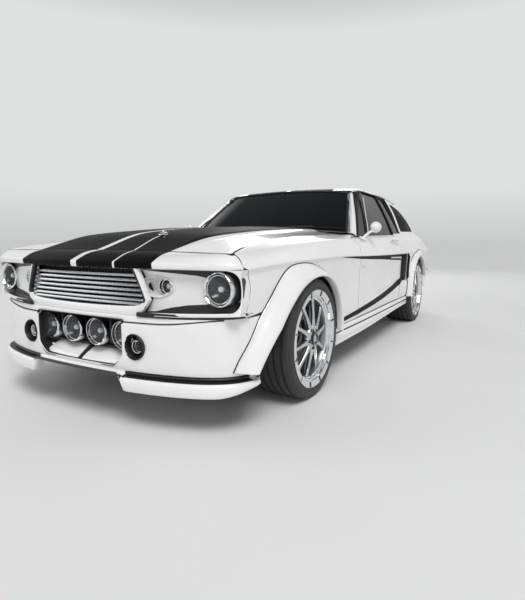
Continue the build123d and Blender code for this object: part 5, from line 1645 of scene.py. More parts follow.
# two pale ramps on the floor of the mouth with a post between them
ramps = []
for sgn in (-1, 1):
    rows = []
    for x in steps(16, 262, 18):
        rows.append([(sgn * x, -2282 + 14 * (x / 260) ** 2, 297), (sgn * x, -2262, 312), (sgn * x, -2212, 338), (sgn * x, -2186, 344)])
    ramps.append(skin(oriented(grid_sheet(rounded(np.array(rows, float), [0, 12, 12, 0], 12, 4)), (0, -0.5, 0.8)), 1.0, 4)[0])
piece("mouth_ramps", joined(*ramps), [PAINT], "chassis", sharp_deg=38)
post = sweep(np.array([(0, -2284, 292), (0, -2250, 318), (0, -2200, 352)], float), [(-9, -4), (9, -4), (9, 5), (0, 8), (-9, 5)], up=(0, -0.5, 0.8))
piece("mouth_post", post, [BLACK], "chassis", sharp_deg=40)

# air dam: a raised strip along the middle and a deep lip with a slot over it at each side
def dam_profile(u, x):
    t = float(smooth((x - 286) / 46))          # 0 along the middle, 1 on the side lips
    low = 264 - 72 * t
    top = 283 - 8 * t
    out = 26 + 6 * t
    return [(-24, top + 3), (-8, top - 1), (-4, top - 8 - 2 * t), (-14 * t, top - 14 - 2 * t), (out - 8, top - 15 - 6 * t), (out, top - 18 - 12 * t), (out + 2, low + 10 + 16 * t), (out - 3, low + 2), (out - 14, low - 2), (4, low - 1), (-20, low + 4)]


end_u = float(np.interp(2000, -_vf[::-1, 1], np.linspace(0, _vs[-1], 400)[::-1]))
us = steps(0, end_u, 15)
p, nrm = plan_frames(us)
p[:, 0][us < 1] = 0
rows = []
for u, pp, nn in zip(us, p, nrm):
    near_end = float(smooth((u - end_u + 210) / 210))
    tip = math.sqrt(max(0.0, 1 - max(0.0, (u - end_u + 26) / 26) ** 2))
    prof = dam_profile(u, pp[0])
    rows.append([(pp[0] + nn[0] * (o * (0.35 + 0.65 * tip)), pp[1] + nn[1] * (o * (0.35 + 0.65 * tip)), z + near_end * (250 - z) * 0.62 * (z < 250) + (1 - tip) * 0.5 * (254 - z)) for o, z in prof])
g = rounded(np.array(rows), [0, 5, 3, 4, 6, 6, 12, 6, 8, 12, 0], 16, 3)
dam = oriented(grid_sheet(g), (0.4, -1, 0))
v_, f_ = joined(dam, mirrored(dam))
v_[np.abs(v_[:, 0]) < 0.02, 0] = 0
dam_closed, fd = skin(weld((v_, f_), 0.01), 1.5, 5)
# the recessed slot over each side lip is black
dm = []
for k, f in enumerate(dam_closed[1]):
    c = dam_closed[0][list(f)].mean(0)
    if k >= fd:
        dm.append(1)
        continue
    i = int(np.argmin(np.hypot(_vf[:, 0] - abs(c[0]), _vf[:, 1] - c[1])))
    ax_ = abs(c[0])
    inset = math.hypot(ax_ - _vf[i, 0], c[1] - _vf[i, 1])
    dm.append(2 if (ax_ > 306 and 255 < c[2] < 276 and c[1] < -2040) else 0)
piece("air_dam", dam_closed, [PAINT, UNDER_AND_GAP_SHADE, BLACK], "chassis", (), dm, sharp_deg=38)

# fog lamps in their tubes, driving lamps on their bar
fogs_ring, fogs_dark, fog_lens, fog_bowl = [], [], [], []
fx, fz = FOG
fogs_dark.append(lathe([(60, -2284), (57, -2288), (54, -2284), (52, -2262), (50, -2228), (20, -2226), (20, -2222), (54, -2224), (58, -2262)], 56, "y", (fx, 0, fz), True))
r1_, b1_, l1_, u1_ = lamp_parts(fx + 2, fz - 2, -2262, 26, 7)
fogs_ring.append(r1_)
fog_bowl.append(b1_)
fog_lens.append(l1_)
drive_ring, drive_body, drive_lens, drive_bowl, drive_bulb = [], [], [], [], []
for x in (88, 266):
    r1_, b1_, l1_, u1_ = lamp_parts(x, 431, -2250, 60, 9)
    drive_ring.append(r1_)
    drive_lens.append(l1_)
    drive_bowl.append(b1_)
    drive_bulb.append(u1_)
    drive_body.append(lathe([(66, -2238), (68, -2228), (64, -2210), (48, -2194), (26, -2186), (0, -2184), (0, -2187), (25, -2189), (46, -2197), (61, -2212), (64, -2228)], 48, "y", (x, 0, 431), True))
    drive_body.append(box_sheet(x - 9, x + 9, -2214, -2172, 352, 378, 3))
for x in (0, 177):
    bracket = [box_sheet(x - 5, x + 5, -2240, -2180, 380, 512, 2)]
    drive_body += bracket
bar = tube(np.array([(x, -2190 + 26 * (x / 350) ** 2, 352) for x in np.linspace(-350, 350, 40)]), 11, 14)
piece("driving_lamp_rings", two(*drive_ring, *fogs_ring), [CHROME], "chassis", ("driving_lamps",), sharp_deg=50)
piece("driving_lamp_bodies", joined(two(*drive_body), bar), [BLACK], "chassis", sharp_deg=50)
piece("driving_lamp_reflectors", two(*drive_bowl, *fog_bowl), [REFLECTOR], "chassis", sharp_deg=50)
piece("driving_lamp_lenses", two(*drive_lens, *fog_lens), [LENS], "chassis", sharp_deg=50)
piece("driving_lamp_bulbs", two(*drive_bulb), [FROST], "chassis", sharp_deg=50)
piece("fog_lamp_tubes", two(*fogs_dark), [BLACK], "chassis", sharp_deg=50)

# hood pin: a disc, a pin and a clip at the end of the painted highlight line
def hood_z(x, y):
    w, e, m = HOOD_AT(y)[0]
    d, h = m - e, float(stripe_half(y))
    up = 20.0 * float(smooth((y + 2120) / 300.0))
    return float(np.interp(abs(x), [0, h * 0.45, h - 16, h + 26, w], [m - d * 0.08 + up, m - d * 0.08 + up, e + d * 0.62 + up * 0.92, e + d * 0.52, e]))


pins = []
for x, y in ((196, -1880),):
    z = hood_z(x, y)
    pins.append(lathe([(0, 3), (22, 2.6), (26, 1), (27, -3), (0, -3)], 40, "z", (x, y, z)))
    pins.append(lathe([(0, 24), (4, 23), (5.5, 20), (5.5, 0), (0, 0)], 16, "z", (x, y, z)))
    pins.append(tube(curve_through([(x - 26, y, z + 9), (x - 8, y - 7, z + 10), (x + 14, y - 4, z + 11), (x + 24, y + 6, z + 10), (x + 8, y + 11, z + 9), (x - 16, y + 5, z + 10)], 4), 1.8, 8))
pins = joined(*pins)
piece("hood_pin", pins, [CHROME], "hood", sharp_deg=50)


# ------------------------------------------------------------------ wheels
RUBBER = simple("tyre_rubber", (0.030, 0.030, 0.0305), 0.62, 0.0, 0.08, 26.0, 340.0, 0.0004, 0.2)
RUBBER_LIGHT = simple("tyre_band", (0.034, 0.034, 0.035), 0.5, 0.0, 0.06, 40.0, 500.0, 0.0002, 0.15)


def tyre_sheet(width, face):
    """Left-hand tyre about the origin: five grooves round the tread, cut shoulders and stepped side walls."""
    x0, x1 = face - width, face
    mid = (x0 + x1) / 2
    half = width / 2
    side = [(238, 14), (244, 6), (252, 3.0), (262, 1.2), (272, 0.6), (273.5, 2.4), (277, 2.4), (278.5, 0.4), (292, 0.0), (305, 1.2), (313, 3.2), (314, 5.2), (317, 5.8), (318, 4.4), (323, 8.0), (327.5, 13.5)]
    outer = [(r, x1 - d) for r, d in side]
    inner = [(r, x0 + d) for r, d in side if r in (238, 244, 252, 272, 292, 313, 318, 323, 327.5)]
    tread = []
    crown = lambda x: 332.0 - 3.2 * abs((x - mid) / half) ** 2.6
    grooves = [-0.74, -0.37, 0.0, 0.37, 0.74]
    xs = [x1 - 18.5]
    marks = [(x1 - 18.5, 0.0)]
    for k, g in enumerate(reversed(grooves)):
        c = mid + g * (half - 16)
        w = 7.0 if abs(g) > 0.5 else 6.5
        marks += [(c + w + 1.2, 0.0), (c + w, 1.4), (c + w - 1.6, 10.0), (c - w + 1.6, 10.0), (c - w, 1.4), (c - w - 1.2, 0.0)]
    marks.append((x0 + 18.5, 0.0))
    tread = [(crown(x) - d, x) for x, d in marks]
    prof = outer + tread + inner[::-1]
    # bead and inside wall close the ring
    prof = [(237.5, x1 - 22), (237.5, x1 - 16)] + prof + [(237.5, x0 + 16), (237.5, x0 + 22), (300, x0 + 24), (318, mid), (300, x1 - 24)]
    segs = 152
    p = np.array(prof)
    n = len(p)
    ang = np.linspace(0, 2 * math.pi, segs, endpoint=False)
    r = np.tile(p[:, 0], (segs, 1))
    shoulder = [i for i in range(n) if 322 < p[i, 0] < 330.5]
    for s_ in range(segs):
        if s_ % 4 < 1:
            for i in shoulder:
                r[s_, i] -= 4.0
    v = np.zeros((segs, n, 3))
    v[:, :, 0] = p[None, :, 1]
    v[:, :, 1] = np.cos(ang)[:, None] * r
    v[:, :, 2] = np.sin(ang)[:, None] * r
    f = []
    for i in range(segs):
        i2 = (i + 1) % segs
        for j in range(n):
            j2 = (j + 1) % n
            f.append((i * n + j, i2 * n + j, i2 * n + j2, i * n + j2))
    sheet = (v.reshape(-1, 3), f)
    nn = normals_of(*sheet)
    out = sheet[0][:, 1:] / np.maximum(np.linalg.norm(sheet[0][:, 1:], axis=1), 1e-9)[:, None]
    big = np.linalg.norm(sheet[0][:, 1:], axis=1) > 331
    if float((nn[big][:, 1:] * out[big]).sum()) < 0:
        sheet = (sheet[0], [tuple(reversed(g)) for g in f])
    return sheet


def ring_orient(sheet, direction=(1, 0, 0)):
    return oriented(sheet, direction)


def closed_lathe(prof, segments=96):
    """Turned ring with a closed profile, facing outwards."""
    s = lathe(prof, segments, "x", closed_profile=True)
    v, f = s
    c = np.array(prof, float).mean(0)
    n = normals_of(v, f)
    rad = np.linalg.norm(v[:, 1:], axis=1)
    d = np.stack([v[:, 0] - c[1], v[:, 1] * (rad - c[0]) / np.maximum(rad, 1e-6), v[:, 2] * (rad - c[0]) / np.maximum(rad, 1e-6)], axis=1)
    return s if float((n * d).sum()) > 0 else (v, [tuple(reversed(g)) for g in f])


def wheel_parts(width, face):
    """Left-hand wheel about the origin: barrel, stepped lip with notches, ten spokes, hub, cap, nuts."""
    x0 = face - width
    lip = []
    barrel = closed_lathe([(236, x0 + 16), (236, x0 + 22), (228, x0 + 30), (216, x0 + 48), (214, face - 70), (222, face - 44), (229, face - 34), (229, face - 22), (224, face - 20), (217, face - 34), (208, face - 66), (207, x0 + 46), (222, x0 + 20), (230, x0 + 14)], 96)
    # wide polished lip that laps over the tyre's foot, in two steps
    lip_ring = closed_lathe([(214, face - 30), (219, face - 25), (222, face - 24), (224, face - 17), (228, face - 15), (232, face - 15), (234, face - 6), (237, face - 3.2), (264, face + 1.6), (267.5, face + 1.6), (270, face - 0.6), (270, face - 4), (264, face - 4), (236, face - 16), (222, face - 34)], 128)
    notches = []
    for k in range(12):
        a = math.radians(15 + 30 * k)
        c, s_ = math.cos(a), math.sin(a)
        b = box_sheet(-3.0, 3.0, -4.2, 4.2, 236, 266, 1.0)
        v, f = b
        v = v.copy()
        v[:, 0] += face - 1.4 + (v[:, 2] - 236) * 0.16 - 0.8
        w = np.stack([v[:, 0], v[:, 1] * c + v[:, 2] * s_, -v[:, 1] * s_ + v[:, 2] * c], axis=1)
        notches.append((w, f))
    spokes = []
    for k in range(10):
        a = 2 * math.pi * k / 10
        # spoke cage: root, waist, foot. columns: radius, half width, outer face, depth
        rows = []
        for r, hw, xo, dp in ((46, 19, face - 12, 34), (74, 18, face - 14, 34), (104, 13, face - 18, 32), (150, 11, face - 24, 30), (186, 12.5, face - 29, 28), (208, 17, face - 32, 26), (221, 24, face - 33, 24)):
            rows.append([(xo - 3, r, -hw), (xo, r, -hw * 0.55), (xo, r, hw * 0.55), (xo - 3, r, hw), (xo - dp, r, hw * 0.7), (xo - dp, r, -hw * 0.7)])
        g = np.array(rows, float)
        n_, m_ = g.shape[:2]
        f = []
        for i in range(n_ - 1):
            for j in range(m_):
                j2 = (j + 1) % m_
                f.append((i * m_ + j, i * m_ + j2, (i + 1) * m_ + j2, (i + 1) * m_ + j))
        f.append(tuple(reversed(range(m_))))
        f.append(tuple((n_ - 1) * m_ + j for j in range(m_)))
        v = g.reshape(-1, 3)
        cc, ss = math.cos(a), math.sin(a)
        v = np.stack([v[:, 0], v[:, 1] * cc - v[:, 2] * ss, v[:, 1] * ss + v[:, 2] * cc], axis=1)
        sh = (v, f)
        nrm = normals_of(v, f)
        mid_ = v.mean(0)
        if float((nrm * (v - mid_)).sum()) < 0:
            sh = (v, [tuple(reversed(q)) for q in f])
        spokes.append(subdivided("spoke", sh, 2))
    hub = closed_lathe([(0.5, face - 48), (70, face - 48), (72, face - 26), (66, face - 16), (52, face - 12), (44, face - 11), (40, face - 15), (0.5, face - 15)], 72)
    cap_ring = closed_lathe([(26, face - 20), (26, face - 3), (28, face - 0.5), (34, face - 0.5), (37, face - 3), (38, face - 12), (38, face - 20)], 64)
    cap = lathe([(0, face - 2.5), (10, face - 3), (20, face - 4.5), (26, face - 7), (27, face - 16), (0, face - 16)], 48, "x")
    nuts = []
    for k in range(5):
        a = 2 * math.pi * (k + 0.5) / 5
        nut = lathe([(0, face - 2), (5, face - 3), (8, face - 5), (9.5, face - 8), (9.5, face - 18), (0, face - 18)], 6, "x", (0, 53 * math.cos(a), 53 * math.sin(a)))
        nuts.append(nut)
    valve = tube(np.array([(face - 36, 0, -222), (face - 22, 0, -214)], float), 3.5, 10, up=(0, 1, 0))
    barrel_back = closed_lathe([(70, x0 + 96), (205, x0 + 66), (207, x0 + 60), (70, x0 + 88)], 72)
    disc_x = face - 150
    disc = closed_lathe([(96, disc_x - 11), (172, disc_x - 11), (174, disc_x - 9), (174, disc_x - 3), (168, disc_x - 3), (168, disc_x + 3), (174, disc_x + 3), (174, disc_x + 9), (172, disc_x + 11), (96, disc_x + 11)], 80)
    hat = closed_lathe([(50, disc_x + 30), (84, disc_x + 30), (94, disc_x + 24), (97, disc_x + 10), (97, disc_x - 10), (88, disc_x - 10), (86, disc_x + 20), (50, disc_x + 22)], 72)
    holes = []
    for k in range(30):
        a = 2 * math.pi * k / 30
        for q, r in enumerate((124, 152)):
            aa = a + q * 0.07
            holes.append(lathe([(0, disc_x + 11.5), (3.6, disc_x + 11.5), (3.6, disc_x + 10.5), (0, disc_x + 10.5)], 8, "x", (0, r * math.cos(aa), r * math.sin(aa))))
    # caliper: two cheeks beside the disc and a bridge over its edge, with a window and two bolts
    caliper = joined(
        subdivided("cheek", box_sheet(disc_x + 16, disc_x + 42, -64, 64, 108, 197, 7), 2),
        subdivided("cheek", box_sheet(disc_x - 42, disc_x - 16, -64, 64, 108, 197, 7), 2),
        subdivided("bridge", box_sheet(disc_x - 36, disc_x + 36, -52, -16, 180, 200, 4), 1),
        subdivided("bridge", box_sheet(disc_x - 36, disc_x + 36, 16, 52, 180, 200, 4), 1),
        *[tube(np.array([(disc_x - 34, y, 189), (disc_x + 34, y, 189)], float), 4, 12, up=(0, 0, 1)) for y in (-6, 6)],
        *[lathe([(0, disc_x + 46), (5, disc_x + 46), (7, disc_x + 43), (7, disc_x + 36), (0, disc_x + 36)], 6, "x", (0, y, 122)) for y in (-48, 48)],
    )
    pistons = [lathe([(0, disc_x + 43), (14, disc_x + 42.5), (17, disc_x + 38), (17, disc_x + 30), (0, disc_x + 30)], 24, "x", (0, y, 150)) for y in (-28, 28)]
    return dict(barrel=joined(barrel), spokes=joined(*spokes, hub), lip=lip_ring, notches=joined(*notches), cap_ring=joined(cap_ring, *nuts), cap=cap, valve=valve, disc=joined(disc, hat), holes=joined(*holes), caliper=joined(caliper, *pistons), back=barrel_back)


def turn_x(sheet, deg):
    c, s_ = math.cos(math.radians(deg)), math.sin(math.radians(deg))
    v, f = sheet
    return np.stack([v[:, 0], v[:, 1] * c - v[:, 2] * s_, v[:, 1] * s_ + v[:, 2] * c], axis=1), f


for end, y_axle, width in (("front", FRONT_AXLE_Y, 262.0), ("rear", REAR_AXLE_Y, 290.0)):
    tyre_s = tyre_sheet(width, 898.0)
    w = wheel_parts(width, 898.0)
    for side, left in (("left", True), ("right", False)):
        at = lambda sh: flip(moved(sh, None, (0, y_axle, TYRE_R)), left)
        tag = end + "_" + side
        body = "wheel_" + tag
        spin = 9.0 if end == "front" else 0.0
        piece("tyre_" + tag, at(tyre_s), [RUBBER], body, ("tyre_" + tag,), sharp_deg=32)
        piece("rim_" + tag, at(turn_x(w["spokes"], spin)), [ALLOY], body, ("rim_" + tag,), sharp_deg=42)
        piece("rim_barrel_" + tag, at(joined(w["barrel"], w["valve"])), [ALLOY_DARK], body, sharp_deg=42)
        piece("rim_lip_" + tag, at(w["lip"]), [CHROME], body, sharp_deg=30)
        piece("rim_lip_notches_" + tag, at(w["notches"]), [GLOSSBLACK], body, sharp_deg=30)
        piece("wheel_cap_ring_" + tag, at(turn_x(w["cap_ring"], spin)), [GLOSSBLACK], body, sharp_deg=40)
        piece("wheel_cap_" + tag, at(w["cap"]), [ALLOY], body, sharp_deg=40)
        piece("brake_disc_" + tag, at(joined(w["disc"])), [STEEL], body, sharp_deg=40)
        piece("brake_disc_holes_" + tag, at(w["holes"]), [BLACK], body, sharp_deg=40)
        carrier = ("knuckle_" + side) if end == "front" else "chassis"
        piece("brake_caliper_" + tag, at(turn_x(w["caliper"], -90 if end == "front" else 90)), [IRON], carrier, sharp_deg=50)


# ------------------------------------------------------------------ intakes ahead of the rear wheels
def scoop_depth(q):
    inside = -sdf(SCOOP_MOUTH, q)
    return 7 + smooth(inside / 34.0) * np.interp(q[:, 0], [566, 640, 806], [16, 34, 52])


grid = []
for y in steps(552, 820, 9):
    zs_ = steps(470, 752, 10)
    q = np.stack([np.full(len(zs_), y), zs_], axis=1)
    grid.append(np.stack([side_x(q[:, 0], q[:, 1]) - scoop_depth(q), q[:, 0], q[:, 1]], axis=1))
throat = keep_low(oriented(grid_sheet(np.array(grid)), (1, 0, 0)), lambda p: sdf(SCOOP_MOUTH, p[:, 1:3]) - 8)
throat, _ = skin(throat, 0, 2)
fins = []
for k in range(5):
    y = 606 + k * 40
    path = np.array([(float(side_x(y, z)[0]) - 12 - k * 2.2, y, z) for z in steps(512, 722, 22)])
    fins.append(sweep(path, [(-17, -2), (-15, -3), (12, 2), (13, 4), (11, 4), (-17, 0)], up=(0.9, 0.45, 0)))
th = joined(throat, mirrored(throat))
fn = joined(*fins)
piece("side_intakes", th, [BLACK], "chassis", sharp_deg=40)
piece("side_intake_fins", joined(fn, mirrored(fn)), [GLOSSBLACK], "chassis", sharp_deg=40)
lip = []
for s_ in np.linspace(0, 1, 15):
    row = []
    for z in steps(470, 756, 10):
        sag = 16 * ((z - 612) / 142.0) ** 2
        y = 792 + sag + s_ * (118 - sag)
        up_ = smooth((z - 470) / 46.0) * smooth((756 - z) / 46.0)
        h = 1.0 + 37 * up_ * (1 - smooth((s_ - 0.12) / 0.88)) * (0.86 + 0.14 * min(1.0, s_ / 0.12))
        row.append((float(side_x(y, z)[0]) + h, y, z))
    lip.append(row)
lip = oriented(grid_sheet(np.array(lip)), (1, 0, 0))
both_sides("side_intake_lip", lip, roll=2.0, thick=5, sharp_deg=50)

# ------------------------------------------------------------------ side skirts
SKIRT = spline([-1056, -393, 383, 892], [(196, 858), (206, 872), (226, 874), (232, 872)])
rows = []
for y in steps(-1052, 888, 40):
    zb, xo = SKIRT(y)[0]
    rows.append([(xo - 56, y, 314), (xo - 8, y, 315), (xo + 1, y, 305), (xo + 2, y, 287), (xo - 8, y, 281), (xo - 8, y, 274), (xo + 1, y, 267),
                 (xo + 3, y, zb + 34), (xo - 3, y, zb + 20), (xo + 2, y, zb + 13), (xo - 4, y, zb + 2), (xo - 56, y, zb + 1)])
g = rounded(np.array(rows, float), [0, 4, 5, 3, 2, 2, 4, 12, 4, 3, 5, 0], 30, 3)
skirt = oriented(grid_sheet(g), (1, 0, 0))
sk_mark = lambda m: (m[:, 2] > 272.5) & (m[:, 2] < 282.5)
both_sides("side_skirt", skirt, replaces=(("side_skirts",), ("side_skirts",)), roll=0, thick=5, sharp_deg=34, marks=sk_mark)

# ------------------------------------------------------------------ rounded end of the quarter panels and the lip on the lid
end = QUARTER_END[(QUARTER_END[:, 2] > 604)]
ex = np.clip((end[:, 0] - 640) / 200.0, 0, 1)
rows = []
for dy, inset in ((-3, 0.0), (4, 0.4), (10, 2.5), (14, 7), (15, 14), (12, 30), (-6, 34)):
    c = np.array([640.0, 760.0])
    d = end[:, [0, 2]] - c
    ln = np.maximum(np.linalg.norm(d, axis=1), 1)[:, None]
    q = end[:, [0, 2]] - d / ln * inset
    rows.append(np.stack([q[:, 0], np.full(len(q), 2262.0 + dy) + 8 * (1 - ex), q[:, 1]], axis=1))
tail_end = oriented(grid_sheet(np.array(rows)), (0.3, 1, 0.2))
both_sides("tail_end", tail_end, roll=0, thick=2.5, sharp_deg=50)
xs = steps(-612, 612, 24)
rows = []
e0, m0 = LID_AT(2250.0)[0]
for x in xs:
    t = abs(x) / 616.0
    zt = np.interp(t, [0, 0.3, 0.7, 1], [m0, e0 + (m0 - e0) * 0.92, e0 + (m0 - e0) * 0.5, e0])
    rows.append([(x, 2246, zt - 10), (x, 2251.5, zt - 0.5), (x, 2262, zt + 3), (x, 2273, zt + 6), (x, 2280, zt + 1), (x, 2277, zt - 20), (x, 2266, zt - 34), (x, 2240, zt - 40)])
g = rounded(np.array(rows, float), [0, 2, 4, 5, 5, 8, 6, 0], 16, 3)
lid_lip = oriented(grid_sheet(g), (0, 1, 0.4))
lid_lip = score(lid_lip, *STRIPE_LEVELS[:3], lambda p: 946 - p[:, 2])
panel("trunk_lid_lip", lid_lip, "trunk_lid", roll=0, thick=4, sharp_deg=38, marks=lambda m: in_stripe(m) & (m[:, 2] > 946))

# ------------------------------------------------------------------ tail panel, lamps, cap
TAIL_PLAN = spline([-800, -500, 0, 500, 800], [2284, 2294, 2298, 2294, 2284])
xs = steps(-812, 812, 29)
cols = []
for z, dy in ((612, -6), (616, 0), (690, 0), (696, -2), (842, -2), (848, 0), (892, 0), (926, -26), (934, -34)):
    cols.append(np.stack([xs, TAIL_PLAN(xs) + dy, np.full(len(xs), float(z))], axis=1))
g = rounded(np.stack(cols, axis=1), [0, 3, 1, 1, 1, 1, 14, 5, 0], 30, 3)
tail = oriented(grid_sheet(g), (0, 1, 0))
tail_edge = QUARTER_END[(QUARTER_END[:, 2] > 590)]
outline = np.vstack([[(0, 600)], [(t_[0] - 24, t_[2] - 8 * (t_[2] > 860)) for t_ in tail_edge], [(0, 1000)]])
LAMP_BOX = np.array([(262, 704), (778, 704), (778, 834), (262, 834)], float)
tail = keep_low(
    tail,
    lambda p: sdf(outline, np.stack([np.abs(p[:, 0]), p[:, 2]], axis=1)) + 1.0,
    lambda p: 4 - sdf(LAMP_BOX, np.stack([np.abs(p[:, 0]), p[:, 2]], axis=1)),
)
in_tail_black = lambda m: (m[:, 2] > 694) & (m[:, 2] < 844) & (np.abs(m[:, 0]) < 800)
tail = score(tail, lambda p: 694 - p[:, 2], lambda p: p[:, 2] - 844)
panel("tail_panel", tail, "chassis", ("tail_panel",), roll=2, thick=12, sharp_deg=38, marks=in_tail_black)
lamps, lenses, rims_ = [], [], []
for k in range(3):
    x0, x1 = 270 + k * 170, 270 + k * 170 + 160
    xc = (x0 + x1) / 2
    y = float(TAIL_PLAN(xc)[0])
    loop = []
    for inset, dy in ((0, -14), (0, 8), (2.5, 12), (7, 12), (9.5, 9), (9.5, -10)):
        ring_ = []
        for cx, cz, a0 in ((x1 - 14, 813, 0), (x0 + 14, 813, 90), (x0 + 14, 725, 180), (x1 - 14, 725, 270)):
            ring_ += arc_points(cx, cz, 14 - inset, a0, a0 + 90, 5)
        ring_.append(ring_[0])
        loop.append([(px, y + dy, pz) for px, pz in ring_])
    rims_.append(oriented(grid_sheet(np.array(loop)), (0, 1, 0)))
    gg = []
    for z in steps(721, 817, 3.0):
        ridge = 1.2 * math.cos((z - 721) / 96 * math.pi * 16)
        gg.append([(x, y + 1 + ridge + 4.5 * math.sin(math.pi * (x - x0) / (x1 - x0)) * math.sin(math.pi * (z - 711) / 116), z) for x in steps(x0 + 9, x1 - 9, 17)])
    lenses.append(oriented(grid_sheet(np.array(gg)), (0, 1, 0)))
    lamps.append(box_sheet(x0 + 1, x1 - 1, y - 28, y - 10, 712, 826, 3))
rims_ = joined(*rims_)
rims_, _ = skin(weld(rims_), 0, 1.2)
lenses = joined(*lenses)
lenses, _ = skin(lenses, 0, 2.5)
lamps = joined(*lamps)
piece("tail_lamp_rims", joined(rims_, mirrored(rims_)), [CHROME], "chassis", sharp_deg=40)
piece("tail_lamp_lenses", joined(lenses, mirrored(lenses)), [TAIL_LENS], "chassis", replaces=("tail_lamps",), sharp_deg=50)
piece("tail_lamp_housings", joined(lamps, mirrored(lamps)), [BLACK], "chassis", sharp_deg=40)
cap_ = lathe([(0, 24), (26, 23), (38, 19), (42, 14), (43, 8), (50, 6), (54, 2), (54, -6), (0, -6)], 64, "y", (0, 2298, 769))
piece("fuel_cap", cap_, [CHROME], "chassis", sharp_deg=35)
lock_ = lathe([(0, 6), (12, 6), (14, 3), (14, -3), (0, -3)], 28, "y", (0, 2296, 872))
piece("trunk_lock", lock_, [CHROME], "chassis", sharp_deg=35)

# ------------------------------------------------------------------ rear bumper
BUMP = curve_through([(-852, 2112), (-842, 2190), (-812, 2252), (-700, 2290), (-500, 2314), (0, 2329), (500, 2314), (700, 2290), (812, 2252), (842, 2190), (852, 2112)], 24)
path = np.column_stack([BUMP, np.full(len(BUMP), 550.0)])
bar = [(30, -44), (22, -50), (4, -48), (-1, -40), (0, -12), (3, -6), (3, 6), (0, 12), (-1, 40), (4, 48), (22, 50), (30, 44), (27, 0)]
bar = rounded(np.array([[(a, b, 0) for a, b in bar + bar[:1]]], float), [0, 4, 4, 4, 4, 2, 2, 4, 4, 4, 4, 4, 8, 0], 12, 3)[0][:-1, :2]
bumper = sweep(path, [(a, b) for a, b in bar], up=(0, 0, 1))
bv, bf = bumper
ctr = np.array([0, 2000.0, 550.0])
if float(((bv - ctr)[:, 1] > 0).mean()) > 0 and float((bv[:, 1]).max()) > 2331:
    bumper = sweep(path, [(-a, b) for a, b in bar], up=(0, 0, 1))
nb = normals_of(*bumper)
if float((nb * (bumper[0] - ctr)).sum()) < 0:
    bumper = (bumper[0], [tuple(reversed(f)) for f in bumper[1]])
piece("rear_bumper", bumper, [CHROME], "chassis", replaces=("rear_bumper",), sharp_deg=30)
guards = []
for x in (-250, 250):
    guards.append(moved(subdivided("guard", box_sheet(-19, 19, -14, 20, -62, 62, 8), 2), None, (x, 2318, 550)))
piece("rear_bumper_guards", joined(*guards), [CHROME], "chassis", sharp_deg=40)

# ------------------------------------------------------------------ rear valance with plate bracket
RV = curve_through([(-850, 1692), (-846, 1900), (-838, 2060), (-815, 2140), (-770, 2204), (-660, 2232), (-500, 2250), (0, 2262), (500, 2250), (660, 2232), (770, 2204), (815, 2140), (838, 2060), (846, 1900), (850, 1692)], 28)
tn = np.gradient(RV, axis=0)
tn /= np.linalg.norm(tn, axis=1)[:, None]
outn = np.stack([-tn[:, 1], tn[:, 0]], axis=1)
if outn[len(outn) // 2, 1] < 0:
    outn = -outn
cols = []
for z, off in ((497, -12), (494, 12), (480, 16), (400, 9), (352, 6), (340, -2), (332, 3), (314, 1), (310, -16)):
    cols.append(np.column_stack([RV + outn * off * np.interp(np.abs(RV[:, 0]), [0, 840, 850], [1, 0.6, 0.4])[:, None], np.full(len(RV), float(z))]))
g = rounded(np.stack(cols, axis=1), [0, 6, 14, 30, 6, 4, 4, 4, 0], 32, 3)
rv = oriented(grid_sheet(g), (0, 1, 0))
TIP = (460.0, 372.0)
rv = keep_low(
    rv,
    lambda p: np.where(p[:, 1] > 2100, 46 - np.hypot(np.abs(p[:, 0]) - TIP[0], p[:, 2] - TIP[1]), -5.0),
    lambda p: np.where(p[:, 1] > 2200, 3 - sdf(np.array([(-160, 320), (160, 320), (160, 489), (-160, 489)], float), p[:, [0, 2]]), -5.0),
    lambda p: 14 - sdf(np.vstack([REAR_HOLE[:-2], [(1282 + 341, 200), (1282 - 368, 200)]]), p[:, 1:3]),
)
panel("rear_valance", rv, "chassis", ("rear_valance",), roll=2.5, thick=8, sharp_deg=38)
# bracket: dished plate with four blind holes
PLATE = np.array([(-158, 324), (158, 324), (158, 484), (-158, 484)], float)
gx, gz = steps(-168, 168, 6), steps(314, 494, 6)
grid = np.array([[(x, 0, z) for z in gz] for x in gx], float)
q = grid.reshape(-1, 3)
d = -sdf(PLATE, q[:, [0, 2]])
q[:, 1] = np.where(d > 0, 2280 + 10 * smooth(d / 7.0), 2280 - 14 * smooth(-d / 10.0))
holes = [(sx * 89, 404 + sz * 60.5) for sx in (-1, 1) for sz in (-1, 1)]
bracket = oriented(grid_sheet(q.reshape(grid.shape)), (0, 1, 0))
for hx_, hz_ in holes:
    bracket = keep_low(bracket, lambda p: 3.5 - np.hypot(p[:, 0] - hx_, p[:, 2] - hz_))
bracket, _ = skin(bracket, 0, 4)
piece("plate_bracket", bracket, [BLACK], "chassis", sharp_deg=40)
sleeves = []
for hx_, hz_ in holes:
    sleeves.append(lathe([(3.5, 2290), (6.5, 2290.6), (7.5, 2289.4), (7.5, 2283), (3.6, 2274), (0, 2274), (0, 2275), (3.4, 2275), (3.5, 2290)], 24, "y", (hx_, 0, hz_)))
piece("plate_bracket_sleeves", joined(*sleeves), [STEEL], "chassis", sharp_deg=40)

# ------------------------------------------------------------------ exhaust tips
tips = []
for sx in (-1, 1):
    tips.append(lathe([(30, 2088), (33, 2092), (34, 2150), (34, 2272), (36, 2282), (36, 2288), (34, 2290), (31, 2288), (30, 2270), (30, 2110)], 48, "y", (460 * sx, 0, 372), True))
piece("exhaust_tips", joined(*tips), [CHROME], "chassis", sharp_deg=40)


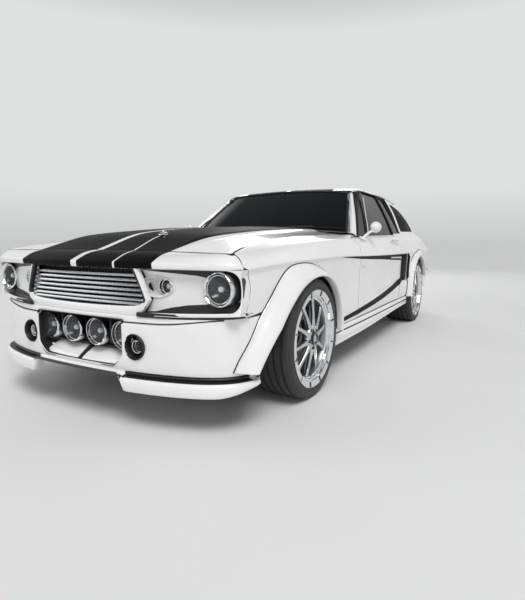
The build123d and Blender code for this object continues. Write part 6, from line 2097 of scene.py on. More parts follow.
# ------------------------------------------------------------------ seats: crowned closed pads with sewn channels and piping
def pad_form(hx, hy, h, crown, grooves, corner=54, pinch=0.030, bolster=0.0, taper=0.0, segments=112):
    """Stuffed pad about its own middle, its foot at z = 0: sides pulled in between the corners, a crowned top with sewn grooves along y."""
    th = np.linspace(0, 2 * math.pi, segments, endpoint=False)
    c, s = np.cos(th), np.sin(th)
    p = 4.6
    r = (np.abs(c) ** p + np.abs(s) ** p) ** (-1 / p)
    ux, uy = r * c, r * s
    px = 1 - pinch * (1 - uy ** 2) * np.abs(ux) ** 3
    py = 1 - pinch * (1 - ux ** 2) * np.abs(uy) ** 3
    rings = []

    def ring(scale, z, out=0.0):
        x = ux * px * (hx * scale + out)
        y = uy * py * (hy * scale + out)
        x = x * (1 - taper * (y / hy + 1) / 2)
        rings.append(np.stack([x, y, np.full(segments, float(z))], axis=1))
    ring(0.0, 2)
    ring(0.5, 1)
    ring(0.93, 0)
    ring(0.985, 3)
    for t in (0.12, 0.3, 0.5, 0.7, 0.86):
        ring(1.0, h * t, 5.0 * math.sin(math.pi * t))
    ring(1.0, h * 0.94, 0.0)
    ring(0.994, h * 0.985, -1.0)
    top = []
    for q in (0.985, 0.965, 0.94, 0.90, 0.85, 0.79, 0.72, 0.64, 0.56, 0.47, 0.38, 0.29, 0.20, 0.10, 0.0):
        top.append(len(rings))
        ring(q, h)
    g = np.array(rings)
    for k in top:
        x, y = g[k, :, 0], g[k, :, 1]
        nx_ = x / (hx * (1 - taper * (y / hy + 1) / 2))
        ny_ = y / hy
        edge = np.clip(1 - np.maximum(np.abs(nx_), np.abs(ny_)), 0, 1)
        z = h + crown * (1 - np.abs(nx_) ** 2.6) * (1 - np.abs(ny_) ** 2.6) + bolster * smooth((np.abs(nx_) - 0.55) / 0.3) * smooth(edge / 0.10)
        for gx_ in grooves:
            z -= 7.5 * np.exp(-((nx_ - gx_) / 0.020) ** 2) * smooth(edge / 0.10)
        z -= 5.0 * np.exp(-((np.maximum(np.abs(nx_) / 0.80, np.abs(ny_) / 0.90) - 1) / 0.022) ** 2)
        g[k, :, 2] = z
    n, m = g.shape[:2]
    f = []
    for i in range(n - 1):
        for j in range(m):
            j2 = (j + 1) % m
            f.append((i * m + j, i * m + j2, (i + 1) * m + j2, (i + 1) * m + j))
    v, f = weld((g.reshape(-1, 3), f), 0.01)
    nn = normals_of(v, f)
    if float((nn * (v - np.array([0, 0, h / 2]))).sum()) < 0:
        f = [tuple(reversed(q)) for q in f]
    seam = np.stack([ux * px * (hx + 1.5), uy * py * (hy + 1.5), np.full(segments, h * 0.955)], axis=1)
    seam[:, 0] *= 1 - taper * (seam[:, 1] / hy + 1) / 2
    low = seam.copy()
    low[:, 2] = 9
    return (v, f), seam, low


def placed(sheet_or_path, origin, ex, ey, ez):
    m = np.array([ex, ey, ez], float)
    if isinstance(sheet_or_path, tuple):
        v, f = sheet_or_path
        return v @ m + np.array(origin, float), f
    return sheet_or_path @ m + np.array(origin, float)


lean = math.atan2(134.0, 596.0)
up_b, fwd_b = (0, math.sin(lean), math.cos(lean)), (0, -math.cos(lean), math.sin(lean))
GROOVES = (-0.6, -0.36, -0.12, 0.12, 0.36, 0.6)
for side, sx in (("left", 1), ("right", -1)):
    x0 = 370.0 * sx
    cushion, seam, low = pad_form(236, 236, 104, 20, GROOVES, bolster=9)
    o = (x0, 180, 352)
    tilt_c = math.radians(3.5)
    basis = ((1, 0, 0), (0, math.cos(tilt_c), -math.sin(tilt_c)), (0, math.sin(tilt_c), math.cos(tilt_c)))
    c_ = placed(cushion, o, *basis)
    ob = piece("seat_cushion_" + side, c_, [LEATHER], "chassis", replaces=("front_seats",), sharp_deg=None)
    back, bseam, blow = pad_form(232, 296, 84, 16, GROOVES, bolster=10, taper=0.20)
    ob_ = (x0, 450 + 296 * math.sin(lean), 458 + 296 * math.cos(lean))
    b_ = placed(back, ob_, (1, 0, 0), up_b, fwd_b)
    nb = normals_of(*b_)
    if float((nb * (b_[0] - b_[0].mean(0))).sum()) < 0:
        b_ = (b_[0], [tuple(reversed(q)) for q in b_[1]])
    ob2 = piece("seat_back_" + side, b_, [LEATHER], "chassis", sharp_deg=None)
    pipes = [tube(placed(seam, o, *basis), 3.2, 6, True), tube(placed(low, o, *basis), 2.6, 6, True), tube(placed(bseam, ob_, (1, 0, 0), up_b, fwd_b), 3.2, 6, True, up=(0, 1, 0.3)),
             tube(placed(blow, ob_, (1, 0, 0), up_b, fwd_b), 2.6, 6, True, up=(0, 1, 0.3))]
    piece("seat_piping_" + side, joined(*pipes), [CLOTH_SEAM], "chassis", sharp_deg=60)
    # shell behind the back, and hinge plates
    gx = []
    for t in np.linspace(0, 1, 15):
        w = 222 * (1 - 0.2 * t)
        row = []
        for q in np.linspace(-1, 1, 17):
            d = 12 * (1 - abs(q) ** 4) * (1 - (2 * t - 1) ** 6)
            p_ = np.array([x0 + q * w, 450, 458]) + np.array(up_b) * (592 * t + 2) - np.array(fwd_b) * (3 + d)
            row.append(p_)
        gx.append(row)
    shell = oriented(grid_sheet(np.array(gx)), (0, 1, 0))
    shell, _ = skin(shell, 3, 8)
    piece("seat_shell_" + side, shell, [TRIM], "chassis", sharp_deg=50)
    frame_parts = []
    for k in (-1, 1):
        xr = x0 + k * 176
        frame_parts.append(sweep(np.array([(xr, y, 268) for y in steps(-10, 372, 30)]), [(-14, -8), (14, -8), (16, -4), (16, 6), (10, 8), (10, 2), (-10, 2), (-10, 8), (-16, 6), (-16, -4)]))
        for y in (20, 340):
            frame_parts.append(moved(box_sheet(-10, 10, -22, 22, -40, 40, 4), None, (xr, y, 312)))
            frame_parts.append(lathe([(0, 5), (8, 5), (9, 3), (9, -3), (0, -3)], 6, "z", (xr, y + (-36 if y < 100 else 36), 266)))
        frame_parts.append(moved(box_sheet(-4, 4, -34, 34, -60, 62, 3), None, (x0 + k * 243, 440, 462)))
    frame_parts.append(tube(curve_through([(x0 - 150, -52, 322), (x0 - 90, -66, 318), (x0 + 90, -66, 318), (x0 + 150, -52, 322)], 12), 6, 10))
    piece("seat_frame_" + side, joined(*frame_parts), [STEEL], "chassis", sharp_deg=40)

# rear bench: two pads, a back with channels, and a kick board
GR2 = (-0.78, -0.62, -0.46, -0.30, -0.14, 0.14, 0.30, 0.46, 0.62, 0.78)
cush, seam, low = pad_form(552, 164, 78, 20, GR2, pinch=0.015, segments=160)
o = (0, 968, 528)
ob = piece("rear_seat_cushion", placed(cush, o, (1, 0, 0), (0, 1, 0), (0, 0, 1)), [LEATHER], "chassis", replaces=("rear_seat",), sharp_deg=None)
lean2 = math.atan2(80.0, 290.0)
up2, fw2 = (0, math.sin(lean2), math.cos(lean2)), (0, -math.cos(lean2), math.sin(lean2))
bk, bseam, blow = pad_form(545, 148, 78, 16, GR2, pinch=0.015, segments=160)
o2 = (0, 1172 + 148 * math.sin(lean2), 590 + 148 * math.cos(lean2))
b_ = placed(bk, o2, (1, 0, 0), up2, fw2)
nb = normals_of(*b_)
if float((nb * (b_[0] - b_[0].mean(0))).sum()) < 0:
    b_ = (b_[0], [tuple(reversed(q)) for q in b_[1]])
ob = piece("rear_seat_back", b_, [LEATHER], "chassis", sharp_deg=None)
piece("rear_seat_piping", joined(tube(placed(seam, o, (1, 0, 0), (0, 1, 0), (0, 0, 1)), 3.2, 6, True), tube(placed(bseam, o2, (1, 0, 0), up2, fw2), 3.2, 6, True, up=(0, 1, 0.3))), [CLOTH_SEAM], "chassis", sharp_deg=60)
rows = []
for x in steps(-560, 560, 40):
    hump = 96 * math.exp(-(x / 128.0) ** 4)
    rows.append([(x, 786, 262 + hump), (x, 800, 400 + hump * 0.3), (x, 806, 520), (x, 812, 532), (x, 1168, 536), (x, 1176, 590), (x, 1250, 872), (x, 1262, 884), (x, 1296, 886)])
g = rounded(np.array(rows, float), [0, 20, 6, 6, 14, 20, 8, 8, 0], 70, 3)
board = oriented(grid_sheet(g), (0, -1, 0.4))
board, _ = skin(board, 0, 6)
piece("rear_seat_board", board, [CARPET], "chassis", sharp_deg=50)

# ------------------------------------------------------------------ dashboard
secs = []
for x in steps(-734, 734, 22):
    pod = float(np.interp(x, [150, 196, 240, 500, 546, 590], [0, 12, 24, 24, 12, 0]))
    curve = 26 * (abs(x) / 740) ** 2
    secs.append([(x, -505 + curve, 872), (x, -470 + curve, 893), (x, -330, 884 + pod * 0.6), (x, -268 - pod * 0.3, 866 + pod), (x, -252 - pod * 0.3, 846 + pod), (x, -268, 838 + pod * 0.5), (x, -290, 828),
                 (x, -282, 742), (x, -262, 730), (x, -262, 712), (x, -300, 702), (x, -470, 716)])
g = rounded(np.array(secs, float), [0, 18, 30, 18, 10, 6, 6, 8, 8, 8, 12, 0], 44, 3)
dash = oriented(grid_sheet(g), (0, 1, 0.4))
closed, first = skin(dash, 3, 5)
fmid = np.array([closed[0][list(f)].mean(0) for f in closed[1]])
facia = (fmid[:, 1] < -276) & (fmid[:, 2] > 744) & (fmid[:, 2] < 832) & (fmid[:, 1] > -296)
piece("dashboard", closed, [TRIM, ALLOY_DARK], "chassis", replaces=("dashboard",), face_mat=[1 if q else 0 for q in facia], sharp_deg=40)
bez, faces_, needles = [], [], []
for x, r in ((292, 42), (448, 42), (370, 22), (216, 24), (524, 24), (-60, 24), (0, 24), (60, 24)):
    z = 786 if r > 30 else (806 if x == 370 else 788)
    bez.append(lathe([(r - 4, -283), (r - 1, -279), (r + 3, -279), (r + 5, -283), (r + 5, -292)], 48, "y", (x, 0, z), True))
    faces_.append(lathe([(0, -287), (r * 0.3, -287.2), (r * 0.8, -287.6), (r - 2, -286.5), (r - 1, -290), (0, -290)], 48, "y", (x, 0, z)))
    for k in range(9 if r > 30 else 5):
        a = math.radians(225 - k * (270 / (8 if r > 30 else 4)))
        ca, sa = math.cos(a), math.sin(a)
        seg = np.array([(x + ca * r * 0.70, -286.4, z + sa * r * 0.70), (x + ca * r * 0.86, -286.4, z + sa * r * 0.86)])
        needles.append(tube(seg, 0.7, 5, up=(0, 1, 0)))
    a = math.radians(200)
    needles.append(tube(np.array([(x, -285.6, z), (x + math.cos(a) * r * 0.7, -285.4, z + math.sin(a) * r * 0.7)]), 1.0, 6, up=(0, 1, 0)))
    needles.append(lathe([(0, -284), (3, -284), (4, -286), (4, -288), (0, -288)], 16, "y", (x, 0, z)))
piece("gauge_bezels", joined(*bez), [CHROME], "chassis", sharp_deg=40)
piece("gauge_faces", joined(*faces_), [GAUGE], "chassis", sharp_deg=40)
piece("gauge_marks", joined(*needles), [FROST], "chassis", sharp_deg=50)
box_parts = [box_sheet(-560, -250, -287, -279, 752, 822, 3), box_sheet(-110, 110, -288, -280, 744, 768, 3)]
for k in range(5):
    box_parts.append(lathe([(0, 12), (5, 12), (7, 9), (7, 0), (0, 0)], 16, "y", (-80 + 40 * k, -284, 756)))
for x in (-640, 640):
    box_parts.append(lathe([(14, -286), (30, -283), (33, -276), (30, -271), (26, -275), (14, -280)], 32, "y", (x, 0, 788), True))
    for k in range(4):
        box_parts.append(box_sheet(x - 24, x + 24, -282, -277, 773 + k * 9, 776 + k * 9, 1))
piece("dash_fittings", joined(*box_parts), [BLACK], "chassis", sharp_deg=40)

# steering column, stalk and pedals
ax = np.array([0, math.cos(math.radians(24)), math.sin(math.radians(24))])
wc = np.array([370.0, -60.0, 830.0])
base = wc - ax * 360
prof = [(0, 0), (30, 0), (33, 8), (33, 120), (27, 132), (27, 236), (34, 246), (34, 292), (28, 298), (0, 298)]
col = lathe(prof, 40, "z")
zx = np.array([1.0, 0, 0])
zy = np.cross(ax, zx)
col = (col[0] @ np.array([zx, zy, ax]) + base, col[1])
stalk_ = tube(curve_through([tuple(wc - ax * 92 + np.array([28, 0, 0])), tuple(wc - ax * 92 + np.array([70, 0, 10])), tuple(wc - ax * 84 + np.array([118, 0, 22]))], 8), 4, 10)
knob_ = moved(lathe([(0, 8), (6, 7), (8, 0), (6, -7), (0, -8)], 20, "x"), None, tuple(wc - ax * 84 + np.array([122, 0, 23])))
piece("steering_column", joined(col, stalk_, knob_), [BLACK], "chassis", sharp_deg=40)
ped = []
for x, w in ((300, 34), (388, 34), (470, 24)):
    ped.append(tube(curve_through([(x, -560, 640), (x, -500, 560), (x, -452, 470), (x, -440, 410)], 14), 6, 10))
    pad_ = subdivided("pedal", box_sheet(-w, w, -7, 7, -30, 30, 3), 1)
    ped.append(moved(pad_, Matrix.Rotation(math.radians(-28), 3, "X"), (x, -432, 398)))
piece("pedals", joined(*ped), [BLACK], "chassis", sharp_deg=40)

# ------------------------------------------------------------------ steering wheel
def in_wheel(sheet):
    """From the wheel's plane (x across, y up the wheel, z towards the driver) to the car."""
    v, f = sheet
    m = np.array([[1, 0, 0], list(np.cross(ax, [1.0, 0, 0])), list(ax)])
    return v @ m + wc, f


ring_path = np.array([(185 * math.cos(a), 185 * math.sin(a), 0) for a in np.linspace(0, 2 * math.pi, 120, endpoint=False)])
ang = np.linspace(0, 2 * math.pi, 120, endpoint=False)
rp = []
for k, a in enumerate(ang):
    fr = 13.2 + 0.9 * math.cos(a * 36)
    c_, s_ = math.cos(a), math.sin(a)
    rp.append([(c_ * (185 + fr * math.cos(b)), s_ * (185 + fr * math.cos(b)), fr * math.sin(b)) for b in np.linspace(0, 2 * math.pi, 16, endpoint=False)])
rp = np.array(rp)
n_, m_ = rp.shape[:2]
rim_f = [(i * m_ + j, ((i + 1) % n_) * m_ + j, ((i + 1) % n_) * m_ + (j + 1) % m_, i * m_ + (j + 1) % m_) for i in range(n_) for j in range(m_)]
rimv = rp.reshape(-1, 3)
nn = normals_of(rimv, rim_f)
if float((nn * (rimv - np.repeat(ring_path, m_, axis=0))).sum()) < 0:
    rim_f = [tuple(reversed(q)) for q in rim_f]
piece("steering_rim", in_wheel((rimv, rim_f)), [TRIM], "steering_wheel", replaces=("steering_wheel",), sharp_deg=50)
sp = []
for a in (90, 210, 330):
    ca, sa = math.cos(math.radians(a)), math.sin(math.radians(a))
    rows = []
    for r in steps(30, 178, 8):
        w = float(np.interp(r, [30, 60, 120, 160, 178], [26, 20, 17, 19, 28]))
        dz = float(np.interp(r, [30, 178], [-24, -3]))
        rows.append([(r * ca - q * w * sa, r * sa + q * w * ca, dz) for q in np.linspace(-1, 1, 9)])
    sh = oriented(grid_sheet(np.array(rows)), (0, 0, 1))
    for r in (78, 104, 130):
        sh = keep_low(sh, lambda p: 7.5 - np.hypot(p[:, 0] - r * ca, p[:, 1] - r * sa))
    sp.append(skin(sh, 1.0, 4)[0])
piece("steering_spokes", in_wheel(joined(*sp)), [ALLOY], "steering_wheel", sharp_deg=40)
hub_ = lathe([(0, 2), (16, 1), (26, -3), (30, -8), (38, -12), (42, -18), (42, -34), (36, -50), (20, -52), (0, -52)], 56, "z")
ring_ = lathe([(28, -3), (32, -4), (34, -8), (32, -11), (28, -9)], 56, "z", (0, 0, 0), True)
bolts = [lathe([(0, -10), (3.4, -10.3), (4, -12), (4, -16), (0, -16)], 6, "z", (37 * math.cos(a), 37 * math.sin(a), 0)) for a in np.linspace(0, 2 * math.pi, 6, endpoint=False)]
piece("steering_hub", in_wheel(hub_), [GLOSSBLACK], "steering_wheel", sharp_deg=40)
piece("steering_hub_ring", in_wheel(joined(ring_, *bolts)), [CHROME], "steering_wheel", sharp_deg=40)

# ------------------------------------------------------------------ console, shifter, cup rings, carpet, inner mirror
rows = []
for y in steps(-296, 496, 44):
    hgt = float(np.interp(y, [-300, -200, 120, 330, 380, 500], [16, 4, 0, 0, 14, 12]))
    rows.append([(-112, y, 414), (-112, y, 476 + hgt), (-98, y, 494 + hgt), (-80, y, 496 + hgt), (-72, y, 484 + hgt), (72, y, 484 + hgt), (80, y, 496 + hgt), (98, y, 494 + hgt), (112, y, 476 + hgt), (112, y, 414)])
g = rounded(np.array(rows, float), [0, 8, 8, 4, 4, 4, 4, 8, 8, 0], 60, 4)
con = oriented(grid_sheet(g), (0, 0, 1))
con, _ = skin(con, 3, 5)
piece("console", con, [TRIM], "chassis", sharp_deg=40)
gait = lathe([(46, 484), (44, 492), (36, 500), (38, 506), (28, 514), (30, 520), (20, 528), (21, 534), (12, 542), (9, 546)], 40, "z", (0, -60, 0))
boot, _ = skin(oriented(gait, (0, 0, 1)), 0, 1.5)
ob = piece("shifter_gaiter", boot, [LEATHER], "chassis", sharp_deg=60)
lever = joined(tube(curve_through([(0, -60, 520), (0, -52, 580), (0, -40, 640)], 10), 6, 12), moved(lathe([(0, 26), (14, 22), (22, 10), (24, 0), (20, -12), (10, -20), (0, -22)], 32, "z"), None, (0, -37, 652)))
piece("shifter", lever, [CHROME], "chassis", sharp_deg=45)
tray_ = joined(lathe([(30, 486), (34, 490), (37, 489), (38, 484)], 36, "z", (0, 210, 0)), lathe([(30, 486), (34, 490), (37, 489), (38, 484)], 36, "z", (0, 300, 0)))
piece("cup_rings", skin(tray_, 0, 1.2)[0], [CHROME], "chassis", sharp_deg=45)
rows = []
for y in np.concatenate([steps(-628, -420, 30), steps(-380, 800, 160)]):
    toe = float(np.interp(y, [-628, -560, -470, -420], [250, 130, 12, 0]))
    r_ = [(-786, 320), (-704, 322), (-694, 266), (-660, 262 + toe), (-300, 262 + toe), (-160, 264 + toe), (-134, 300 + toe * 0.5), (-122, 416), (-90, 427), (90, 427), (122, 416), (134, 300 + toe * 0.5), (160, 264 + toe), (300, 262 + toe), (660, 262 + toe), (694, 266), (704, 322), (786, 320)]
    rows.append([(x, y, z) for x, z in r_])
g = rounded(np.array(rows, float), [0, 6, 6, 10, 20, 14, 14, 14, 14, 14, 14, 14, 14, 20, 10, 6, 6, 0], 90, 3)
carpet = oriented(grid_sheet(g), (0, 0, 1))
carpet, _ = skin(carpet, 0, 3)
piece("carpet", carpet, [CARPET], "chassis", sharp_deg=50)
im = joined(moved(subdivided("im", box_sheet(-110, 110, -9, 9, -27, 27, 8), 2), None, (0, -168, 1196)), tube(curve_through([(0, -172, 1214), (0, -166, 1244), (0, -140, 1272)], 8), 4, 10))
piece("inner_mirror", im, [BLACK], "chassis", sharp_deg=40)
img = moved(subdivided("img", box_sheet(-103, 103, -1.2, 1.2, -21, 21, 1), 2), None, (0, -158.4, 1196))
piece("inner_mirror_glass", img, [MIRROR], "chassis", sharp_deg=40)


# ------------------------------------------------------------------ wheelhouse liners
def liner(outline, x0, x1, bulge=0.0):
    """Trough over a wheel: outline in y and z carried from its inner wall to the body side."""
    o = curve_through(outline, 46)
    rows = []
    for x in (x0, x0, x0 + 6, x0 + 40, (x0 + x1) / 2, x1 - 40, x1):
        rows.append(x)
    g = []
    for k, x in enumerate(rows):
        g.append(np.column_stack([np.full(len(o), float(x)), o]))
    g = np.array(g)
    mid = o.mean(0)
    g[0, :, 1:] = mid + (o - mid) * 0.02
    g[0, :, 2] = np.minimum(g[0, :, 2], 420)
    n = 8
    wall = [mid * 0 + g[1, :, 1:] * t + g[0, :, 1:] * (1 - t) for t in np.linspace(0.25, 0.97, n)]
    wall = [np.column_stack([np.full(len(o), float(x0)), w]) for w in wall]
    g = np.concatenate([g[:1], np.array(wall), g[2:]], axis=0)
    for j in range(g.shape[1]):
        if j % 4 == 2:
            g[-5:-1, j, 1:] = mid + (g[-5:-1, j, 1:] - mid) * 0.99
    return oriented(grid_sheet(g), (1, 0, -0.5))


FL = [(-2046, 262), (-2040, 330), (-1990, 440), (-1890, 580), (-1790, 690), (-1640, 752), (-1461, 768), (-1290, 735), (-1150, 640), (-1070, 500), (-1040, 380), (-1037, 300)]
fl_ = liner(FL, 440, 872)
fl_ = keep_low(fl_, lambda p: p[:, 0] - (skin_x(p[:, 1], p[:, 2]) - 9))
RLn = [(1282 - 386 * math.cos(math.radians(a)), 342 + 386 * math.sin(math.radians(a))) for a in np.linspace(-8, 180, 18)]
rl_ = liner(RLn, 592, 872)
rl_ = keep_low(rl_, lambda p: p[:, 0] - (side_x(p[:, 1], p[:, 2]) - 12))
lin = []
for s_ in (fl_, rl_):
    c_, _ = skin(s_, 0, 4)
    lin += [c_, mirrored(c_)]
piece("wheel_liners", joined(*lin), [CHASSIS], "chassis", replaces=("wheelhouses",), sharp_deg=40)

# ------------------------------------------------------------------ floor pan, tunnel, sills, firewall, trunk floor
rows = []
for y in [-640.0] + [y_ for k in range(10) for y_ in -640 + 150.0 * k + np.array([42, 49, 55, 62, 88, 95, 101, 108, 150])]:
    rib = lambda k: 4.5 * math.exp(-((((y + 640) % 150) - 75) / 22.0) ** 4) * k
    t = [(-806, 316), (-806, 250), (-704, 246), (-700, 252), (-640, 252 + rib(1)), (-480, 252 + rib(1)), (-300, 252 + rib(1)), (-160, 252), (-132, 262), (-124, 400), (-100, 414), (0, 416),
         (100, 414), (124, 400), (132, 262), (160, 252), (300, 252 + rib(1)), (480, 252 + rib(1)), (640, 252 + rib(1)), (700, 252), (704, 246), (806, 250), (806, 316)]
    rows.append([(x, y, z) for x, z in t])
g = rounded(np.array(rows, float), [0, 8, 3, 3, 12, 20, 20, 10, 6, 14, 14, 20, 14, 14, 6, 10, 20, 20, 12, 3, 3, 8, 0], 170, 2)
pan = oriented(grid_sheet(g), (0, 0, -1))
pan, _ = skin(pan, 0, 2.5)
piece("floor_pan", pan, [CHASSIS], "chassis", replaces=("floor_pan",), sharp_deg=40)
fw = []
for z in steps(256, 868, 14):
    row = []
    for x in (-786, -702, -698, -590, -480, -370, -260, -162, -158, -118, -60, 0, 60, 118, 158, 162, 260, 370, 480, 590, 698, 702, 786):
        bead = 5 * math.exp(-(((z - 300) % 140 - 70) / 16.0) ** 2) * (1 if 160 < abs(x) < 700 else 0)
        row.append((x, -644 - bead, z))
    fw.append(row)
fw = oriented(grid_sheet(np.array(fw)), (0, -1, 0))
fw = keep_low(fw, lambda p: np.where(p[:, 2] < 430, 124 - np.abs(p[:, 0]), -5.0))
fw, _ = skin(fw, 0, 3)
blanks = [lathe([(0, -656), (26, -655), (30, -650), (34, -648), (34, -644)], 36, "y", (x, 0, z)) for x, z in ((-520, 640), (420, 560), (560, 700), (-300, 520))]
piece("firewall", joined(fw, *[skin(b_, 0, 1.5)[0] for b_ in blanks]), [CHASSIS], "chassis", replaces=("firewall",), sharp_deg=40)
tf = []
for y in steps(860, 2228, 150):
    row = []
    for x in [-578.0] + [x_ for k in range(10) for x_ in -578 + 120.0 * k + np.array([36, 42, 47, 53, 60, 67, 73, 78, 84]) if x_ < 572] + [578.0]:
        bead = 4 * math.exp(-((((x + 578) % 120) - 60) / 18.0) ** 4)
        row.append((x, y, 532 + bead))
    tf.append(row)
tf = oriented(grid_sheet(np.array(tf)), (0, 0, 1))
tf, _ = skin(tf, 3, 4)
kick = []
for z in steps(256, 530, 14):
    kick.append([(x, 866 - 4 * math.exp(-(((z - 256) % 90 - 45) / 14.0) ** 2), z) for x in steps(-576, 576, 60)])
kick = oriented(grid_sheet(np.array(kick)), (0, -1, 0))
kick = keep_low(kick, lambda p: np.where(p[:, 2] < 412, 122 - np.abs(p[:, 0]), -5.0))
kick, _ = skin(kick, 2, 4)
piece("trunk_floor", joined(tf, kick), [CHASSIS], "chassis", replaces=("trunk_floor",), sharp_deg=40)
# dropped floors between the trunk floor and the body sides, behind the rear wheels
drop = []
for y in steps(1580, 2226, 40):
    x_out = min(float(side_x(y, 520.0)[0]) - 14, float(np.interp(y, [1580, 2060, 2140, 2204, 2226], [900, 824, 800, 752, 690])))
    x_in = min(640.0, x_out - 60)
    drop.append([(570, y, 530), (590, y, 530), (x_in, y, 516), (x_out - 20, y, 508), (x_out, y, 512), (x_out, y, 548)])
drop = oriented(grid_sheet(rounded(np.array(drop, float), [0, 8, 14, 8, 8, 0], 60, 3)), (0, 0, 1))
drop = keep_low(drop, lambda p: 388 - np.hypot(p[:, 1] - 1282, p[:, 2] - 342))
drop, _ = skin(drop, 0, 3)
piece("trunk_side_floors", joined(drop, mirrored(drop)), [CHASSIS], "chassis", sharp_deg=40)
mat_rows = []
for y in steps(1300, 2220, 30):
    mat_rows.append([(x, y, 541.5 + 1.5 * math.sin(x / 90.0) * math.sin(y / 120.0)) for x in steps(-560, 560, 28)])
tm = oriented(grid_sheet(np.array(mat_rows)), (0, 0, 1))
tm, _ = skin(tm, 2, 3)
piece("trunk_carpet", tm, [CARPET], "chassis", sharp_deg=60)

# ------------------------------------------------------------------ rails, cross members, radiator
def box_rail(path, w, h, flange=14):
    prof = [(-w, -h), (w, -h), (w + 0, h - 4), (w + flange, h - 4), (w + flange, h), (-w - flange, h), (-w - flange, h - 4), (-w, h - 4)]
    prof = rounded(np.array([[(a, b, 0) for a, b in prof + prof[:1]]], float), [0, 6, 4, 1, 1, 1, 1, 4, 0], 30, 2)[0][:-1, :2]
    return sweep(path, [(a, b) for a, b in prof])


rails = []
front_path = curve_through([(395, -2118, 345), (395, -1900, 345), (395, -1500, 345), (395, -1000, 345), (395, -656, 340)], 90)
rear_path = curve_through([(395, 874, 489), (395, 1100, 492), (395, 1500, 490), (395, 1900, 489), (395, 2176, 489)], 80)
for path, w, h in ((front_path, 30, 44), (rear_path, 24, 38)):
    r_ = box_rail(path, w, h, 5)
    rails += [r_, mirrored(r_)]
holes_ = []
for y in (-1980, -1820, -1660, -1240, -1080, -920, -780):
    for sx in (-1, 1):
        holes_.append(moved(lathe([(0, -3), (18, -3), (18, 2.5), (14, 3), (13, 1), (12, -2), (0, -2)], 28, "x"), None, (395 * sx + 30.5 * sx, y, 345)) if sx > 0 else moved(mirrored(lathe([(0, -3), (18, -3), (18, 2.5), (14, 3), (13, 1), (12, -2), (0, -2)], 28, "x")), None, (-425.5, y, 345)))
piece("chassis_rails", joined(*rails, *holes_), [CHASSIS], "chassis", replaces=("chassis_rails",), sharp_deg=34)

core, tanks, fins_ = [], [], []
for k in range(62):
    x = -306 + k * 10.0
    fins_.append(box_sheet(x, x + 4.5, -2066, -2032, 424, 746, 0.6))
for k in range(27):
    z = 428 + k * 12
    fins_.append(box_sheet(-310, 310, -2062, -2036, z, z + 2.4, 0.4))
tanks.append(subdivided("tank", box_sheet(-324, 324, -2078, -2022, 748, 788, 6), 2))
tanks.append(subdivided("tank", box_sheet(-324, 324, -2078, -2022, 382, 422, 6), 2))
for x in (-320, 320):
    tanks.append(box_sheet(x - 9, x + 9, -2074, -2026, 416, 752, 3))
tanks.append(moved(lathe([(0, 18), (20, 17), (24, 12), (24, 6), (18, 4), (18, -6), (0, -6)], 28, "z"), None, (170, -2050, 792)))
front = [sweep(np.array([(x, -2136, 400.0) for x in steps(-616, 616, 60)]), [(-14, -78), (10, -78), (14, -70), (14, 70), (10, 78), (-14, 78), (-14, 70), (6, 66), (6, -66), (-14, -70)], up=(0, 0, 1))]
for x in (-352, 352):
    front.append(box_sheet(x - 10, x + 10, -2118, -2062, 334, 700, 4))
front.append(box_sheet(-358, 358, -2110, -2064, 334, 386, 6))
piece("radiator", joined(*fins_), [IRON], "chassis", replaces=("radiator",), sharp_deg=40)
piece("radiator_tanks", joined(*tanks), [BLACK], "chassis", sharp_deg=36)
piece("radiator_support", joined(*front), [CHASSIS], "chassis", sharp_deg=36)

# ------------------------------------------------------------------ engine: block, heads, covers, intake, cleaner, pulleys, fan
def along_y(section, ys_, scale=None):
    g = []
    for k, y in enumerate(ys_):
        s_ = 1.0 if scale is None else scale[k]
        g.append([(x * s_, y, z) for x, z in section + section[:1]])
    return np.array(g, float)


BLK = [(-96, 336), (96, 336), (120, 372), (132, 440), (196, 520), (206, 560), (120, 628), (60, 600), (-60, 600), (-120, 628), (-206, 560), (-196, 520), (-132, 440), (-120, 372)]
ysb = [-1868, -1864, -1780, -1700, -1620, -1540, -1460, -1380, -1300, -1256, -1252]
g = rounded(along_y(BLK, ysb, [0.985] + [1.0] * 9 + [0.985]), [0] + [12] * 13 + [0], 50, 2)
v_, f_ = grid_sheet(g)
m_ = g.shape[1]
f_ = f_ + [tuple(range(m_ - 1)), tuple(reversed([(len(ysb) - 1) * m_ + j for j in range(m_ - 1)]))]
blk = weld((v_, f_))
nb = normals_of(*blk)
if float((nb * (blk[0] - blk[0].mean(0))).sum()) < 0:
    blk = (blk[0], [tuple(reversed(q)) for q in blk[1]])
eng = [blk]
PAN = [(-92, 334), (-84, 300), (-70, 292), (70, 292), (84, 300), (92, 334)]
pan_ = subdivided("pan", box_sheet(-96, 96, -1850, -1280, 306, 344, 10), 2)
heads, covers = [], []
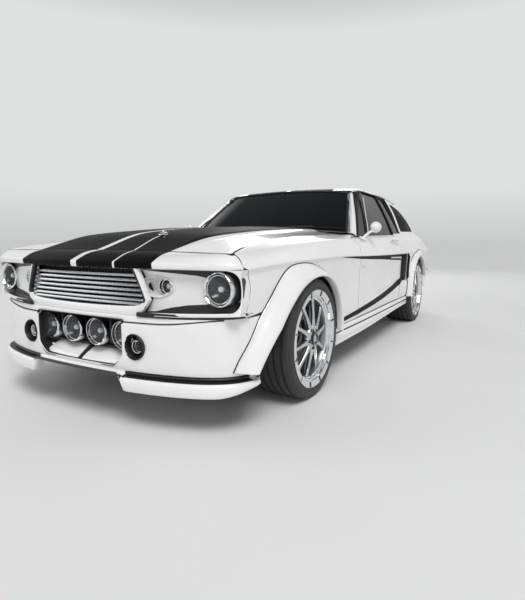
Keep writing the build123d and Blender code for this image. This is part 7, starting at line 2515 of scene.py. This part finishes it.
for sx in (-1, 1):
    a = math.radians(42)
    ex_, ez_ = np.array([math.cos(a), 0, -math.sin(a)]) , np.array([math.sin(a), 0, math.cos(a)])
    ex_, ez_ = ex_ * (1, 1, 1), ez_
    o = np.array([150.0, 0, 602.0])
    def tilt(sheet):
        v, f = sheet
        w = v[:, :1] * ex_ + v[:, 1:2] * np.array([0, 1, 0]) + v[:, 2:3] * ez_ + o
        return (w, f) if sx > 0 else mirrored((w, f))
    hd = subdivided("head", box_sheet(-62, 62, -1848, -1290, -42, 22, 6), 1)
    heads.append(tilt(hd))
    cv = subdivided("cover", box_sheet(-48, 48, -1838, -1300, 22, 84, 12), 2)
    covers.append(tilt(cv))
    for k in range(7):
        covers.append(tilt(box_sheet(-34 + k * 11 - 2, -34 + k * 11 + 2, -1790, -1350, 82, 88, 1.5)))
    for y in (-1820, -1690, -1450, -1320):
        for x in (-54, 54):
            covers.append(tilt(moved(lathe([(0, 8), (5, 8), (6, 5), (6, 0), (0, 0)], 6, "z"), None, (x, y, 24))))
    for k, y in enumerate((-1800, -1650, -1500, -1350)):
        pts_ = curve_through([(216 * sx, y, 560), (256 * sx, y + 4, 540), (272 * sx, y + (0 - k) * 14 + 30, 480), (262 * sx, -1400 + k * 12, 420)], 12)
        heads.append(tube(pts_, 19, 14))
    heads.append(tube(curve_through([(262 * sx, -1410, 420), (254 * sx, -1330, 360), (236 * sx, -1180, 300), (222 * sx, -1000, 240), (220 * sx, -800, 208), (220 * sx, -560, 205)], 20), 28, 18))
intake = [subdivided("manifold", box_sheet(-96, 96, -1800, -1330, 612, 668, 12), 2)]
for sx in (-1, 1):
    for y in (-1770, -1640, -1500, -1370):
        intake.append(tube(curve_through([(40 * sx, y * 0.5 + -1560 * 0.5, 668), (84 * sx, y, 676), (118 * sx, y, 640)], 8), 20, 14))
intake.append(subdivided("carb", box_sheet(-56, 56, -1640, -1490, 664, 716, 8), 2))
clean = lathe([(0, 792), (10, 792), (14, 786), (60, 782), (150, 778), (163, 774), (166, 768), (160, 764), (160, 730), (166, 726), (162, 720), (150, 716), (70, 712), (0, 712)], 72, "z", (0, -1562, 0))
wing = lathe([(0, 804), (5, 803), (7, 798), (8, 790), (0, 790)], 20, "z", (0, -1562, 0))
pul = []
for x, z, r, y0 in ((0, 372, 84, -1900), (0, 540, 68, -1900), (-150, 600, 42, -1898), (150, 500, 52, -1898)):
    pul.append(lathe([(0, y0 - 10), (16, y0 - 12), (20, y0 - 4), (r - 22, y0 - 2), (r - 12, y0 - 8), (r, y0 - 9), (r + 1, y0 - 6), (r - 7, y0), (r + 1, y0 + 6), (r, y0 + 9), (r - 10, y0 + 10), (20, y0 + 14), (18, y0 + 34), (0, y0 + 34)], 56, "y", (x, 0, z)))
belt_c = []
loop = [(-84, 372), (-66, 305), (0, 288), (66, 305), (84, 372), (198, 470), (196, 520), (150, 552), (66, 560), (0, 608), (-130, 640), (-180, 626), (-192, 590)]
lp = curve_through([(x, -1900, z) for x, z in loop + loop[:1]], 14)[:-1]
belt_c.append(sweep(lp, [(-5, -4), (5, -4), (6, 4), (-6, 4)], up=(0, 1, 0), closed=True))
fan = [lathe([(0, -1950), (20, -1950), (34, -1944), (36, -1930), (24, -1916), (0, -1910)], 40, "y", (0, 0, 540))]
for k in range(6):
    a = math.radians(k * 60)
    rows = []
    for r in steps(30, 172, 10):
        w = float(np.interp(r, [30, 70, 172], [22, 40, 52]))
        row = []
        for q in np.linspace(-1, 1, 7):
            tw = q * w
            row.append((r * math.cos(a) - tw * 0.78 * math.sin(a), -1932 + tw * 0.42, 540 + r * math.sin(a) + tw * 0.78 * math.cos(a)))
        rows.append(row)
    fan.append(skin(oriented(grid_sheet(np.array(rows)), (0, -1, 0)), 1, 2.4)[0])
hoses = [tube(curve_through([(120, -2030, 760), (110, -1980, 752), (60, -1900, 700), (30, -1840, 660)], 12), 21, 16),
         tube(curve_through([(-190, -2030, 410), (-170, -1990, 420), (-120, -1930, 460), (-60, -1880, 500)], 12), 21, 16)]
dist = lathe([(0, 700), (16, 700), (36, 690), (38, 662), (30, 652), (26, 600), (20, 560), (0, 560)], 36, "z", (60, -1300, 40))
wires = []
for sx in (-1, 1):
    for k, y in enumerate((-1800, -1650, -1500, -1350)):
        wires.append(tube(curve_through([(60, -1300, 736), (70 * sx + 20, -1330, 756), (96 * sx, y + 70, 742), (150 * sx, y + 30, 728), (222 * sx, y, 640), (214 * sx, y, 590)], 14), 4, 8))
piece("engine_block", joined(blk, *heads), [IRON], "chassis", replaces=("engine_block",), sharp_deg=38)
piece("engine_sump", pan_, [CHASSIS], "chassis", sharp_deg=50)
piece("engine_covers", joined(*covers), [VALVE], "chassis", sharp_deg=40)
piece("engine_intake", joined(*intake), [ALLOY_DARK], "chassis", sharp_deg=45)
piece("air_cleaner", joined(clean, wing), [CHROME], "chassis", sharp_deg=30)
piece("engine_pulleys", joined(*pul), [ALLOY_DARK], "chassis", sharp_deg=35)
piece("engine_belt_and_hoses", joined(*belt_c, *hoses), [HOSE], "chassis", sharp_deg=45)
piece("engine_fan", joined(*fan), [STEEL], "chassis", sharp_deg=40)
piece("ignition", joined(dist, *wires), [BLACK], "chassis", sharp_deg=45)
# inner fender aprons and battery
apr = []
for y in steps(-2090, -660, 46):
    apr.append([(440, y, 392), (446, y, 560), (470, y, 700), (560, y, 796), (700, y, 822), (742, y, 826)])
apr = oriented(grid_sheet(rounded(np.array(apr, float), [0, 40, 60, 50, 14, 0], 46, 4)), (-0.6, 0, 0.8))
apr = keep_low(apr, lambda p: p[:, 2] - (np.interp(p[:, 1], [-2120, -1900, -1600, -700], [770, 800, 822, 850]) - 4))
apr, _ = skin(apr, 0, 3)
piece("engine_bay_aprons", joined(apr, mirrored(apr)), [CHASSIS], "chassis", sharp_deg=40)
bat = [moved(subdivided("bat", box_sheet(-86, 86, -130, 130, -84, 84, 6), 1), None, (-352, -1890, 610))]
for k in range(6):
    bat.append(lathe([(0, 703), (9, 703), (11, 700), (11, 694)], 18, "z", (-352 + (-30 if k % 2 else 30), -1990 + k * 36, 0)))
piece("battery", joined(bat[0], *[skin(b_, 0, 1)[0] for b_ in bat[1:]]), [BLACK], "chassis", sharp_deg=35)

# ------------------------------------------------------------------ front suspension and knuckles
sub = [sweep(np.array([(x, -1450, 276 - 10 * (1 - (x / 395.0) ** 2)) for x in steps(-394, 394, 30)]), [(-44, -22), (44, -22), (48, -16), (48, 16), (44, 22), (-44, 22), (-48, 16), (-48, -16)])]
for sx in (-1, 1):
    for dy in (-1, 1):
        rows = []
        for t in np.linspace(0, 1, 14):
            x, y, z = 372 + (640 - 372) * t, -1461 + dy * (104 * (1 - t) + 12 * t), 279 * (1 - t) + 226 * t
            h, w = 17 - 8 * t, 16 - 3 * t
            rows.append([(x, y - w, z - h), (x, y + w, z - h), (x, y + w, z - h + 6), (x, y + 6, z - h + 8), (x, y + 6, z + h - 8), (x, y + w, z + h - 6), (x, y + w, z + h), (x, y - w, z + h), (x, y - w, z + h - 6), (x, y - 6, z + h - 8), (x, y - 6, z - h + 8), (x, y - w, z - h + 6)])
        g = np.array(rows, float)
        g = np.concatenate([g, g[:, :1]], axis=1)
        v_, f_ = grid_sheet(g)
        k = g.shape[1]
        f_ = f_ + [tuple(range(k - 1)), tuple(reversed([13 * k + j for j in range(k - 1)]))]
        a_ = weld((v_, f_))
        nb = normals_of(*a_)
        if float((nb * (a_[0] - a_[0].mean(0))).sum()) < 0:
            a_ = (a_[0], [tuple(reversed(q)) for q in a_[1]])
        sub.append(a_ if sx > 0 else mirrored(a_))
        sub.append(lathe([(12, -30), (22, -30), (24, -26), (24, 26), (22, 30), (12, 30)], 28, "y", (374 * sx, -1461 + dy * 104, 279), True))
    sub.append(lathe([(0, 246), (16, 245), (22, 238), (24, 226), (22, 214), (16, 208), (0, 206)], 28, "z", (640 * sx, -1461, 0)))
    # spring and damper on the lower arm
    coil = np.array([(520 * sx + 44 * math.cos(a), -1461 + 44 * math.sin(a), 262 + 26 * a / (2 * math.pi)) for a in np.linspace(0, 2 * math.pi * 9, 190)])
    sub.append(tube(coil, 7, 8))
    sub.append(lathe([(0, 520), (16, 520), (16, 400), (24, 396), (24, 270), (16, 262), (0, 262)], 28, "z", (520 * sx, -1461, 0)))
    sub.append(lathe([(0, 530), (60, 528), (64, 520), (60, 500), (52, 498), (50, 510), (0, 512)], 40, "z", (520 * sx, -1461, 0)))
piece("front_subframe", joined(*sub), [CHASSIS], "chassis", replaces=("front_subframe",), sharp_deg=38)
KN = [(-22, 246), (-30, 262), (-26, 300), (-34, 332), (-28, 372), (-20, 412), (-16, 430), (16, 430), (20, 412), (28, 372), (34, 332), (26, 300), (30, 262), (22, 246)]
for side, sx in (("left", 1), ("right", -1)):
    rows = []
    for x, k in ((650, 0.92), (654, 1.0), (672, 1.0), (690, 1.0), (695, 0.92)):
        rows.append([(x, -1461 + y * k, 338 + (z - 338) * (k * 0.5 + 0.5)) for y, z in KN + KN[:1]])
    g = np.array(rows, float)
    v_, f_ = grid_sheet(g)
    k = g.shape[1]
    f_ = f_ + [tuple(range(k - 1)), tuple(reversed([4 * k + j for j in range(k - 1)]))]
    up_ = weld((v_, f_))
    nb = normals_of(*up_)
    if float((nb * (up_[0] - up_[0].mean(0))).sum()) < 0:
        up_ = (up_[0], [tuple(reversed(q)) for q in up_[1]])
    hub2 = lathe([(0, 668), (40, 669), (46, 674), (46, 706), (42, 716), (34, 724), (30, 732), (22, 734), (19.5, 738), (19.5, 776), (17, 778), (0, 778)], 44, "x", (0, -1461, 332))
    arm_ = tube(curve_through([(669, -1436, 286), (668, -1390, 284), (666, -1340, 285), (664, -1316, 286)], 12), 11, 14)
    ball = lathe([(0, 302), (9, 300), (13, 292), (14, 284), (11, 274), (0, 271)], 24, "z", (664, -1318, 0))
    kn = joined(up_, hub2, arm_, ball)
    piece("knuckle_" + side, kn if sx > 0 else mirrored(kn), [IRON], "knuckle_" + side, replaces=("knuckle_" + side,), sharp_deg=38)

# ------------------------------------------------------------------ rear axle, prop shaft, springs, tank, exhaust
diff = lathe([(42, -250), (44, -170), (60, -138), (92, -104), (118, -70), (128, -36), (128, 36), (118, 70), (92, 104), (60, 138), (44, 170), (42, 250), (42, 560), (50, 566), (62, 568), (62, 584), (50, 586), (42, 588), (42, 612), (30, 616), (20, 616), (20, 689), (0, 689)], 56, "x", (0, 1282, 332))
diff2 = lathe([(0, -689), (20, -689), (20, -616), (30, -616), (42, -612), (42, -588), (50, -586), (62, -584), (62, -568), (50, -566), (42, -560), (42, -250)], 56, "x", (0, 1282, 332))
cover_ = lathe([(0, 139), (30, 137), (70, 124), (96, 104), (100, 92), (124, 88), (128, 82), (128, 70), (0, 70)], 48, "y", (0, 1282, 332))
nose_ = lathe([(0, -262), (26, -262), (40, -258), (42, -240), (52, -234), (60, -200), (66, -150), (84, -100), (90, -60), (0, -60)], 44, "y", (0, 1282, 332))
cb = [lathe([(0, 94), (6, 93), (7, 90), (7, 84), (0, 84)], 6, "y", (112 * math.cos(a), 1282, 332 + 112 * math.sin(a))) for a in np.linspace(0, 2 * math.pi, 10, endpoint=False)]
prop = lathe([(0, -596), (30, -596), (34, -590), (34, -566), (26, -560), (26, -546), (38, -536), (38, 960), (28, 972), (26, 986), (38, 992), (40, 1010), (38, 1030), (0, 1034)], 44, "y", (0, 0, 330))
piece("rear_axle", joined(diff, diff2, cover_, nose_, prop, *[skin(c_, 0, 1)[0] for c_ in cb]), [IRON], "chassis", replaces=("rear_axle",), sharp_deg=38)
lv = []
SP = [(880, 311), (980, 292), (1080, 279), (1282, 275), (1440, 296), (1600, 341), (1900, 435)]
sp_c = curve_through([(557, y, z) for y, z in SP], 22)
for k, (a, b) in enumerate(((880, 1900), (960, 1760), (1040, 1620), (1130, 1470))):
    seg = sp_c[(sp_c[:, 1] >= a - 2) & (sp_c[:, 1] <= b + 2)].copy()
    seg[:, 2] += 9 - k * 6.6
    lv.append(sweep(seg, [(-24, -2.8), (24, -2.8), (25, 0), (24, 2.8), (-24, 2.8), (-25, 0)]))
for y, z in ((880, 313), (1900, 437)):
    lv.append(lathe([(6, -27), (15, -27), (17, -24), (17, 24), (15, 27), (6, 27)], 28, "x", (557, y, z), True))
lv.append(box_sheet(529, 585, 1236, 1328, 252, 262, 2))
for y in (1250, 1314):
    for x in (533, 581):
        lv.append(tube(np.array([(x, y, 246), (x, y, 300), (x, y, 378)]), 5.5, 10, up=(0, 1, 0)))
lv.append(tube(curve_through([(533, 1250, 376), (545, 1250, 386), (569, 1250, 386), (581, 1250, 376)], 5), 5.5, 10))
lv.append(tube(curve_through([(533, 1314, 376), (545, 1314, 386), (569, 1314, 386), (581, 1314, 376)], 5), 5.5, 10))
l_ = joined(*lv)
piece("leaf_springs", joined(l_, mirrored(l_)), [IRON], "chassis", replaces=("leaf_springs",), sharp_deg=36)
tk = subdivided("tank2", box_sheet(-358, 358, 1562, 2058, 334, 506, 26), 2)
straps = []
for x in (-200, 200):
    straps.append(sweep(curve_through([(x, 1552, 500), (x, 1554, 400), (x, 1572, 334), (x, 1620, 329), (x, 2000, 329), (x, 2048, 334), (x, 2066, 400), (x, 2068, 500)], 22), [(-18, -1.5), (18, -1.5), (18, 1.5), (-18, 1.5)], up=(0, 0.05, 1)))
seam_ = np.array([(x, y, 424) for x, y in [(360 * math.copysign(abs(math.cos(a)) ** 0.24, math.cos(a)), 1810 + 250 * math.copysign(abs(math.sin(a)) ** 0.24, math.sin(a))) for a in np.linspace(0, 2 * math.pi, 90, endpoint=False)]])
piece("fuel_tank", joined(tk, tube(seam_, 5, 8, True)), [IRON], "chassis", replaces=("fuel_tank",), sharp_deg=50)
piece("tank_straps", joined(*straps), [STEEL], "chassis", sharp_deg=40)
ex_ = []
p_ = curve_through([(220, -560, 205), (220, 0, 205), (220, 760, 205), (222, 980, 210), (250, 1090, 240), (330, 1180, 300), (400, 1290, 440), (430, 1440, 430), (440, 1600, 396), (450, 1764, 386)], 26)
ex_.append(tube(p_, 28, 18))
ex_.append(lathe([(28, -300), (34, -296), (34, -270), (28, -266)], 24, "y", (220, 0, 205), True))
mf = lathe([(0, -162), (26, -160), (34, -154), (56, -146), (62, -138), (62, 138), (56, 146), (34, 154), (32, 160), (0, 162)], 48, "y")
mv = mf[0] * np.array([1.12, 1.0, 0.86]) + np.array([450, 1920, 385])
ex_.append((mv, mf[1]))
ex_.append(tube(curve_through([(456, 2076, 380), (460, 2090, 374), (460, 2120, 372)], 8), 31, 18))
for y in (1790, 2050):
    ex_.append(box_sheet(444, 470, y - 8, y + 8, 436, 452, 3))
e_ = joined(*ex_)
piece("exhaust", joined(e_, mirrored(e_)), [EXHAUST], "chassis", replaces=("exhaust",), sharp_deg=45)
hang = joined(*[tube(curve_through([(457, y, 444), (457, y - 4, 470), (457, y + 2, 500), (457, y, 524)], 10), 4, 8) for y in (1790, 2050)])
piece("exhaust_hangers", joined(hang, mirrored(hang)), [HOSE], "chassis", sharp_deg=45)


# ------------------------------------------------------------------ what is carried over from the construction, size, end
left_over = [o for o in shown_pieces() if o not in PIECES]
for o in left_over:
    if len(o.data.materials) == 0:
        o.data.materials.append(CHASSIS)
    for s_ in o.material_slots:
        s_.material = CHASSIS
print("carried over:", sorted(o.name for o in left_over))
print("triangles:", sum(sum(len(p.vertices) - 2 for p in o.data.polygons) for o in PIECES), "in", len(PIECES), "pieces")
bpy.context.view_layer.update()
